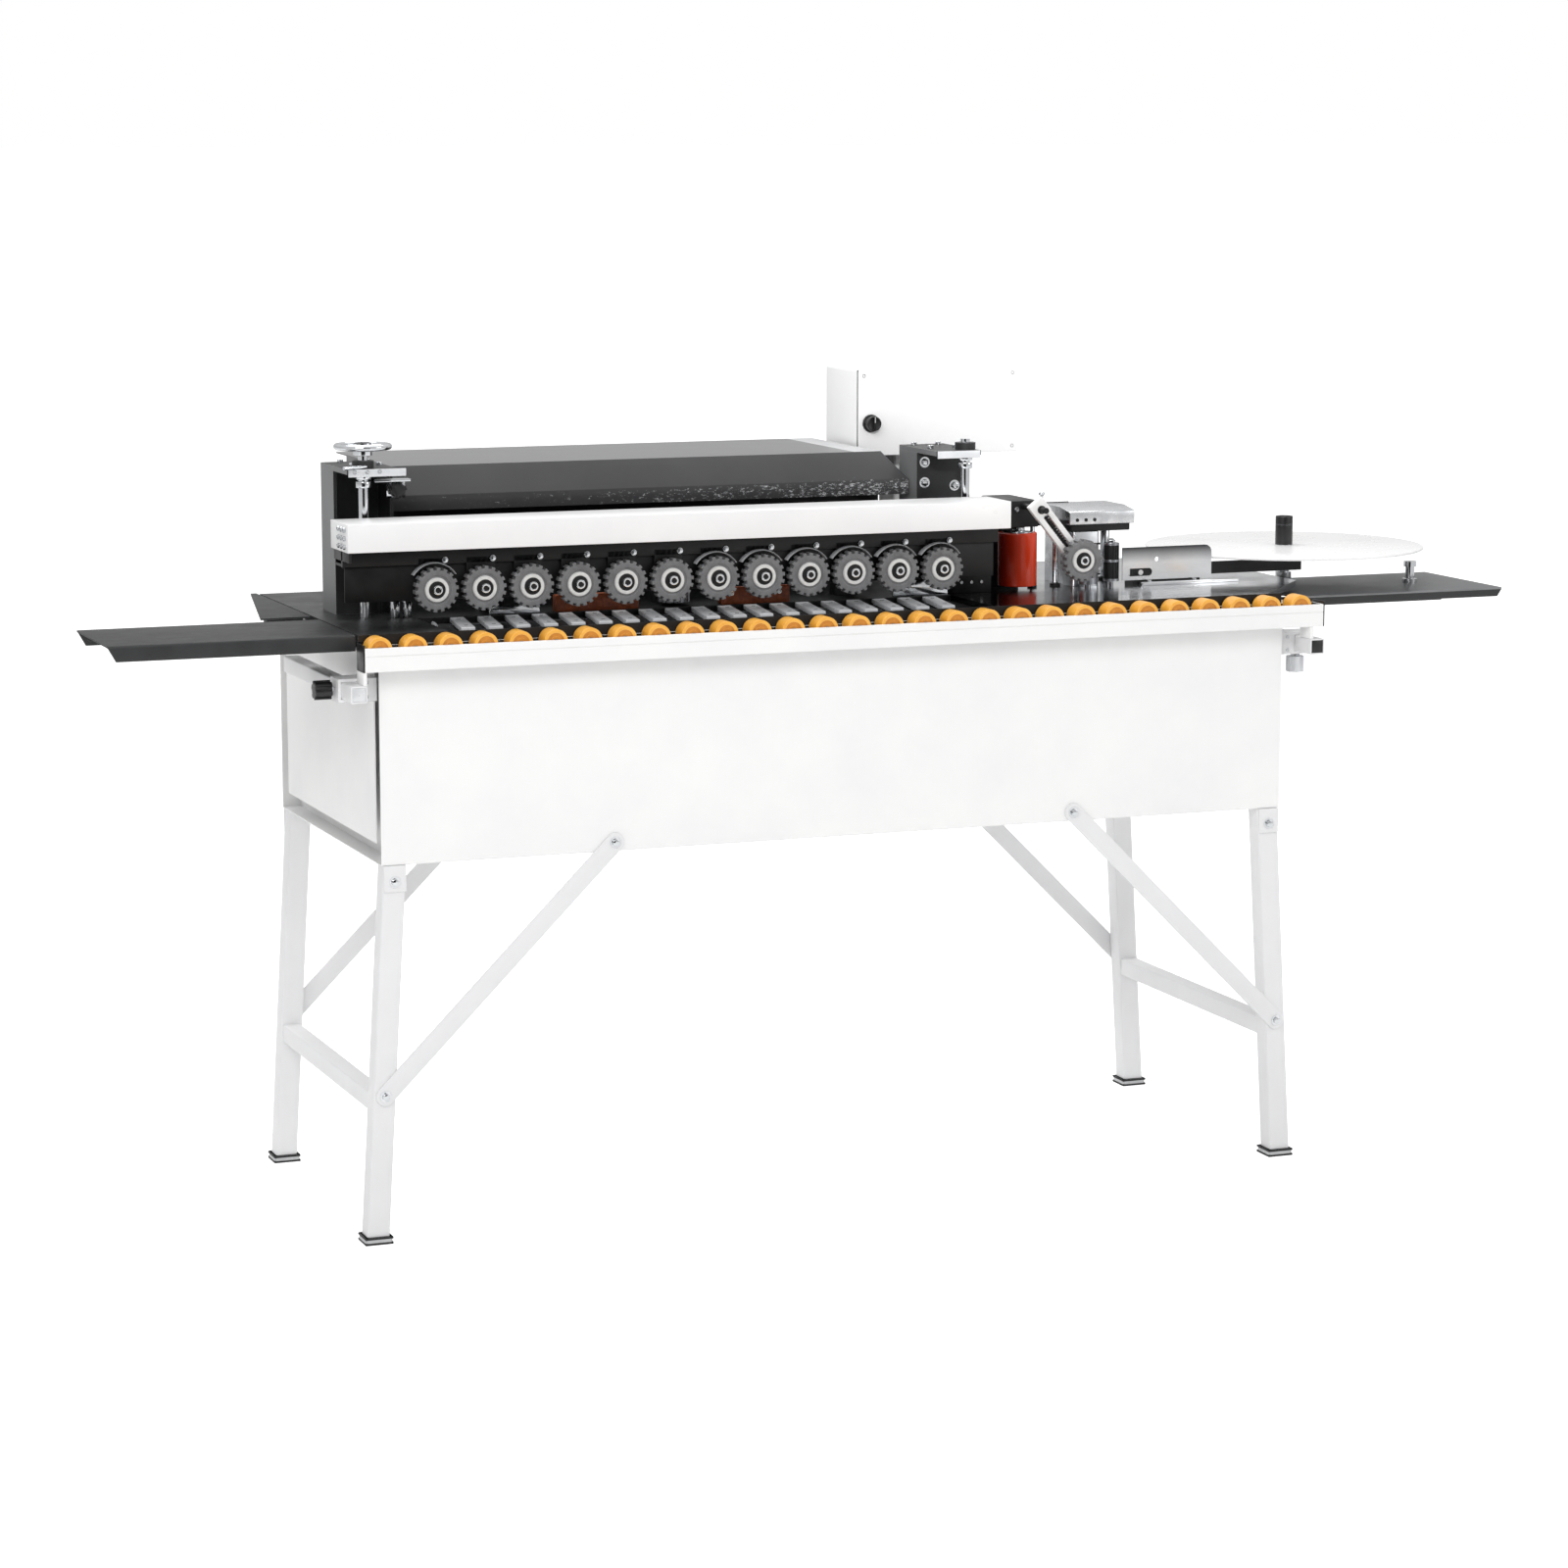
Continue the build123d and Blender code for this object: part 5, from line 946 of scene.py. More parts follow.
@dataclass
class LegStand:
    """The splayed leg stand: legs, braces, cross bars, feet and their bolts."""

    leg_wide: float = 36.0
    brace_wide: float = 30.0
    corner_r: float = 3.0
    foot_r: float = 5.0
    foot_line: float = 3.5
    line_out: float = 0.5
    washer_wide: float = 3.0
    washer_t: float = 1.2
    bar_least: float = 100.0

    def leg(self, part: Span) -> Shape:
        """One splayed square-tube leg inside its box."""
        outwards = -1 if part.mid.x < 0 else 1
        splay = part.size.x - self.leg_wide
        left, right = (splay, 0.0) if outwards < 0 else (0.0, splay)
        top = replace(part, x0=part.x0 + left, x1=part.x1 - right)
        leg = square_tube("leg", top, Axis.Z, radius=self.corner_r)
        leg.verts(lambda at: at.z < part.mid.z).move((outwards * splay, 0.0, 0.0))
        return leg.soften(0.3, 1, 40)

    def brace(self, part: Span) -> Shape:
        """One flat diagonal brace with round ends, between opposite corners of its box."""
        run, rise = part.size.x - self.brace_wide, part.size.z - self.brace_wide
        half = (math.hypot(run, rise) + self.brace_wide) / 2
        mid = part.mid
        flat = Span(mid.x - half, part.y0, mid.z - self.brace_wide / 2, mid.x + half, part.y1,
                    mid.z + self.brace_wide / 2)
        bar = Shape.block("brace", flat)
        bar.edges(lambda _, way: abs(way.y) > 0.9).round_edges(self.brace_wide / 2 - 0.1, 10)
        bar.soften(0.7, 2, 50)
        angle = math.degrees(math.atan2(rise, run))
        return bar.turn(-angle if mid.x < 0 else angle, Axis.Y, mid)

    def build(self) -> None:
        """Makes the stand."""
        legs = [self.leg(part) for part in islands("legs")]
        Shape.joined("stand_legs", legs).finish(STAND_PAINT).ride("frame", "white_paint", "legs")
        bars = []
        for part in islands("leg_braces"):
            if part.size.x > self.bar_least:
                bars.append(self.brace(part))
            elif part.size.y > self.bar_least:
                bars.append(square_tube("cross_bar", part, Axis.Y).soften(0.3, 1, 40))
            else:
                bars.append(rounded_block("leg_plate", part, 0.9))
        Shape.joined("stand_braces", bars).finish(STAND_PAINT).ride("frame", "white_paint", "leg_braces")
        self.feet()
        self.bolts()

    def feet(self) -> None:
        """Makes the light rubber feet with a dark line round their top and bottom."""
        feet = []
        for part in islands("feet"):
            foot = Shape.block("foot", part)
            foot.edges(lambda _, way: abs(way.z) > 0.9).round_edges(self.foot_r)
            foot.faces(lambda _, normal: normal.z < -0.9).inset(self.foot_r).extrude((0.0, 0.0, 1.2))
            feet.append(foot.soften(0.8).finish(FOOT_RUBBER))
            out = self.line_out
            for z0 in (part.z0, part.z1 - self.foot_line):
                line = Span(part.x0 - out, part.y0 - out, z0,
                            part.x1 + out, part.y1 + out, z0 + self.foot_line)
                feet.append(rounded_block("foot_line", line, 0.7).finish(BLACK_RUBBER))
        Shape.joined("rubber_feet", feet).ride("frame", "black_rubber", "feet")

    def bolts(self) -> None:
        """Makes the hexagon bolts of the stand, each on a wide washer."""
        bolts = []
        middle_y = Span.of("legs").mid.y
        for part in islands("fasteners"):
            side = -1 if part.mid.y < middle_y else 1
            seat = (part.mid.x, part.y1 if side < 0 else part.y0, part.mid.z)
            bolts.append(hex_bolt("bolt", seat, side, part.size.x / 2, part.size.y))
            low = (seat[0], seat[1] - (self.washer_t if side < 0 else 0.0), seat[2])
            washer_r = part.size.x / 2 + self.washer_wide
            bolts.append(Shape.rod("washer", Axis.Y, low, self.washer_t, washer_r, 28))
        Shape.joined("frame_bolts", bolts).finish(CHROME).ride("frame", "bright_chrome", "fasteners")


@dataclass
class Trays:
    """The out-feed and in-feed trays with their bars."""

    sheet: float = 3.0
    fold_r: float = 4.5
    corner_cut: float = 14.0
    infeed_cut: float = 10.0
    wide_least: float = 100.0
    long_least: float = 300.0
    wing_end: float = 10.0
    packing_long: float = 60.0

    def folded(self, name: str, part: Span, cut: float) -> Shape:
        """A tray with its long edges folded down over a radius.

        Args:
            name: the piece's name.
            part: its outer box.
            cut: how far the lower corners of the free end are cut back.

        Returns:
            The tray.
        """
        tray = Shape.block(name, part)
        free_left = part.mid.x < 0
        end_x = part.x0 if free_left else part.x1
        inwards = cut if free_left else -cut
        tray.verts(lambda at: at.z < part.mid.z and abs(at.x - end_x) < 1.0).move((inwards, 0.0, 0.0))
        tray.edges(lambda at, way: abs(way.x) > 0.9 and at.z > part.mid.z).round_edges(self.fold_r, 5)
        tray.faces(lambda at, normal: normal.z < -0.9 or abs(normal.x) > 0.5).delete()
        return tray.wall(self.sheet).soften(0.6)

    def build(self) -> None:
        """Makes both trays and their bars."""
        pieces = []
        for part in islands("outfeed_trays"):
            if part.size.x > self.long_least and part.size.y > self.wide_least:
                pieces.append(self.folded("outfeed_tray", part, self.corner_cut))
            elif part.size.y > self.wide_least:
                wing = Shape.block("wing", part)
                taper = part.size.x - self.wing_end
                wing.verts(lambda at: at.x < part.mid.x and at.y > part.mid.y).move((taper, 0.0, 0.0))
                pieces.append(wing.soften(0.7))
            else:
                pieces.append(self.bar(part))
        Shape.joined("outfeed_tray", pieces).finish(DARK_PAINT).ride("frame", "dark_paint", "outfeed_trays")
        pieces = []
        for part in islands("infeed_tray"):
            wide = part.size.y > self.wide_least
            piece = self.folded("infeed_tray", part, self.infeed_cut) if wide else self.bar(part)
            piece.finish(DARK_PAINT)
            if wide:
                # painted light: the top face is lighter and the front fold carries a painted highlight
                piece.paint(TRAY_LIGHT_PAINT, lambda at, normal: normal.z > 0.9)
                piece.paint(FLANK_LIGHT_PAINT, lambda at, normal: normal.y < -0.2 and normal.z > 0.2)
            pieces.append(piece)
        Shape.joined("infeed_tray_sheet", pieces).ride("frame", "dark_paint", "infeed_tray")

    def bar(self, part: Span) -> Shape:
        """A tray's bar, with the packing block at its free end."""
        free_left = part.mid.x < 0
        base = replace(part, z1=part.z1 - (10.0 if free_left else 5.0))
        length = self.packing_long
        end = replace(base, x1=base.x0 + length) if free_left else replace(base, x0=base.x1 - length)
        block = replace(end, z0=base.z1 - 0.5, z1=part.z1)
        return Shape.joined("bar", [rounded_block("bar", base), rounded_block("packing", block)])


@dataclass
class RollerLedge:
    """The pull-out ledge with its support rollers, carrying tubes and clamps."""

    face_rim: float = 5.5
    recess: float = 1.2
    hub_ring: float = 5.5
    rail_wall: float = 3.0
    groove_drop: float = 13.0
    groove: float = 1.6
    cap_t: float = 2.4
    cap_up: float = 5.0
    hanger_t: float = 6.0
    hanger_out: float = 3.0
    tube_wall: float = 2.5
    plug_gap: float = 2.6
    plug_deep: float = 8.0
    grip_long: float = 26.0
    grip_r: float = 15.0
    sleeve_screw_x: float = 14.0
    sleeve_screw_z: float = 11.0
    rail_least: float = 300.0
    tube_least: float = 200.0

    def roller(self, part: Span) -> Shape:
        """One amber roller with a darker, recessed hub on both faces."""
        radius = part.size.x / 2
        start = (part.mid.x, part.y0, part.mid.z)
        roller = Shape.rod("support_roller", Axis.Y, start, part.size.y, radius, 40)
        for side in (-1, 1):
            roller.faces(lambda _, normal: normal.y * side > 0.9)
            roller.inset(self.face_rim).extrude((0.0, -side * self.recess, 0.0)).inset(self.hub_ring)
            roller.extrude((0.0, side * self.recess * 0.7, 0.0))
        roller.soften(1.6, 3, 50)
        hub_r = radius - self.face_rim
        roller.finish(AMBER_NYLON)
        roller.paint(AMBER_HUB, lambda at, normal: abs(normal.y) > 0.5
                     and math.hypot(at.x - part.mid.x, at.z - part.mid.z) < hub_r)
        return roller

    def rail(self, part: Span) -> Shape:
        """The folded channel with the shadow groove along its front."""
        rail = Shape.block("rail", part)
        rail.edges(lambda _, way: abs(way.x) > 0.9).round_edges(1.4)
        rail.faces(lambda _, normal: normal.z > 0.99).inset(self.rail_wall - 1.0)
        rail.extrude((0.0, 0.0, self.rail_wall - part.size.z))
        groove_z = part.z1 - self.groove_drop
        for level in (groove_z - self.groove / 2, groove_z + self.groove / 2):
            rail.bisect((0.0, 0.0, level), (0.0, 0.0, 1.0))
        rail.faces(lambda at, normal: normal.y < -0.9 and abs(at.z - groove_z) < self.groove / 2
                   and at.y < part.y0 + 0.5).extrude((0.0, 1.2, 0.0))
        return rail.soften(0.25, 1, 50)

    def build(self) -> None:
        """Makes the rollers, the rail, its tubes and the clamps."""
        parts = islands("ledge_rollers")
        first = self.roller(parts[0])
        rollers = [first] + [first.copy("support_roller", part.mid - parts[0].mid) for part in parts[1:]]
        Shape.joined("support_rollers", rollers).ride("ledge", "orange_plastic", "ledge_rollers")
        keep_node("ledge_pins", PLAIN_STEEL)
        frame_parts, caps = [], []
        for part in islands("ledge_rail"):
            if part.size.x > self.rail_least:
                frame_parts.append(self.painted_rail(part))
                for x0, x1 in ((part.x0 - self.cap_t, part.x0 + 0.1), (part.x1 - 0.1, part.x1 + self.cap_t)):
                    cap = replace(part, x0=x0, x1=x1, z1=part.z1 + self.cap_up)
                    caps.append(rounded_block("end_cap", cap, 0.8))
            elif part.size.y > self.tube_least:
                tube = replace(part, z1=part.z0 + part.size.x)
                frame_parts += self.carrier(part, tube)
                gap = self.plug_gap
                inside = Span(tube.x0 + gap, tube.y0 + 0.2, tube.z0 + gap,
                              tube.x1 - gap, tube.y0 + self.plug_deep, tube.z1 - gap)
                plug = rounded_block("tube_plug", inside, 0.8)
                if part.mid.x > 0:
                    caps.append(plug)
                else:
                    frame_parts.append(plug.finish(PAD_STEEL))
        Shape.joined("ledge_channel", frame_parts).ride("ledge", "white_paint", "ledge_rail")
        Shape.joined("ledge_caps", caps).finish(BLACK_PLASTIC).ride("ledge", "black_plastic")
        keep_node("ledge_clamps", STAND_PAINT)
        self.clamps()

    def painted_rail(self, part: Span) -> Shape:
        """The rail, white outside, with its trough painted black as painted shade."""
        rail = self.rail(part).finish(WHITE_PAINT)
        inner_y = (part.y0 + 2.0, part.y1 - 2.0)
        # painted shade: the trough's inner faces are black
        return rail.paint(BLACK_SHADE_PAINT, lambda at, normal: inner_y[0] < at.y < inner_y[1]
                          and part.z0 + 1.0 < at.z < part.z1 - 0.4)

    def carrier(self, part: Span, tube: Span) -> list[Shape]:
        """A carrying tube and the flat hanger that holds the rail on it.

        Args:
            part: the box of the tube with its upright.
            tube: the box of the tube alone.

        Returns:
            The tube and the hanger.
        """
        carrier = square_tube("carrying_tube", tube, Axis.Y, self.tube_wall).soften(0.3, 1, 40)
        rollers = Span.of("ledge_rollers")
        hanger = Span(part.x1 - self.hanger_t, rollers.y0 - self.hanger_out, tube.z1,
                      part.x1, rollers.y1 + self.hanger_out, part.z1)
        if part.mid.x > 0:
            hanger = replace(hanger, x0=part.x0, x1=part.x0 + self.hanger_t)
        return [carrier.finish(STAND_PAINT), rounded_block("hanger", hanger, 0.6).finish(WHITE_PAINT)]

    def clamps(self) -> None:
        """Makes both clamp knobs with their screws and the bright sleeve screws."""
        screws = []
        for side, axis in (("left", Axis.X), ("right", Axis.Z)):
            node = "clamp_knob_" + side
            span = Span.of(node)
            base = Vector(span.mid)
            base[axis.value] = (span.x0, span.y0, span.z0)[axis.value] + self.grip_long
            knob = lobed_knob("grip", base, axis, -1, self.grip_r, self.grip_long)
            knob.finish(BLACK_PLASTIC if side == "left" else PAD_STEEL)
            stud_long = span.size[axis.value] - self.grip_long
            stud = Shape.rod("stud", axis, base, stud_long, 4.0, 20).finish(CHROME)
            collar = Shape.rod("collar", axis, base, 3.0, 8.0, 24).soften(0.5).finish(CHROME)
            grip = Shape.joined("clamp_grip_" + side, [knob, stud, collar])
            grip.ride("clamp_" + side, "black_plastic", node)
        for part in islands("ledge_clamps"):
            inwards = self.sleeve_screw_x if part.mid.x < 0 else -self.sleeve_screw_x
            for up in (-self.sleeve_screw_z, self.sleeve_screw_z):
                seat = (part.mid.x + inwards, part.y0, part.mid.z + up)
                screws.append(socket_screw("sleeve_screw", seat, Axis.Y, -1, 3.0, 2.4))
        Shape.joined("sleeve_screws", screws).finish(CHROME).ride("frame", "bright_chrome")


@dataclass
class PadConveyor:
    """The endless row of skewed pads with its shafts and bed."""

    pitch: float = 44.8
    pads: int = 42
    turn_pads: int = 3
    pad_long: float = 23.0
    pad_thick: float = 8.0
    skew: float = 22.0
    screw_r: float = 3.2

    def pad(self, span: Span) -> Shape:
        """One bevelled pad about the origin, its upper face outwards."""
        half, deep = self.pad_long / 2, span.size.y
        blank = Span(-half, span.y0, -self.pad_thick / 2, half, span.y1, self.pad_thick / 2)
        pad = Shape.block("pad", blank)
        pad.verts(lambda at: at.y > span.mid.y).move((self.skew / 2, 0.0, 0.0))
        pad.verts(lambda at: at.y < span.mid.y).move((-self.skew / 2, 0.0, 0.0))
        pad.soften(1.3, 3).finish(PAD_STEEL)
        screws = []
        for share in (-0.3, 0.3):
            at = (self.skew * share, span.mid.y + deep * share, self.pad_thick / 2 - 0.7)
            head = Shape.rod("pad_screw", Axis.Z, at, 0.9, self.screw_r, 14)
            head.faces(lambda _, normal: normal.z > 0.9).inset(self.screw_r * 0.35).extrude((0.0, 0.0, -0.7))
            screws.append(head.finish(BLACK_STEEL))
        return Shape.joined("pad", [pad, *screws])

    def place(self, along: float, span: Span) -> Matrix:
        """Where a pad sits at a distance along the loop, from the start of the top run."""
        radius = self.turn_pads * self.pitch / math.pi
        arc = math.pi * radius
        run = self.pads * self.pitch / 2 - arc
        middle = Vector((span.mid.x, 0.0, span.z1 - self.pad_thick / 2 - radius))
        if along <= run:
            centre, angle = middle + Vector((along - run / 2, 0.0, 0.0)), 0.0
        elif along < run + arc:
            centre, angle = middle + Vector((run / 2, 0.0, 0.0)), (along - run) / radius
        elif along <= 2 * run + arc:
            centre, angle = middle + Vector((run * 1.5 + arc - along, 0.0, 0.0)), math.pi
        else:
            centre, angle = middle - Vector((run / 2, 0.0, 0.0)), math.pi + (along - 2 * run - arc) / radius
        return (Matrix.Translation(centre * MM) @ Matrix.Rotation(angle, 4, "Y")
                @ Matrix.Translation(Vector((0.0, 0.0, radius * MM))))

    def build(self) -> None:
        """Makes the pads and dresses the rest."""
        span = Span.of("conveyor_pads")
        model = self.pad(span)
        pads = []
        for index in range(self.pads):
            twin = model.copy("pad")
            twin.obj.data.transform(self.place(index * self.pitch, span))
            pads.append(twin)
        Shape.clear()
        bpy.data.objects.remove(model.obj)
        Shape.joined("conveyor_pad_row", pads).ride("frame", "ground_steel", "conveyor_pads")
        keep_node("conveyor_chain", PLAIN_STEEL)
        keep_node("conveyor_bed", BLACK_STEEL)
        keep_node("conveyor_drive", PLAIN_STEEL)
        keep_node("conveyor_idler", PLAIN_STEEL)


@dataclass
class PressWheel:
    """A toothed rubber press wheel with its bearing ring and seal."""

    teeth: int = 18
    tooth_deep: float = 4.0
    rim_wide: float = 7.5
    web_deep: float = 2.2
    web_wide: float = 4.5
    ring_wide: float = 5.2
    ring_up: float = 0.6
    seal_deep: float = 1.6
    bolt_r: float = 7.6
    bolt_long: float = 5.0
    bolt_out: float = 4.6

    def make(self, span: Span) -> Shape:
        """One wheel that fills a CAD wheel's box.

        Args:
            span: the CAD wheel's box.

        Returns:
            The wheel with its finishes.
        """
        radius = span.size.x / 2
        root = radius - self.tooth_deep
        centre = span.mid
        start = (centre.x, span.y0, centre.z)
        wheel = Shape.rod("press_wheel", Axis.Y, start, span.size.y, root, self.teeth * 4)
        step = math.tau / self.teeth

        def on_tooth(at: Vector, normal: Vector) -> bool:
            share = (math.atan2(at.z - centre.z, at.x - centre.x) / step) % 1.0
            return abs(normal.y) < 0.5 and share < 0.5

        wheel.faces(on_tooth).extrude((0.0, 0.0, 0.0))
        grown = radius / root
        wheel.stretch((grown, 1.0, grown), centre)
        for side in (-1, 1):
            wheel.faces(lambda at, normal: normal.y * side > 0.9
                        and math.hypot(at.x - centre.x, at.z - centre.z) < root / 2)
            wheel.inset(self.rim_wide).extrude((0.0, -side * self.web_deep, 0.0)).inset(self.web_wide)
            wheel.extrude((0.0, side * (self.web_deep + self.ring_up), 0.0)).inset(self.ring_wide)
            wheel.extrude((0.0, -side * self.seal_deep, 0.0))
        wheel.soften(0.5, 2, 28)
        ring_out = root - self.rim_wide - self.web_wide
        ring_in = ring_out - self.ring_wide
        wheel.finish(GREY_RUBBER)
        wheel.paint(RING_WHITE, lambda at, normal: ring_in - 0.2
                    < math.hypot(at.x - centre.x, at.z - centre.z) < ring_out + 0.3)
        wheel.paint(BLACK_RUBBER, lambda at, normal: abs(normal.y) > 0.5
                    and math.hypot(at.x - centre.x, at.z - centre.z) < ring_in - 0.2)
        return wheel

    def bolt(self, span: Span) -> Shape:
        """The bright bolt with a dark socket in the middle of a wheel."""
        at = (span.mid.x, span.y0 - self.bolt_out, span.mid.z)
        bolt = Shape.rod("wheel_bolt", Axis.Y, at, self.bolt_long, self.bolt_r, 32)
        bolt.faces(lambda _, normal: normal.y < -0.9).inset(3.4).extrude((0.0, 1.8, 0.0))
        bolt.soften(0.5, 2, 40).finish(CHROME)
        return bolt.paint(BLACK_STEEL, lambda there, normal: normal.y < -0.9
                          and math.hypot(there.x - span.mid.x, there.z - span.mid.z) < 4.0)


@dataclass
class PressBeam:
    """The lifting beam: cover, box section, brackets and the twelve wheels."""

    sheet: float = 2.0
    stud_r: float = 4.2
    stud_x: float = 20.0
    stud_z: float = 44.0
    first_guarded: int = 6
    guard_r: float = 41.0
    guard_t: float = 1.2
    guard_low: float = 22.0
    guard_wide: float = 7.0
    end_bolt_ys: tuple[float, ...] = (14.0, 30.0, 46.0)
    end_bolt_zs: tuple[float, ...] = (9.0, 22.0, 35.0)
    skirt_t: float = 2.5
    skirt_in: float = 8.0
    skirt_back: float = 13.2
    end_in: float = 3.0
    end_t: float = 4.0
    strip_back: float = 5.0
    strip_t: float = 8.0

    def guard(self, span: Span) -> Shape:
        """The thin bright guard that arches over a wheel."""
        centre = (span.mid.x, span.y1 + 1.0, span.mid.z)
        arch = Shape.ring("guard", centre, self.guard_r, self.guard_t, Axis.Y)
        arch.faces(lambda at, _: at.z < span.mid.z + self.guard_low).delete()
        arch.verts(lambda at: True).stretch((1.0, self.guard_wide, 1.0), centre)
        return arch.soften(0.1, 1, 60)

    def build(self) -> None:
        """Makes the beam and its wheels."""
        cover_span = Span.of("beam_cover")
        cover = Shape.block("beam_cover_sheet", cover_span)
        cover.faces(lambda _, normal: normal.z < -0.9 or normal.y > 0.9).delete()
        cover.wall(self.sheet).soften(1.2, 3)
        cover.finish(COVER_PAINT).ride("beam", "white_paint", "beam_cover")
        keep_node("beam_channel", BLACK_STEEL)
        maker = PressWheel()
        first_span = Span.of("press_wheel_01")
        first, first_bolt = maker.make(first_span), maker.bolt(first_span)
        first_guard = self.guard(first_span)
        bolts, studs, guards = [], [], []
        wheels = sorted(name for name in frame["nodes"] if name.startswith("press_wheel_"))
        for name in wheels:
            span = Span.of(name)
            offset = span.mid - first_span.mid
            leader = name == wheels[0]
            wheel = first if leader else first.copy("tyre", offset)
            wheel.obj.name = name.replace("press_wheel", "tyre")
            wheel.ride(name.replace("press_", ""), "grey_rubber", name)
            bolts.append(first_bolt if leader else first_bolt.copy("wheel_bolt", offset))
            if leader or wheels.index(name) >= self.first_guarded:
                guards.append(first_guard if leader else first_guard.copy("guard", offset))
            seat = (span.mid.x + self.stud_x, span.y1 + self.strip_back, span.mid.z + self.stud_z)
            studs.append(hex_bolt("bracket_bolt", seat, -1, self.stud_r, 4.0))
        swing = Span.of("infeed_wheel")
        swing_offset = swing.mid - first_span.mid
        first.copy("swing_tyre", swing_offset).ride("swing_wheel", "grey_rubber", "infeed_wheel")
        first_bolt.copy("swing_wheel_bolt", swing_offset).ride("swing_arm", "white_paint")
        Shape.joined("wheel_bolts", bolts).ride("beam", "bright_chrome")
        corner = Vector((cover_span.x0, cover_span.y0, cover_span.z0))
        ends = [socket_screw("end_bolt", corner + Vector((0.0, y, z)), Axis.X, -1, 4.0, 4.5)
                for y in self.end_bolt_ys for z in self.end_bolt_zs]
        arches = Shape.joined("guards", guards).finish(PAD_STEEL)
        heads = Shape.joined("bracket_bolts", studs + ends).finish(CHROME)
        Shape.joined("wheel_guards", [arches, heads]).ride("beam", "bright_chrome")
        self.skirt(cover_span, first_span)

    def skirt(self, cover: Span, wheel: Span) -> None:
        """The black plate along the beam behind the wheel brackets, put in as painted shade under the hood,
        with a black end piece and strip.
        """
        front, back = wheel.y1 + self.skirt_back, wheel.y1 + self.strip_back
        plate = Span(cover.x0 + self.skirt_in, front, wheel.mid.z - 18.0,
                     cover.x1 - self.skirt_in, front + self.skirt_t, cover.z0 - 20.0)
        end = Span(cover.x0 + self.end_in, cover.y0 + 6.0, cover.z0 - 16.0,
                   cover.x0 + self.end_in + self.end_t, cover.y1 - 6.0, cover.z0 + 12.0)
        strip = Span(cover.x0 + self.end_in, back, cover.z0 - 26.0,
                     cover.x1 - self.end_in, back + self.strip_t, cover.z0 + 10.0)
        parts = [rounded_block(name, box, 0.6)
                 for name, box in (("skirt", plate), ("end", end), ("strip", strip))]
        # painted shade: the black plate behind the wheels
        Shape.joined("beam_skirt", parts).finish(BLACK_STEEL).ride("beam", "black_steel")


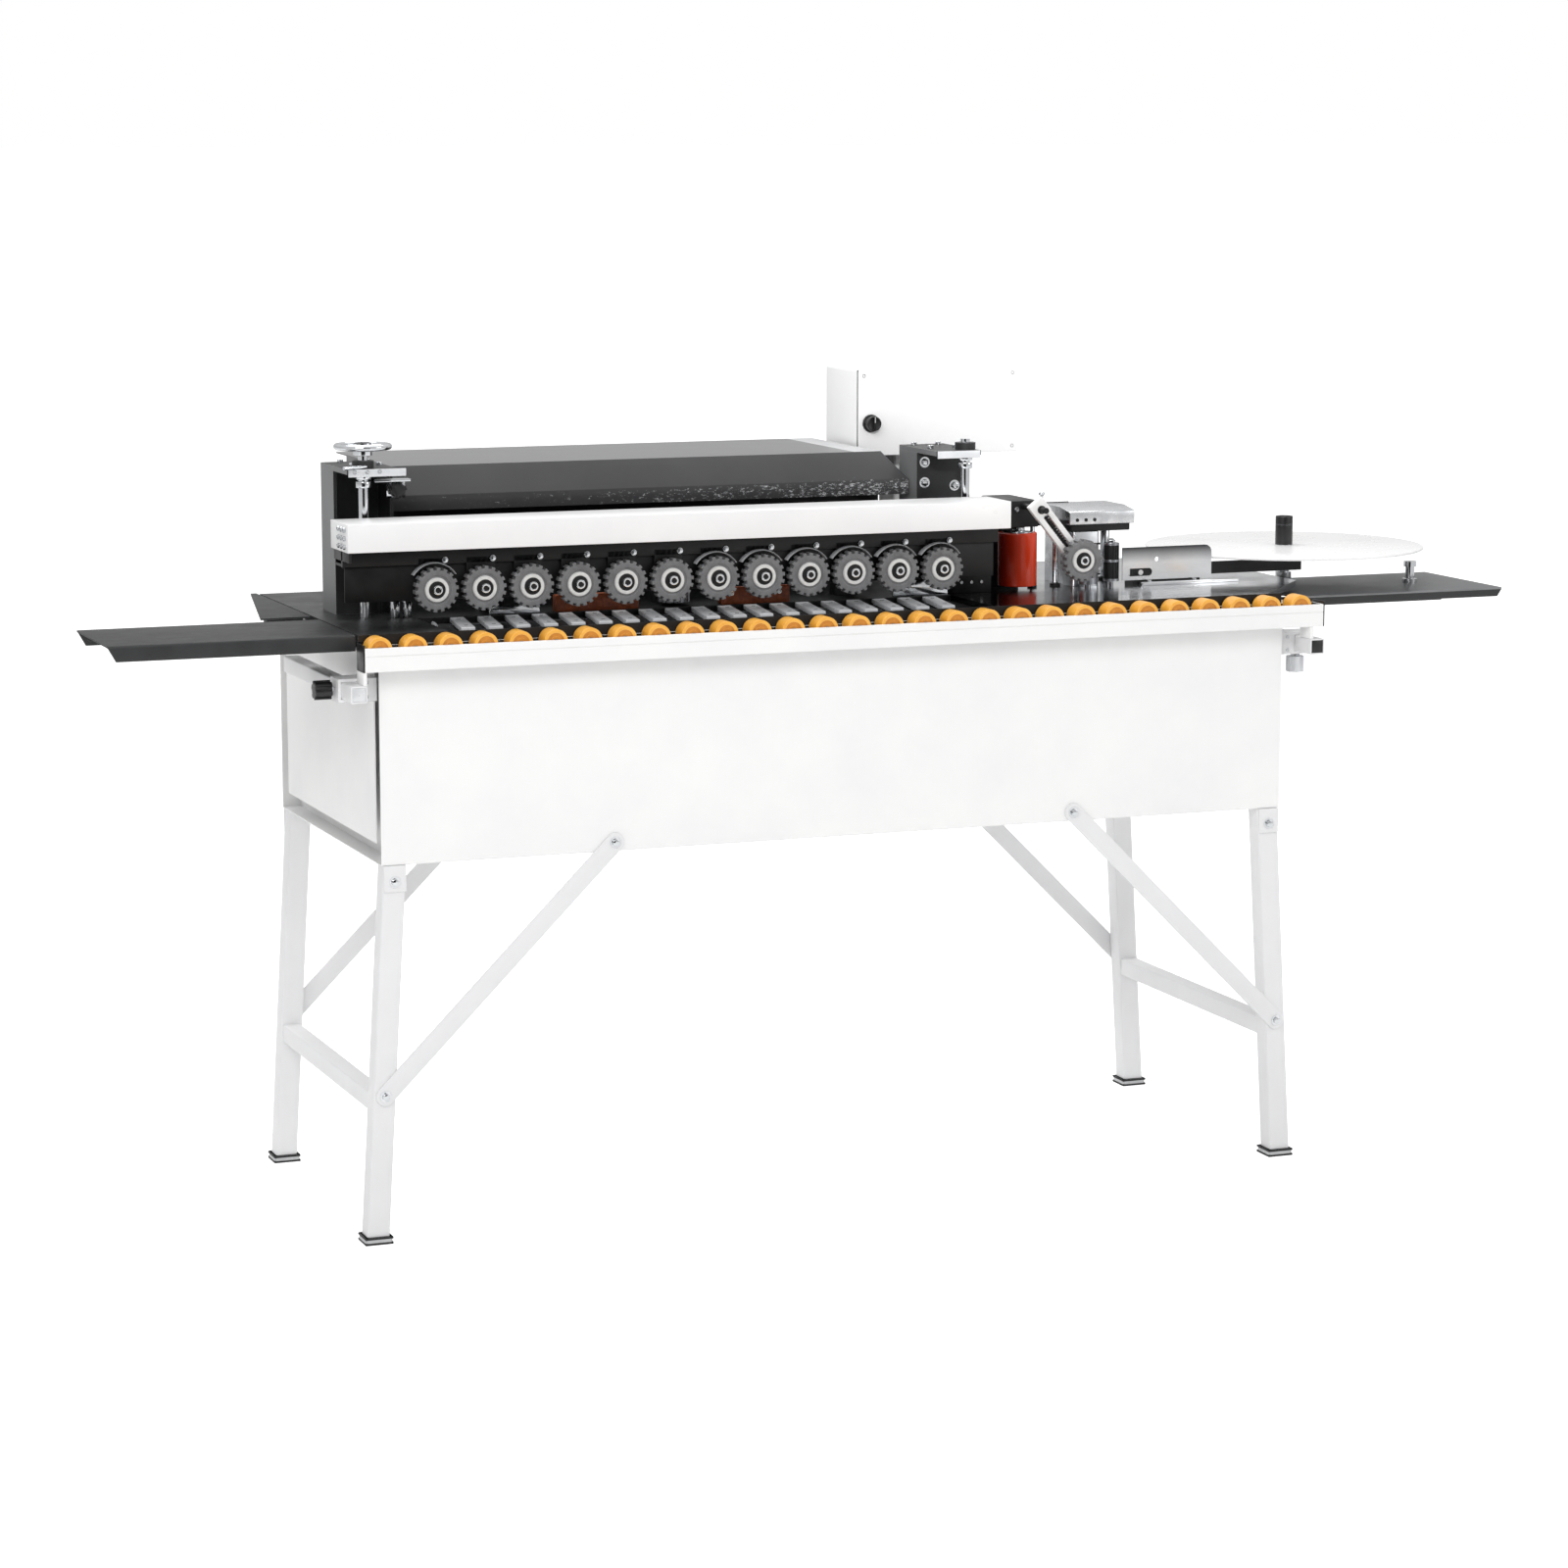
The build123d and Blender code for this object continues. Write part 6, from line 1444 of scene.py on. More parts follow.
@dataclass
class LiftGear:
    """The two columns, the lifting screws and the handwheel."""

    nut_r: float = 13.0
    nut_t: float = 9.0
    collar_r: float = 12.0
    collar_t: float = 10.0
    collar_drop: float = 22.0
    plate_t: float = 8.0
    boss_up: float = 12.0
    plate_screw_x: float = 22.0
    face_screw_x: float = 20.0
    guide_screw_x: float = 6.0
    guide_screw_zs: tuple[float, ...] = (1030.0, 1040.0)
    lip_in: float = 2.0
    lip_drop: float = 4.0
    rim_t: float = 5.0
    rim_drop: float = 6.0
    spokes: int = 3
    lock_x: tuple[float, float] = (16.0, 74.0)
    lock_y: tuple[float, float] = (-10.0, 26.0)
    lock_z: tuple[float, float] = (1168.0, 1172.0)
    hanger_z: float = 1140.0
    knob_z: float = 1153.0
    lever_long: float = 44.0

    def build(self) -> None:
        """Makes the screws, the handwheel and the column hardware."""
        keep_node("lift_columns", COLUMN_PAINT)
        self.paint_lit_flanks()
        keep_node("lift_chain", PLAIN_STEEL)
        for side in ("left", "right"):
            keep_node("lift_screw_" + side, CHROME)
        self.handwheel(Span.of("handwheel"))
        self.hardware()

    def paint_lit_flanks(self) -> None:
        """Paints the columns' outer flanks a lighter grey, as painted light."""
        mesh = frame["nodes"]["lift_columns"].data
        # painted light: the outer flanks take the lighter grey copy of the column paint
        mesh.materials.append(FLANK_LIGHT_PAINT.material())
        flanks = [part.x0 for part in islands("lift_columns")]
        for face in mesh.polygons:
            if face.normal.x < -0.9 and min(abs(face.center.x / MM - flank) for flank in flanks) < 0.5:
                face.material_index = len(mesh.materials) - 1

    def handwheel(self, span: Span) -> None:
        """A chromed three-spoke handwheel with a dark hub cap."""
        centre = span.mid
        rim_r = span.size.x / 2
        rim_z = span.z1 - self.rim_drop
        rim = Shape.ring("rim", (centre.x, centre.y, rim_z), rim_r - self.rim_t, self.rim_t)
        hub = Shape.rod("hub", Axis.Z, (centre.x, centre.y, span.z0), span.z1 - span.z0, 15.0, 40)
        hub.faces(lambda _, normal: normal.z > 0.9).inset(3.0).extrude((0.0, 0.0, -1.5))
        hub.soften(1.2, 3, 40)
        parts = [rim, hub]
        middle = (centre.x, centre.y, rim_z)
        for index in range(self.spokes):
            spoke = Shape.rod("spoke", Axis.X, middle, rim_r - 6.0, 4.8, 20, 3.8)
            parts.append(spoke.turn(90 + 360 / self.spokes * index, Axis.Z, middle))
        wheel = Shape.joined("handwheel_rim", parts)
        wheel.activate()
        bpy.ops.object.shade_smooth_by_angle(angle=math.radians(35.0))
        wheel.finish(CHROME)
        wheel.paint(BLACK_PLASTIC, lambda at, normal: math.hypot(at.x - centre.x, at.y - centre.y) < 16.0
                    and at.z > rim_z - 4.0)
        wheel.ride("lift_left", "bright_chrome", "handwheel")

    def hardware(self) -> None:
        """Nuts, collars, bearing screws and the lock lever on the columns."""
        bearings = []
        for part in islands("lift_columns"):
            top = part.z1 - self.boss_up
            bearings.append(replace(part, z0=top - self.plate_t, z1=top))
        turning: dict[str, list[Shape]] = {"lift_left": [], "lift_right": []}
        fixed = []
        for part, body in zip(bearings, turning):
            screw = Span.of(body.replace("lift", "lift_screw"))
            at = screw.mid
            under = part.z0 - 0.6
            nut = Shape.rod("nut", Axis.Z, (at.x, at.y, under - self.nut_t), self.nut_t, self.nut_r, 6)
            collar = Shape.rod("collar", Axis.Z, (at.x, at.y, under - self.collar_drop), self.collar_t,
                               self.collar_r, 32)
            turning[body] += [nut.soften(0.8), collar.soften(0.8)]
            for dx in (-self.plate_screw_x, self.plate_screw_x):
                for y in (part.y0 + 66.0, part.y1 - 20.0):
                    seat = (part.mid.x + dx, y, part.z1)
                    fixed.append(socket_screw("plate_screw", seat, Axis.Z, 1, 5.0, 5.0))
        for body, parts in turning.items():
            Shape.joined(body + "_nuts", parts).finish(CHROME).ride(body, "bright_chrome")
        self.lock(bearings[0], fixed)
        screw = Span.of("lift_screw_left").mid
        for dx in (-self.guide_screw_x, self.guide_screw_x):
            for z in self.guide_screw_zs:
                seat = (screw.x + dx, bearings[0].y0, z)
                fixed.append(socket_screw("guide_screw", seat, Axis.Y, -1, 3.2, 4.0))
        Shape.joined("column_screws", fixed).finish(CHROME).ride("frame", "bright_chrome")
        lips = []
        for part in bearings:
            lip = replace(part, x0=part.x0 + self.lip_in, x1=part.x1 - self.lip_in,
                          y0=part.y0 - self.lip_in, y1=part.y0, z0=part.z0 - self.lip_drop)
            lips.append(rounded_block("plate_lip", lip, 0.6))
        Shape.joined("plate_lips", lips).finish(PAD_STEEL).ride("frame", "ground_steel")

    def lock(self, bearing: Span, fixed: list[Shape]) -> None:
        """The black hand knob and its bracket beside the out-feed screw."""
        screw = Span.of("lift_screw_left").mid
        bracket = Span(screw.x + self.lock_x[0], screw.y + self.lock_y[0], self.lock_z[0],
                       screw.x + self.lock_x[1], screw.y + self.lock_y[1], self.lock_z[1])
        fixed.append(rounded_block("lock_bracket", bracket, 0.6))
        back = bracket.y1 - 4.0
        hanger = replace(bracket, x0=bracket.x1 - 30.0, z0=self.hanger_z, y0=back)
        fixed.append(rounded_block("lock_hanger", hanger, 0.6))
        foot = (screw.x - 50.0, screw.y - 14.0, bearing.z1 + 3.0)
        lever = Shape.rod("lever", Axis.X, foot, self.lever_long, 3.0, 20)
        fixed.append(lever.turn(24.0, Axis.Z, (screw.x, screw.y, bearing.z1)))
        for dx in (-self.face_screw_x, 0.0, self.face_screw_x):
            seat = (screw.x + dx, bearing.y0, bearing.z0 + 4.0)
            fixed.append(socket_screw("face_screw", seat, Axis.Y, -1, 3.4, 3.5))
        start = (bracket.x1 - 15.0, back, self.knob_z)
        knob = lobed_knob("lock_knob", start, Axis.Y, -1, 14.0, 16.0).finish(BLACK_PLASTIC)
        knob.ride("frame", "black_plastic")


@dataclass
class Hood:
    """The folded hood over the trimming bed."""

    sheet: float = 2.0
    face_lean: float = 30.0
    fold_z: float = 1137.0
    top_short: float = 38.0
    cheek_back: float = 64.0
    strip: float = 48.0
    lip_z: float = 1112.0
    eye_in: float = 120.0
    eye_long: float = 29.4
    eye_r: float = 8.0

    def build(self) -> None:
        """Folds the hood from one shell and gives it its hinge eyes."""
        span = Span.of("hood")
        box = replace(span, z0=min(span.z0, self.lip_z))
        hood = Shape.block("hood_sheet", box)
        hood.bisect((0.0, 0.0, self.fold_z), (0.0, 0.0, 1.0))
        cheek_y = box.y1 - self.cheek_back
        hood.bisect((0.0, cheek_y, 0.0), (0.0, 1.0, 0.0))
        top_end = box.x1 - self.top_short
        strip_x = top_end - self.strip
        hood.bisect((strip_x, 0.0, 0.0), (1.0, 0.0, 0.0))
        hood.verts(lambda at: at.z > box.z1 - 1 and at.y < box.y0 + 1).move((0.0, self.face_lean, 0.0))
        hood.verts(lambda at: at.z > box.z1 - 1 and at.x > box.x1 - 1).move((-self.top_short, 0.0, 0.0))
        hood.faces(lambda at, normal: normal.z < -0.9 or normal.y > 0.9 or normal.x > 0.5
                   or (normal.x < -0.5 and at.y > cheek_y)).delete()
        hood.outward().wall(self.sheet).soften(1.0, 3)
        hood.finish(HOOD_PAINT)
        # painted reflection: light specks on the front face
        hood.paint(LIP_REFLECTION_PAINT, lambda at, normal: normal.y < -0.5)
        hood.paint(TOP_PAINT, lambda at, normal: normal.z > 0.95)
        # painted light: a light grey strip at the top's end
        hood.paint(STRIP_LIGHT_PAINT, lambda at, normal: normal.z > 0.95 and at.x > strip_x)
        hinge = joint_at("hood_open")
        pieces = [hood]
        for middle_x in (box.x0 + self.eye_in, top_end - self.eye_in):
            low = (middle_x - self.eye_long / 2, hinge.y, hinge.z)
            eye = Shape.rod("hinge_eye", Axis.X, low, self.eye_long, self.eye_r, 32).soften(0.5)
            pieces.append(eye.finish(HOOD_PAINT))
        Shape.joined("folded_hood", pieces).ride("hood", "dark_paint", "hood")


@dataclass
class ControlBox:
    """The control box on its post, with the selector."""

    corner_r: float = 3.0
    door: float = 3.0
    gasket: float = 4.0
    gasket_in: float = 0.2
    gasket_lap: float = 0.5
    screw_in: float = 10.0
    grip_less: float = 2.5
    skirt_t: float = 4.5
    ridge_half: float = 2.0
    mark_half: float = 0.7

    def build(self) -> None:
        """Makes the box, its gasket and door, the post and the selector."""
        span = Span.of("control_cabinet")
        post = min(islands("control_cabinet"), key=lambda part: part.z0)
        box = replace(span, z0=post.z1)
        seal_y0, seal_y1 = box.y0 + self.door, box.y0 + self.door + self.gasket
        shells = []
        for name, shell in (("box", replace(box, y0=seal_y1)), ("door", replace(box, y1=seal_y0))):
            sheet = Shape.block(name, shell)
            sheet.edges(lambda _, way: abs(way.y) > 0.9).round_edges(self.corner_r)
            # the box and door take the brightened white, as painted light
            shells.append(sheet.soften(0.8).finish(BOX_LIGHT_PAINT))
        seal = Span(box.x0 + self.gasket_in, seal_y0 - self.gasket_lap, box.z0 + self.gasket_in,
                    box.x1 - self.gasket_in, seal_y1 + self.gasket_lap, box.z1 - self.gasket_in)
        gasket = Shape.block("gasket", seal).soften(0.5).finish(BLACK_RUBBER)
        tube = square_tube("post", post, Axis.Z, 3.0, 5.0).soften(0.3, 1, 40).finish(WHITE_PAINT)
        screws = []
        for x in (box.x0 + self.screw_in, box.x1 - self.screw_in):
            for z in (box.z0 + self.screw_in, box.z1 - self.screw_in):
                screw = socket_screw("door_screw", (x, box.y0 + 0.8, z), Axis.Y, -1, 3.4, 0.8)
                screws.append(screw.finish(CHROME))
        parts = [*shells, gasket, tube, *screws]
        Shape.joined("control_box", parts).ride("frame", "white_paint", "control_cabinet")
        keep_node("control_gear", BLACK_PLASTIC)
        self.selector(Span.of("selector_knob"), box.y0)

    def selector(self, span: Span, face_y: float) -> None:
        """The rotary selector: skirt, grip and pointer ridge."""
        at = span.mid
        radius = span.size.x / 2
        grip_long = face_y - span.y0 - 4.0
        grip_r = radius - self.grip_less
        grip = Shape.rod("selector_grip", Axis.Y, (at.x, span.y0 + 3.0, at.z), grip_long, grip_r, 40)
        grip.faces(lambda _, normal: normal.y < -0.9).inset(2.0).extrude((0.0, 1.0, 0.0))
        skirt = Shape.rod("selector_skirt", Axis.Y, (at.x, face_y - 5.0, at.z), self.skirt_t, radius, 48)
        ridge = Span(at.x - self.ridge_half, span.y0, at.z - 10.0,
                     at.x + self.ridge_half, span.y0 + 8.0, at.z + 13.0)
        mark = Span(at.x - self.mark_half, span.y0, at.z + 2.0,
                    at.x + self.mark_half, span.y0 + 0.6, at.z + 12.0)
        parts = [grip.soften(0.8, 2, 40), skirt.soften(0.8, 2, 40), rounded_block("ridge", ridge, 0.6)]
        parts = [part.finish(BLACK_PLASTIC) for part in parts]
        parts.append(rounded_block("mark", mark, 0.1, 1).finish(RING_WHITE))
        Shape.joined("selector", parts).ride("selector", "black_plastic", "selector_knob")


@dataclass
class GlueUnit:
    """The gluing end: silicone roller, swing arm, glue pot, feed rollers and tape guide."""

    arm_t: float = 12.0
    arm_back: float = 3.0
    bar_wide: float = 9.0
    bar_apart: float = 19.0
    block_x: tuple[float, float] = (-17.0, 13.0)
    block_half: float = 15.0
    boss_r: float = 18.0
    cap_r: float = 7.0
    spring_r: float = 2.2
    coils: int = 11
    coil_r: float = 3.6
    coil_step: float = 5.2
    tip_x: float = 3.0
    shaft_long: float = 28.0
    shaft_r: float = 8.0
    head_high: float = 18.0
    tall_least: float = 60.0
    holes: int = 3
    hole_x: float = 18.0
    hole_z: float = 24.0
    fins: int = 4
    fin_t: float = 3.0
    fin_step: float = 17.0
    lid_drop: float = 12.0
    lid_fold_y: float = 40.0
    lid_slope: float = 6.0
    lid_screw_step: float = 16.0
    knurls: int = 18
    knurl_deep: float = 1.2
    rail_long: float = 180.0
    rail_wide: float = 16.0

    def build(self) -> None:
        """Makes the rollers, the arm, the pot and the tape guide."""
        self.red_roller(Span.of("press_roller"))
        self.bracket()
        self.swing_arm()
        self.pot()
        self.feed_roller(Span.of("tape_feed_roller"))
        keep_node("glue_roller", PLAIN_STEEL)
        self.guide()

    def red_roller(self, span: Span) -> None:
        """The silicone sleeve with its end plates and shaft."""
        at = span.mid
        radius = span.size.x / 2
        top = span.z1 - self.shaft_long
        low = (at.x, at.y, top - 1.0)
        sleeve = Shape.rod("silicone_sleeve", Axis.Z, (at.x, at.y, span.z0), top - span.z0, radius, 96)
        sleeve.soften(2.4, 4, 50).finish(RED_SILICONE)
        shaft = Shape.rod("roller_shaft", Axis.Z, low, self.shaft_long + 1.0, self.shaft_r, 32)
        plate = Shape.rod("end_plate", Axis.Z, low, 2.0, radius - 7.0, 48).soften(0.5)
        collar = Shape.rod("shaft_collar", Axis.Z, (at.x, at.y, top), 9.0, 12.0, 32).soften(0.8)
        metal = Shape.joined("roller_end", [shaft, plate, collar]).finish(CHROME)
        Shape.joined("silicone_roller", [sleeve, metal]).ride("red_roller", "red_silicone", "press_roller")

    def bracket(self) -> None:
        """The black roller head, its post, the swing arm's pivot and the drilled end plate."""
        parts, screws = [], []
        head_z = Span.of("press_roller").z1 - self.head_high
        for part in islands("roller_bracket"):
            if part.z1 > head_z + 10.0 and part.size.z > self.tall_least:
                head = replace(part, z0=head_z)
                post = replace(part, y0=part.y1 - 40.0, z1=head_z + 1.0)
                parts += [rounded_block("roller_head", head, 1.5, 3), rounded_block("roller_post", post, 1.2)]
                for dx in (-14.0, 14.0):
                    seat = (head.mid.x + dx, head.y0, head.mid.z + 8.0)
                    screws.append(socket_screw("head_screw", seat, Axis.Y, -1, 4.0, 3.0))
            elif part.size.z > self.tall_least:
                plate = replace(part, y1=part.y0 + 5.0)
                foot = replace(part, y0=part.y0 + 4.0, z1=part.z0 + 8.0)
                parts += [rounded_block("end_plate", plate, 0.8), rounded_block("end_foot", foot, 0.8)]
                for column in range(self.holes):
                    for row in range(self.holes):
                        seat = (plate.x0 + 14.0 + self.hole_x * column, plate.y0,
                                plate.z0 + 18.0 + self.hole_z * row)
                        screws.append(socket_screw("end_screw", seat, Axis.Y, -1, 2.6, 1.6))
            else:
                start = (part.mid.x, part.y0, part.mid.z)
                parts.append(Shape.rod("arm_pivot", Axis.Y, start, part.size.y, 5.0, 24).soften(0.5))
        parts = [part.finish(BLACK_STEEL) for part in parts] + [screw.finish(CHROME) for screw in screws]
        Shape.joined("roller_head_bracket", parts).ride("frame", "black_steel", "roller_bracket")

    def swing_arm(self) -> None:
        """The white swing arm: pivot block, twin bars, spring, axle boss and lifting tip."""
        pivot = joint_at("swing_arm_lift")
        span, wheel = Span.of("infeed_arm"), Span.of("infeed_wheel")
        y0 = wheel.y1 + self.arm_back
        y1 = y0 + self.arm_t
        length = math.hypot(wheel.mid.x - pivot.x, wheel.mid.z - pivot.z)
        drop = math.degrees(math.atan2(pivot.z - wheel.mid.z, wheel.mid.x - pivot.x))
        centre = (pivot.x, (y0 + y1) / 2, pivot.z)
        head = Span(pivot.x + self.block_x[0], y0, pivot.z - self.block_half,
                    pivot.x + self.block_x[1], y1, pivot.z + self.block_half)
        white = [rounded_block("pivot_block", head, 2.0, 3)]
        for side in (-1, 1):
            mid_z = pivot.z + side * self.bar_apart / 2
            bar = Span(pivot.x + 10.0, y0 + 0.5, mid_z - self.bar_wide / 2,
                       pivot.x + length - 4.0, y1 - 0.5, mid_z + self.bar_wide / 2)
            white.append(rounded_block("bar", bar, 1.0))
        boss_at, cap_at = (pivot.x + length, y0, pivot.z), (pivot.x, y0 - 3.0, pivot.z)
        spring_at = (pivot.x + 12.0, centre[1], pivot.z)
        dark = [Shape.rod("axle_boss", Axis.Y, boss_at, self.arm_t, self.boss_r, 40).soften(1.0),
                Shape.rod("pivot_cap", Axis.Y, cap_at, self.arm_t + 4.0, self.cap_r, 32).soften(0.8),
                Shape.rod("spring_rod", Axis.X, spring_at, length - 30.0, self.spring_r, 16)]
        for index in range(self.coils):
            at = (pivot.x + 18.0 + index * self.coil_step, centre[1], pivot.z)
            dark.append(Shape.ring("coil", at, self.coil_r, 0.9, Axis.X))
        for shape in white + dark:
            shape.turn(drop, Axis.Y, centre)
        dark.append(Shape.rod("axle", Axis.Y, (wheel.mid.x, wheel.y1 - 1.0, wheel.mid.z), 5.0, 12.0, 24))
        tip_x = pivot.x + self.tip_x
        stem_at = (tip_x, centre[1], pivot.z + 10.0)
        chrome = [Shape.rod("tip_stem", Axis.Z, stem_at, span.z1 - pivot.z - 13.0, 2.6, 16),
                  Shape.ring("tip_ball", (tip_x, centre[1], span.z1 - 5.0), 1.8, 3.2)]
        parts = ([s.finish(WHITE_PAINT) for s in white] + [s.finish(BLACK_STEEL) for s in dark]
                 + [s.finish(CHROME) for s in chrome])
        Shape.joined("swing_arm_bars", parts).ride("swing_arm", "white_paint", "infeed_arm")

    def pot(self) -> None:
        """The glue pot with its fins, bevelled lid, posts and bridge."""
        parts = []
        for part in islands("glue_pot"):
            if part.size.x > 100.0:
                parts += self.lid(part)
            elif part.size.y > 80.0:
                pot = Shape.block("pot", part)
                pot.edges(lambda _, way: abs(way.z) > 0.9).round_edges(6.0, 4)
                parts.append(pot.soften(0.8).finish(POT_STEEL))
                for index in range(self.fins):
                    low = part.z0 + 18.0 + index * self.fin_step
                    fin = Span(part.x0 - 0.4, part.y0 - 2.0, low,
                               part.x1 + 0.4, part.y0 + 12.0, low + self.fin_t)
                    parts.append(rounded_block("fin", fin, 0.5).finish(BLACK_STEEL))
            elif part.size.z < 20.0:
                parts.append(rounded_block("bridge", part, 0.8).finish(BLACK_STEEL))
            else:
                low = (part.mid.x, part.mid.y, part.z0)
                post = Shape.rod("post", Axis.Z, low, part.size.z, part.size.x / 2, 24)
                parts.append(post.soften(0.4).finish(CHROME))
                foot = Shape.rod("post_foot", Axis.Z, low, 4.0, part.size.x / 2 + 4.0, 24)
                parts.append(foot.soften(0.6).finish(BLACK_STEEL))
        Shape.joined("glue_pot_unit", parts).ride("frame", "plain_steel", "glue_pot")

    def lid(self, part: Span) -> list[Shape]:
        """The lid: a folded front and a sloping top in brushed steel, a dark underside, screws and a hinge.
        """
        lid = Shape.block("lid", replace(part, z0=part.z0 + self.lid_drop))
        lid.bisect((0.0, part.y0 + self.lid_fold_y, 0.0), (0.0, 1.0, 0.0))
        lid.verts(lambda at: at.z > part.z1 - 1 and at.y < part.y0 + 1).move((0.0, 0.0, -self.lid_slope))
        lid.edges(lambda at, way: abs(way.x) > 0.9 and at.z > part.z1 - self.lid_slope - 2
                  and at.y < part.y0 + 1).round_edges(3.0)
        lid.soften(1.4, 3).finish(LID_STEEL)
        under = Span(part.x0 + 6.0, part.y0 + 6.0, part.z0, part.x1 - 6.0, part.y1 - 2.0,
                     part.z0 + self.lid_drop + 1.0)
        dark = rounded_block("lid_underside", under, 1.0).finish(BLACK_STEEL)
        hinge = Shape.rod("lid_hinge", Axis.X, (part.x0 + 8.0, part.y1 - 6.0, part.z1 - 2.0), 40.0, 3.5, 20)
        hinge.finish(BLACK_STEEL)
        screws = []
        for index in range(3):
            seat = (part.x0 + 14.0 + index * self.lid_screw_step, part.y0, part.z0 + 20.0)
            screws.append(socket_screw("lid_screw", seat, Axis.Y, -1, 3.0, 1.2).finish(BLACK_STEEL))
        return [lid, dark, *screws, hinge]

    def feed_roller(self, span: Span) -> None:
        """The knurled feed roller with its bright nut."""
        at = span.mid
        low, high = span.z0 + 43.0, span.z1 - 8.0
        radius = span.size.x / 2
        root = radius - self.knurl_deep
        roller = Shape.rod("knurled_roller", Axis.Z, (at.x, at.y, low), high - low, root, self.knurls * 3)
        step = math.tau / self.knurls

        def on_rib(there: Vector, normal: Vector) -> bool:
            share = (math.atan2(there.y - at.y, there.x - at.x) / step) % 1.0
            return abs(normal.z) < 0.5 and share < 0.6

        roller.faces(on_rib).extrude((0.0, 0.0, 0.0))
        roller.stretch((radius / root, radius / root, 1.0), at)
        roller.soften(0.3, 1, 40).finish(BLACK_STEEL)
        shaft = Shape.rod("feed_shaft", Axis.Z, (at.x, at.y, span.z0), span.size.z, 4.0, 24)
        rings = [Shape.rod("feed_ring", Axis.Z, (at.x, at.y, z), 4.0, radius + 0.3, 36).soften(0.6)
                 for z in (low - 1.0, (low + high) / 2, high - 3.0)]
        nut = Shape.rod("feed_nut", Axis.Z, (at.x, at.y, high), 6.0, 7.0, 6).soften(0.5)
        bright = [ring.finish(PLAIN_STEEL) for ring in [shaft, *rings]] + [nut.finish(CHROME)]
        unit = Shape.joined("feed_roller", [roller, *bright])
        unit.ride("tape_feeder", "black_steel", "tape_feed_roller")

    def guide(self) -> None:
        """Dresses the tape guide's plate in polished steel and the parts behind it in blackened steel, and
        makes the rail at its foot.
        """
        # painted reflection: the guide plate runs dark at the top to bright below
        keep_node("tape_guide", GUIDE_PAINTED_REFLECTION_STEEL)
        mesh = frame["nodes"]["tape_guide"].data
        mesh.materials.append(BLACK_STEEL.material())
        plate_back = Span.of("tape_guide").y0 + 6.9
        for face in mesh.polygons:
            if face.center.y / MM > plate_back:
                face.material_index = len(mesh.materials) - 1
        span = Span.of("tape_guide")
        foot_z = Span.of("infeed_table").z1
        low = (span.x0 + 30.0, span.y0 - 12.0, foot_z)
        rail = Span(*low, low[0] + self.rail_long, low[1] + self.rail_wide, foot_z + 5.0)
        parts = [rounded_block("guide_rail", rail, 0.8).finish(GUIDE_PAINTED_REFLECTION_STEEL)]
        for dx in (16.0, 100.0):
            seat = (rail.x0 + dx, rail.mid.y, rail.z1)
            parts.append(socket_screw("rail_screw", seat, Axis.Z, 1, 3.5, 3.0).finish(CHROME))
        Shape.joined("guide_base", parts).ride("frame", "ground_steel")


@dataclass
class TapeTurntable:
    """The round tape turntable with its hub and spindle."""

    disc_t: float = 4.0
    hub_r: float = 15.0
    band_drop: float = 16.0

    def build(self) -> None:
        """Makes the disc, the hub and the turned posts under them."""
        span = Span.of("tape_tray")
        at = span.mid
        disc = Shape.rod("disc", Axis.Z, (at.x, at.y, span.z0), self.disc_t, span.size.x / 2, 192)
        disc.soften(1.4, 3, 50).finish(OPAL_SHEET)
        top = span.z0 + self.disc_t
        hub = Shape.rod("disc_hub", Axis.Z, (at.x, at.y, top), span.z1 - top, self.hub_r, 40)
        hub.faces(lambda _, normal: normal.z > 0.9).inset(4.0).extrude((0.0, 0.0, -2.0))
        hub.soften(1.4, 3, 50).finish(BLACK_PLASTIC)
        flange = Shape.rod("hub_flange", Axis.Z, (at.x, at.y, top), 3.0, self.hub_r - 0.2, 48)
        band = Shape.rod("hub_band", Axis.Z, (at.x, at.y, span.z1 - self.band_drop), 3.0, self.hub_r, 40)
        bright = [flange.finish(CHROME), band.finish(PLAIN_STEEL)]
        Shape.joined("tape_disc", [disc, hub, *bright]).ride("turntable", "pale_plastic", "tape_tray")
        keep_node("tape_spindle", CHROME)


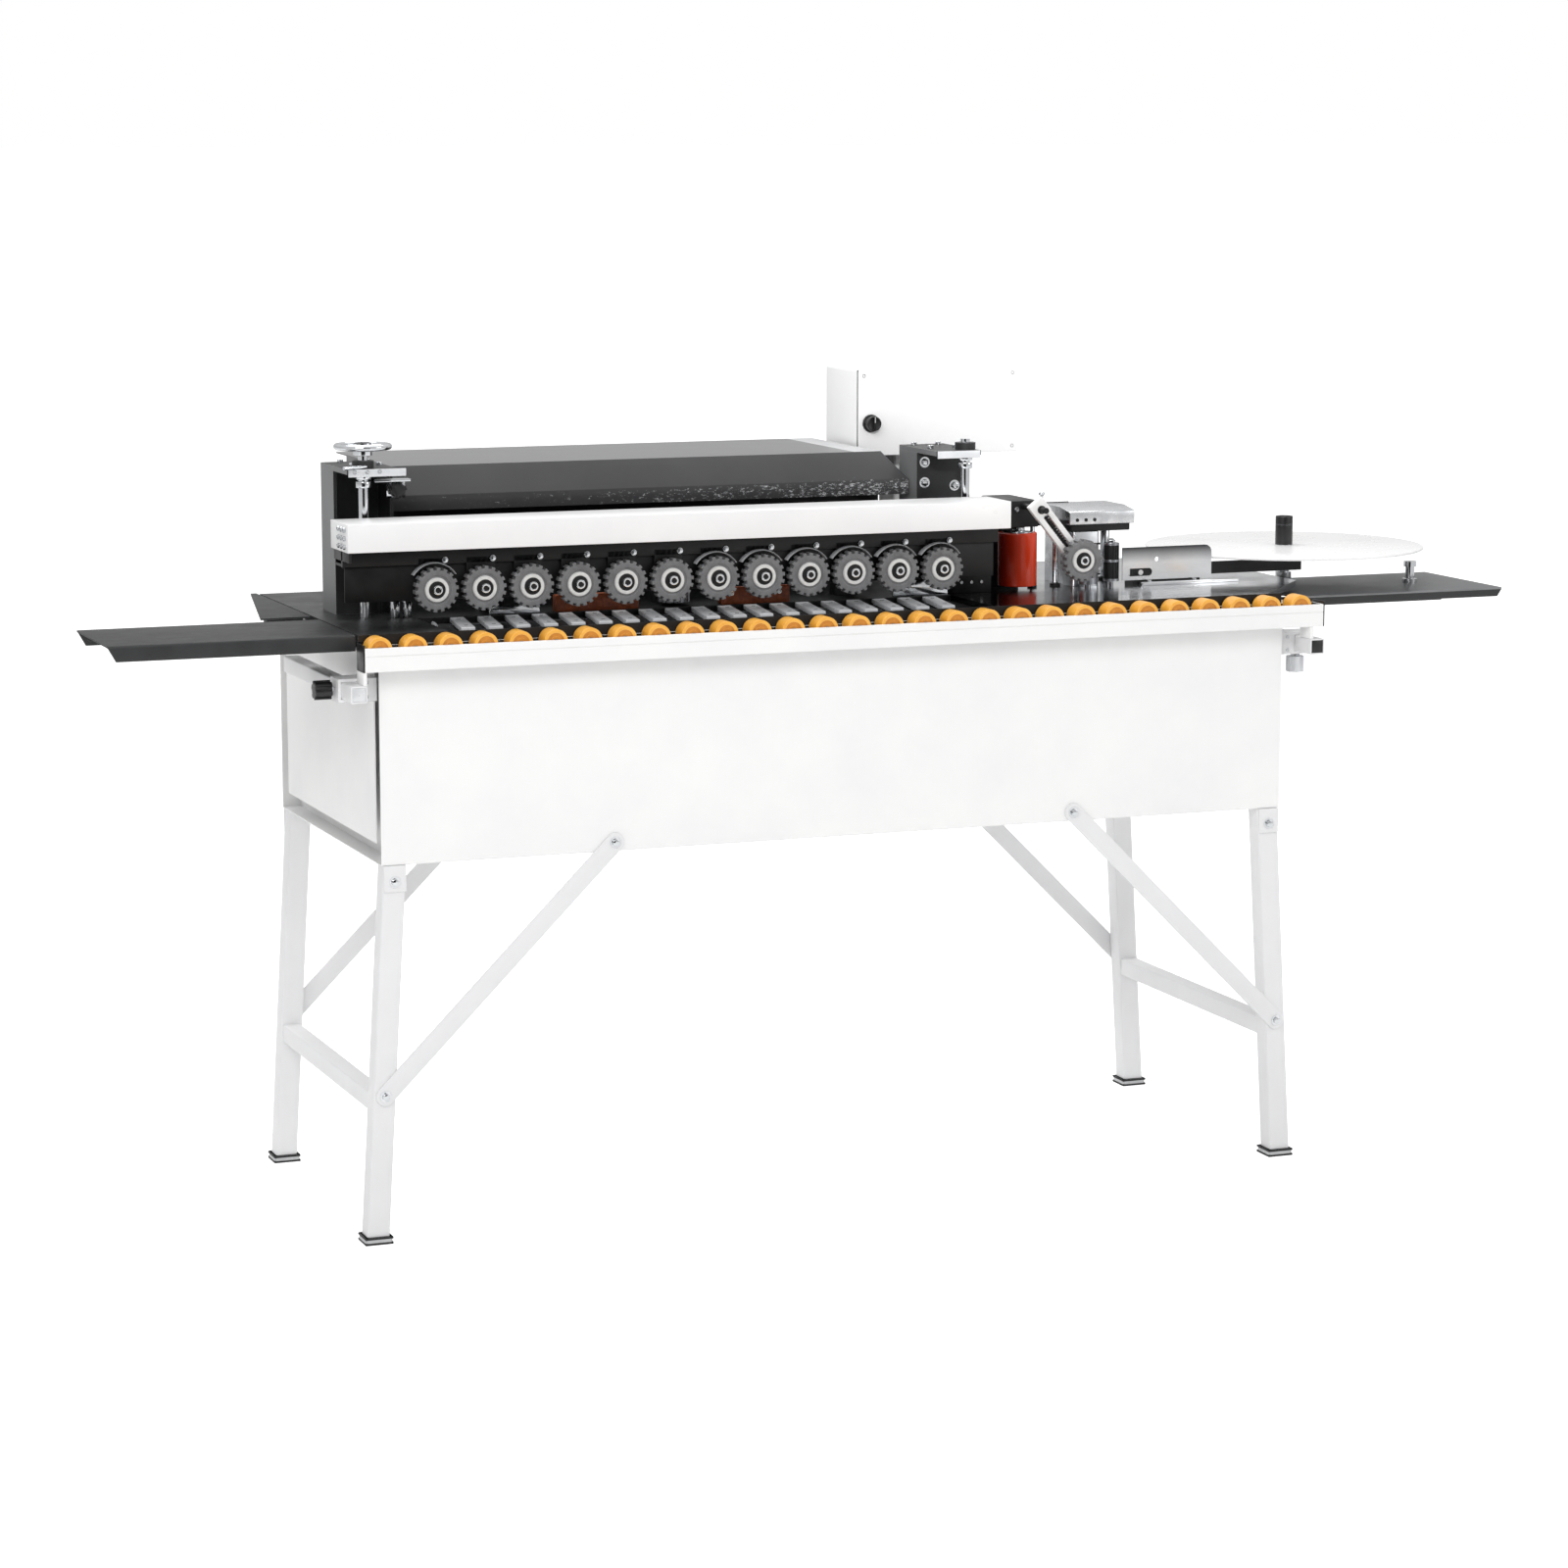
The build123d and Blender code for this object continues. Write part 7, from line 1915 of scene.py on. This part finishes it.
@dataclass
class TrimBed:
    """The trimming motors, cutter and fence blocks behind the wheels."""

    fence_least: float = 100.0
    shoe_least: float = 50.0
    fence_r: float = 4.0
    screw_in: float = 18.0
    shoe_share: float = 0.8

    def build(self) -> None:
        """Dresses the trimming bed and screws its fence blocks down."""
        # painted shade: the motors are darkened to near black
        keep_node("trim_motors", CAST_SHADE_PAINT)
        keep_node("trim_cutter", PLAIN_STEEL)
        pieces = []
        for part in islands("guide_blocks"):
            if part.size.x > self.fence_least:
                block = Shape.block("fence", part)
                block.edges(lambda at, way: abs(way.y) > 0.9 and at.z > part.mid.z)
                block.round_edges(self.fence_r, 3)
                pieces.append(block.soften(0.6).finish(BROWN_BOARD))
                for x in (part.x0 + self.screw_in, part.x1 - self.screw_in):
                    seat = (x, part.y0, part.mid.z + 4.0)
                    pieces.append(socket_screw("fence_screw", seat, Axis.Y, -1, 4.0, 0.9).finish(CHROME))
            elif part.size.x > self.shoe_least:
                shoe = Shape.block("shoe", part)
                lift = part.size.z * self.shoe_share
                shoe.edges(lambda at, way: abs(way.y) > 0.9 and at.z > part.mid.z).round_edges(lift, 6)
                pieces.append(shoe.soften(0.5).finish(CHROME))
            else:
                low = (part.mid.x, part.mid.y, part.z0)
                roller = Shape.rod("guide_roller", Axis.Z, low, part.size.z, part.size.x / 2, 32)
                pieces.append(roller.soften(0.9).finish(CHROME))
        Shape.joined("fence_and_shoes", pieces).ride("frame", "brown_laminate", "guide_blocks")


@dataclass
class Studio:
    """The plain floor, the soft lights and the camera."""

    camera_at: tuple[float, float, float] = (-2542.3, -6488.8, 1739.1)
    camera_yaw: float = 21.204
    camera_pitch: float = -9.009
    camera_lens: float = 97.26
    floor_size: float = 400.0
    floor_glow: float = 0.6
    card_way: tuple[float, float, float] = (-0.36, -0.93, 0.05)
    flag_away: float = 3.6
    flag_size: tuple[float, float] = (3.2, 1.7)

    def camera(self) -> None:
        """Places the camera at the eye height of somebody standing in front."""
        data = bpy.data.cameras.new("camera")
        data.lens = self.camera_lens
        data.sensor_width = 36.0
        data.clip_end = 900.0
        camera = bpy.data.objects.new("camera", data)
        camera.location = Vector(self.camera_at) * MM
        camera.rotation_euler = (math.radians(90.0 + self.camera_pitch), 0.0, math.radians(-self.camera_yaw))
        bpy.context.scene.collection.objects.link(camera)
        bpy.context.scene.camera = camera

    def floor(self) -> None:
        """Lays the pale floor, with a faint glow so that it stays light far away."""
        Shape.clear()
        bpy.ops.mesh.primitive_plane_add(size=self.floor_size)
        floor = bpy.context.active_object
        floor.name = "studio_floor"
        paper = bpy.data.materials.new("studio paper")
        paper.use_nodes = True
        shader = paper.node_tree.nodes["Principled BSDF"]
        shader.inputs["Base Color"].default_value = linear("#F6F6F6")
        shader.inputs["Roughness"].default_value = 0.95
        shader.inputs["Specular IOR Level"].default_value = 0.0
        shader.inputs["Emission Color"].default_value = linear("#FFFFFF")
        ray = add_node(paper.node_tree, "LightPath")
        glow = add_node(paper.node_tree, "Math", {"operation": "MULTIPLY", 1: self.floor_glow},
                        {0: ray.outputs["Is Camera Ray"]})
        paper.node_tree.links.new(glow.outputs["Value"], shader.inputs["Emission Strength"])
        floor.data.materials.append(paper)

    def hang(self, data: bpy.types.Light, at: Point, aim: Point, power: float) -> None:
        """Hangs a light, with its place and aim in metres and its power in watts."""
        data.energy = power
        lamp = bpy.data.objects.new(data.name, data)
        lamp.location = at
        lamp.rotation_euler = (Vector(aim) - Vector(at)).to_track_quat("-Z", "Y").to_euler()
        bpy.context.scene.collection.objects.link(lamp)

    def light(self, name: str, at: Point, aim: Point, size: tuple[float, float], power: float) -> None:
        """Hangs one soft rectangular light; its size is in metres."""
        data = bpy.data.lights.new(name, "AREA")
        data.shape = "RECTANGLE"
        data.size, data.size_y = size
        self.hang(data, at, aim, power)

    def spot(self, name: str, at: Point, aim: Point, angle: float, power: float) -> None:
        """Hangs one soft narrow light; its cone is in degrees."""
        data = bpy.data.lights.new(name, "SPOT")
        data.spot_size = math.radians(angle)
        data.spot_blend = 0.6
        data.shadow_soft_size = 0.1
        self.hang(data, at, aim, power)

    def flag(self) -> None:
        """Stands a dark flag where only mirror reflections meet it, to draw a dark line down round metal."""
        Shape.clear()
        middle = Vector((self.card_way[0], self.card_way[1], 0.0)).normalized() * self.flag_away
        bpy.ops.mesh.primitive_plane_add(size=1.0, location=(middle.x, middle.y, self.flag_size[1] / 2),
                                         rotation=(math.pi / 2, 0.0, -math.radians(self.camera_yaw)))
        flag = bpy.context.active_object
        flag.name = "studio_flag"
        flag.scale = (self.flag_size[0], self.flag_size[1], 1.0)
        cloth = bpy.data.materials.new("black studio cloth")
        cloth.use_nodes = True
        shader = cloth.node_tree.nodes["Principled BSDF"]
        shader.inputs["Base Color"].default_value = linear("#0A0A0A")
        shader.inputs["Roughness"].default_value = 1.0
        flag.data.materials.append(cloth)
        flag.visible_camera = False
        flag.visible_diffuse = False
        flag.visible_shadow = False

    def surround(self) -> None:
        """A white surround with a dark card behind the viewer, which draws the lines in polished metal."""
        world = bpy.data.worlds.new("studio")
        bpy.context.scene.world = world
        world.use_nodes = True
        tree = world.node_tree
        tree.nodes.clear()
        way = add_node(tree, "TexCoord").outputs["Generated"]
        upright = add_node(tree, "SeparateXYZ", links={"Vector": way})
        band = add_node(tree, "MapRange",
                        {"From Min": 0.0, "From Max": 0.6, "To Min": 0.5, "To Max": 0.8},
                        {"Value": upright.outputs["Z"]})
        aside = add_node(tree, "VectorMath",
                         {"operation": "DOT_PRODUCT", 1: self.card_way}, {0: way})
        card = add_node(tree, "MapRange",
                        {"From Min": 0.90, "From Max": 0.97, "To Min": 1.0, "To Max": 0.18},
                        {"Value": aside.outputs["Value"]})
        shaded = add_node(tree, "Math", {"operation": "MULTIPLY"},
                          {0: band.outputs["Result"], 1: card.outputs["Result"]})
        ray = add_node(tree, "LightPath")
        seen = add_node(tree, "Mix", {"data_type": "FLOAT", 3: 1.0},
                        {0: ray.outputs["Is Camera Ray"], 2: shaded.outputs["Value"]})
        glow = add_node(tree, "Background", {"Color": (1.0, 1.0, 1.0, 1.0)},
                        {"Strength": seen.outputs[0]})
        add_node(tree, "OutputWorld", links={"Surface": glow.outputs["Background"]})

    def build(self) -> None:
        """Sets up the whole studio."""
        self.camera()
        self.floor()
        self.flag()
        self.surround()
        self.light("key", (-3.2, -4.6, 3.9), (0.0, 0.0, 0.8), (3.0, 2.2), 112.0)
        self.light("fill", (4.2, -3.8, 2.8), (0.2, 0.0, 0.9), (2.6, 2.6), 34.0)
        self.light("top", (0.0, 1.2, 4.6), (0.0, 0.0, 0.9), (4.0, 1.6), 85.0)
        self.spot("box_spot", (-0.9, -3.4, 2.3), (0.36, 0.25, 1.245), 9.0, 190.0)
        scene = bpy.context.scene
        scene.view_settings.view_transform = "Standard"
        scene.view_settings.look = "None"


def main() -> None:
    """Builds every sub-assembly in order."""
    logging.basicConfig(level=logging.INFO, format="%(message)s")
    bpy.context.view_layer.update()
    Shape.clear()
    Studio().build()
    for assembly in (Casing(), LegStand(), Trays(), RollerLedge(), PadConveyor(), PressBeam(), LiftGear(),
                     Hood(), ControlBox(), GlueUnit(), TapeTurntable(), TrimBed()):
        LOG.info("building %s", type(assembly).__name__)
        assembly.build()
    Shape.clear()


if __name__ == "__main__":
    main()
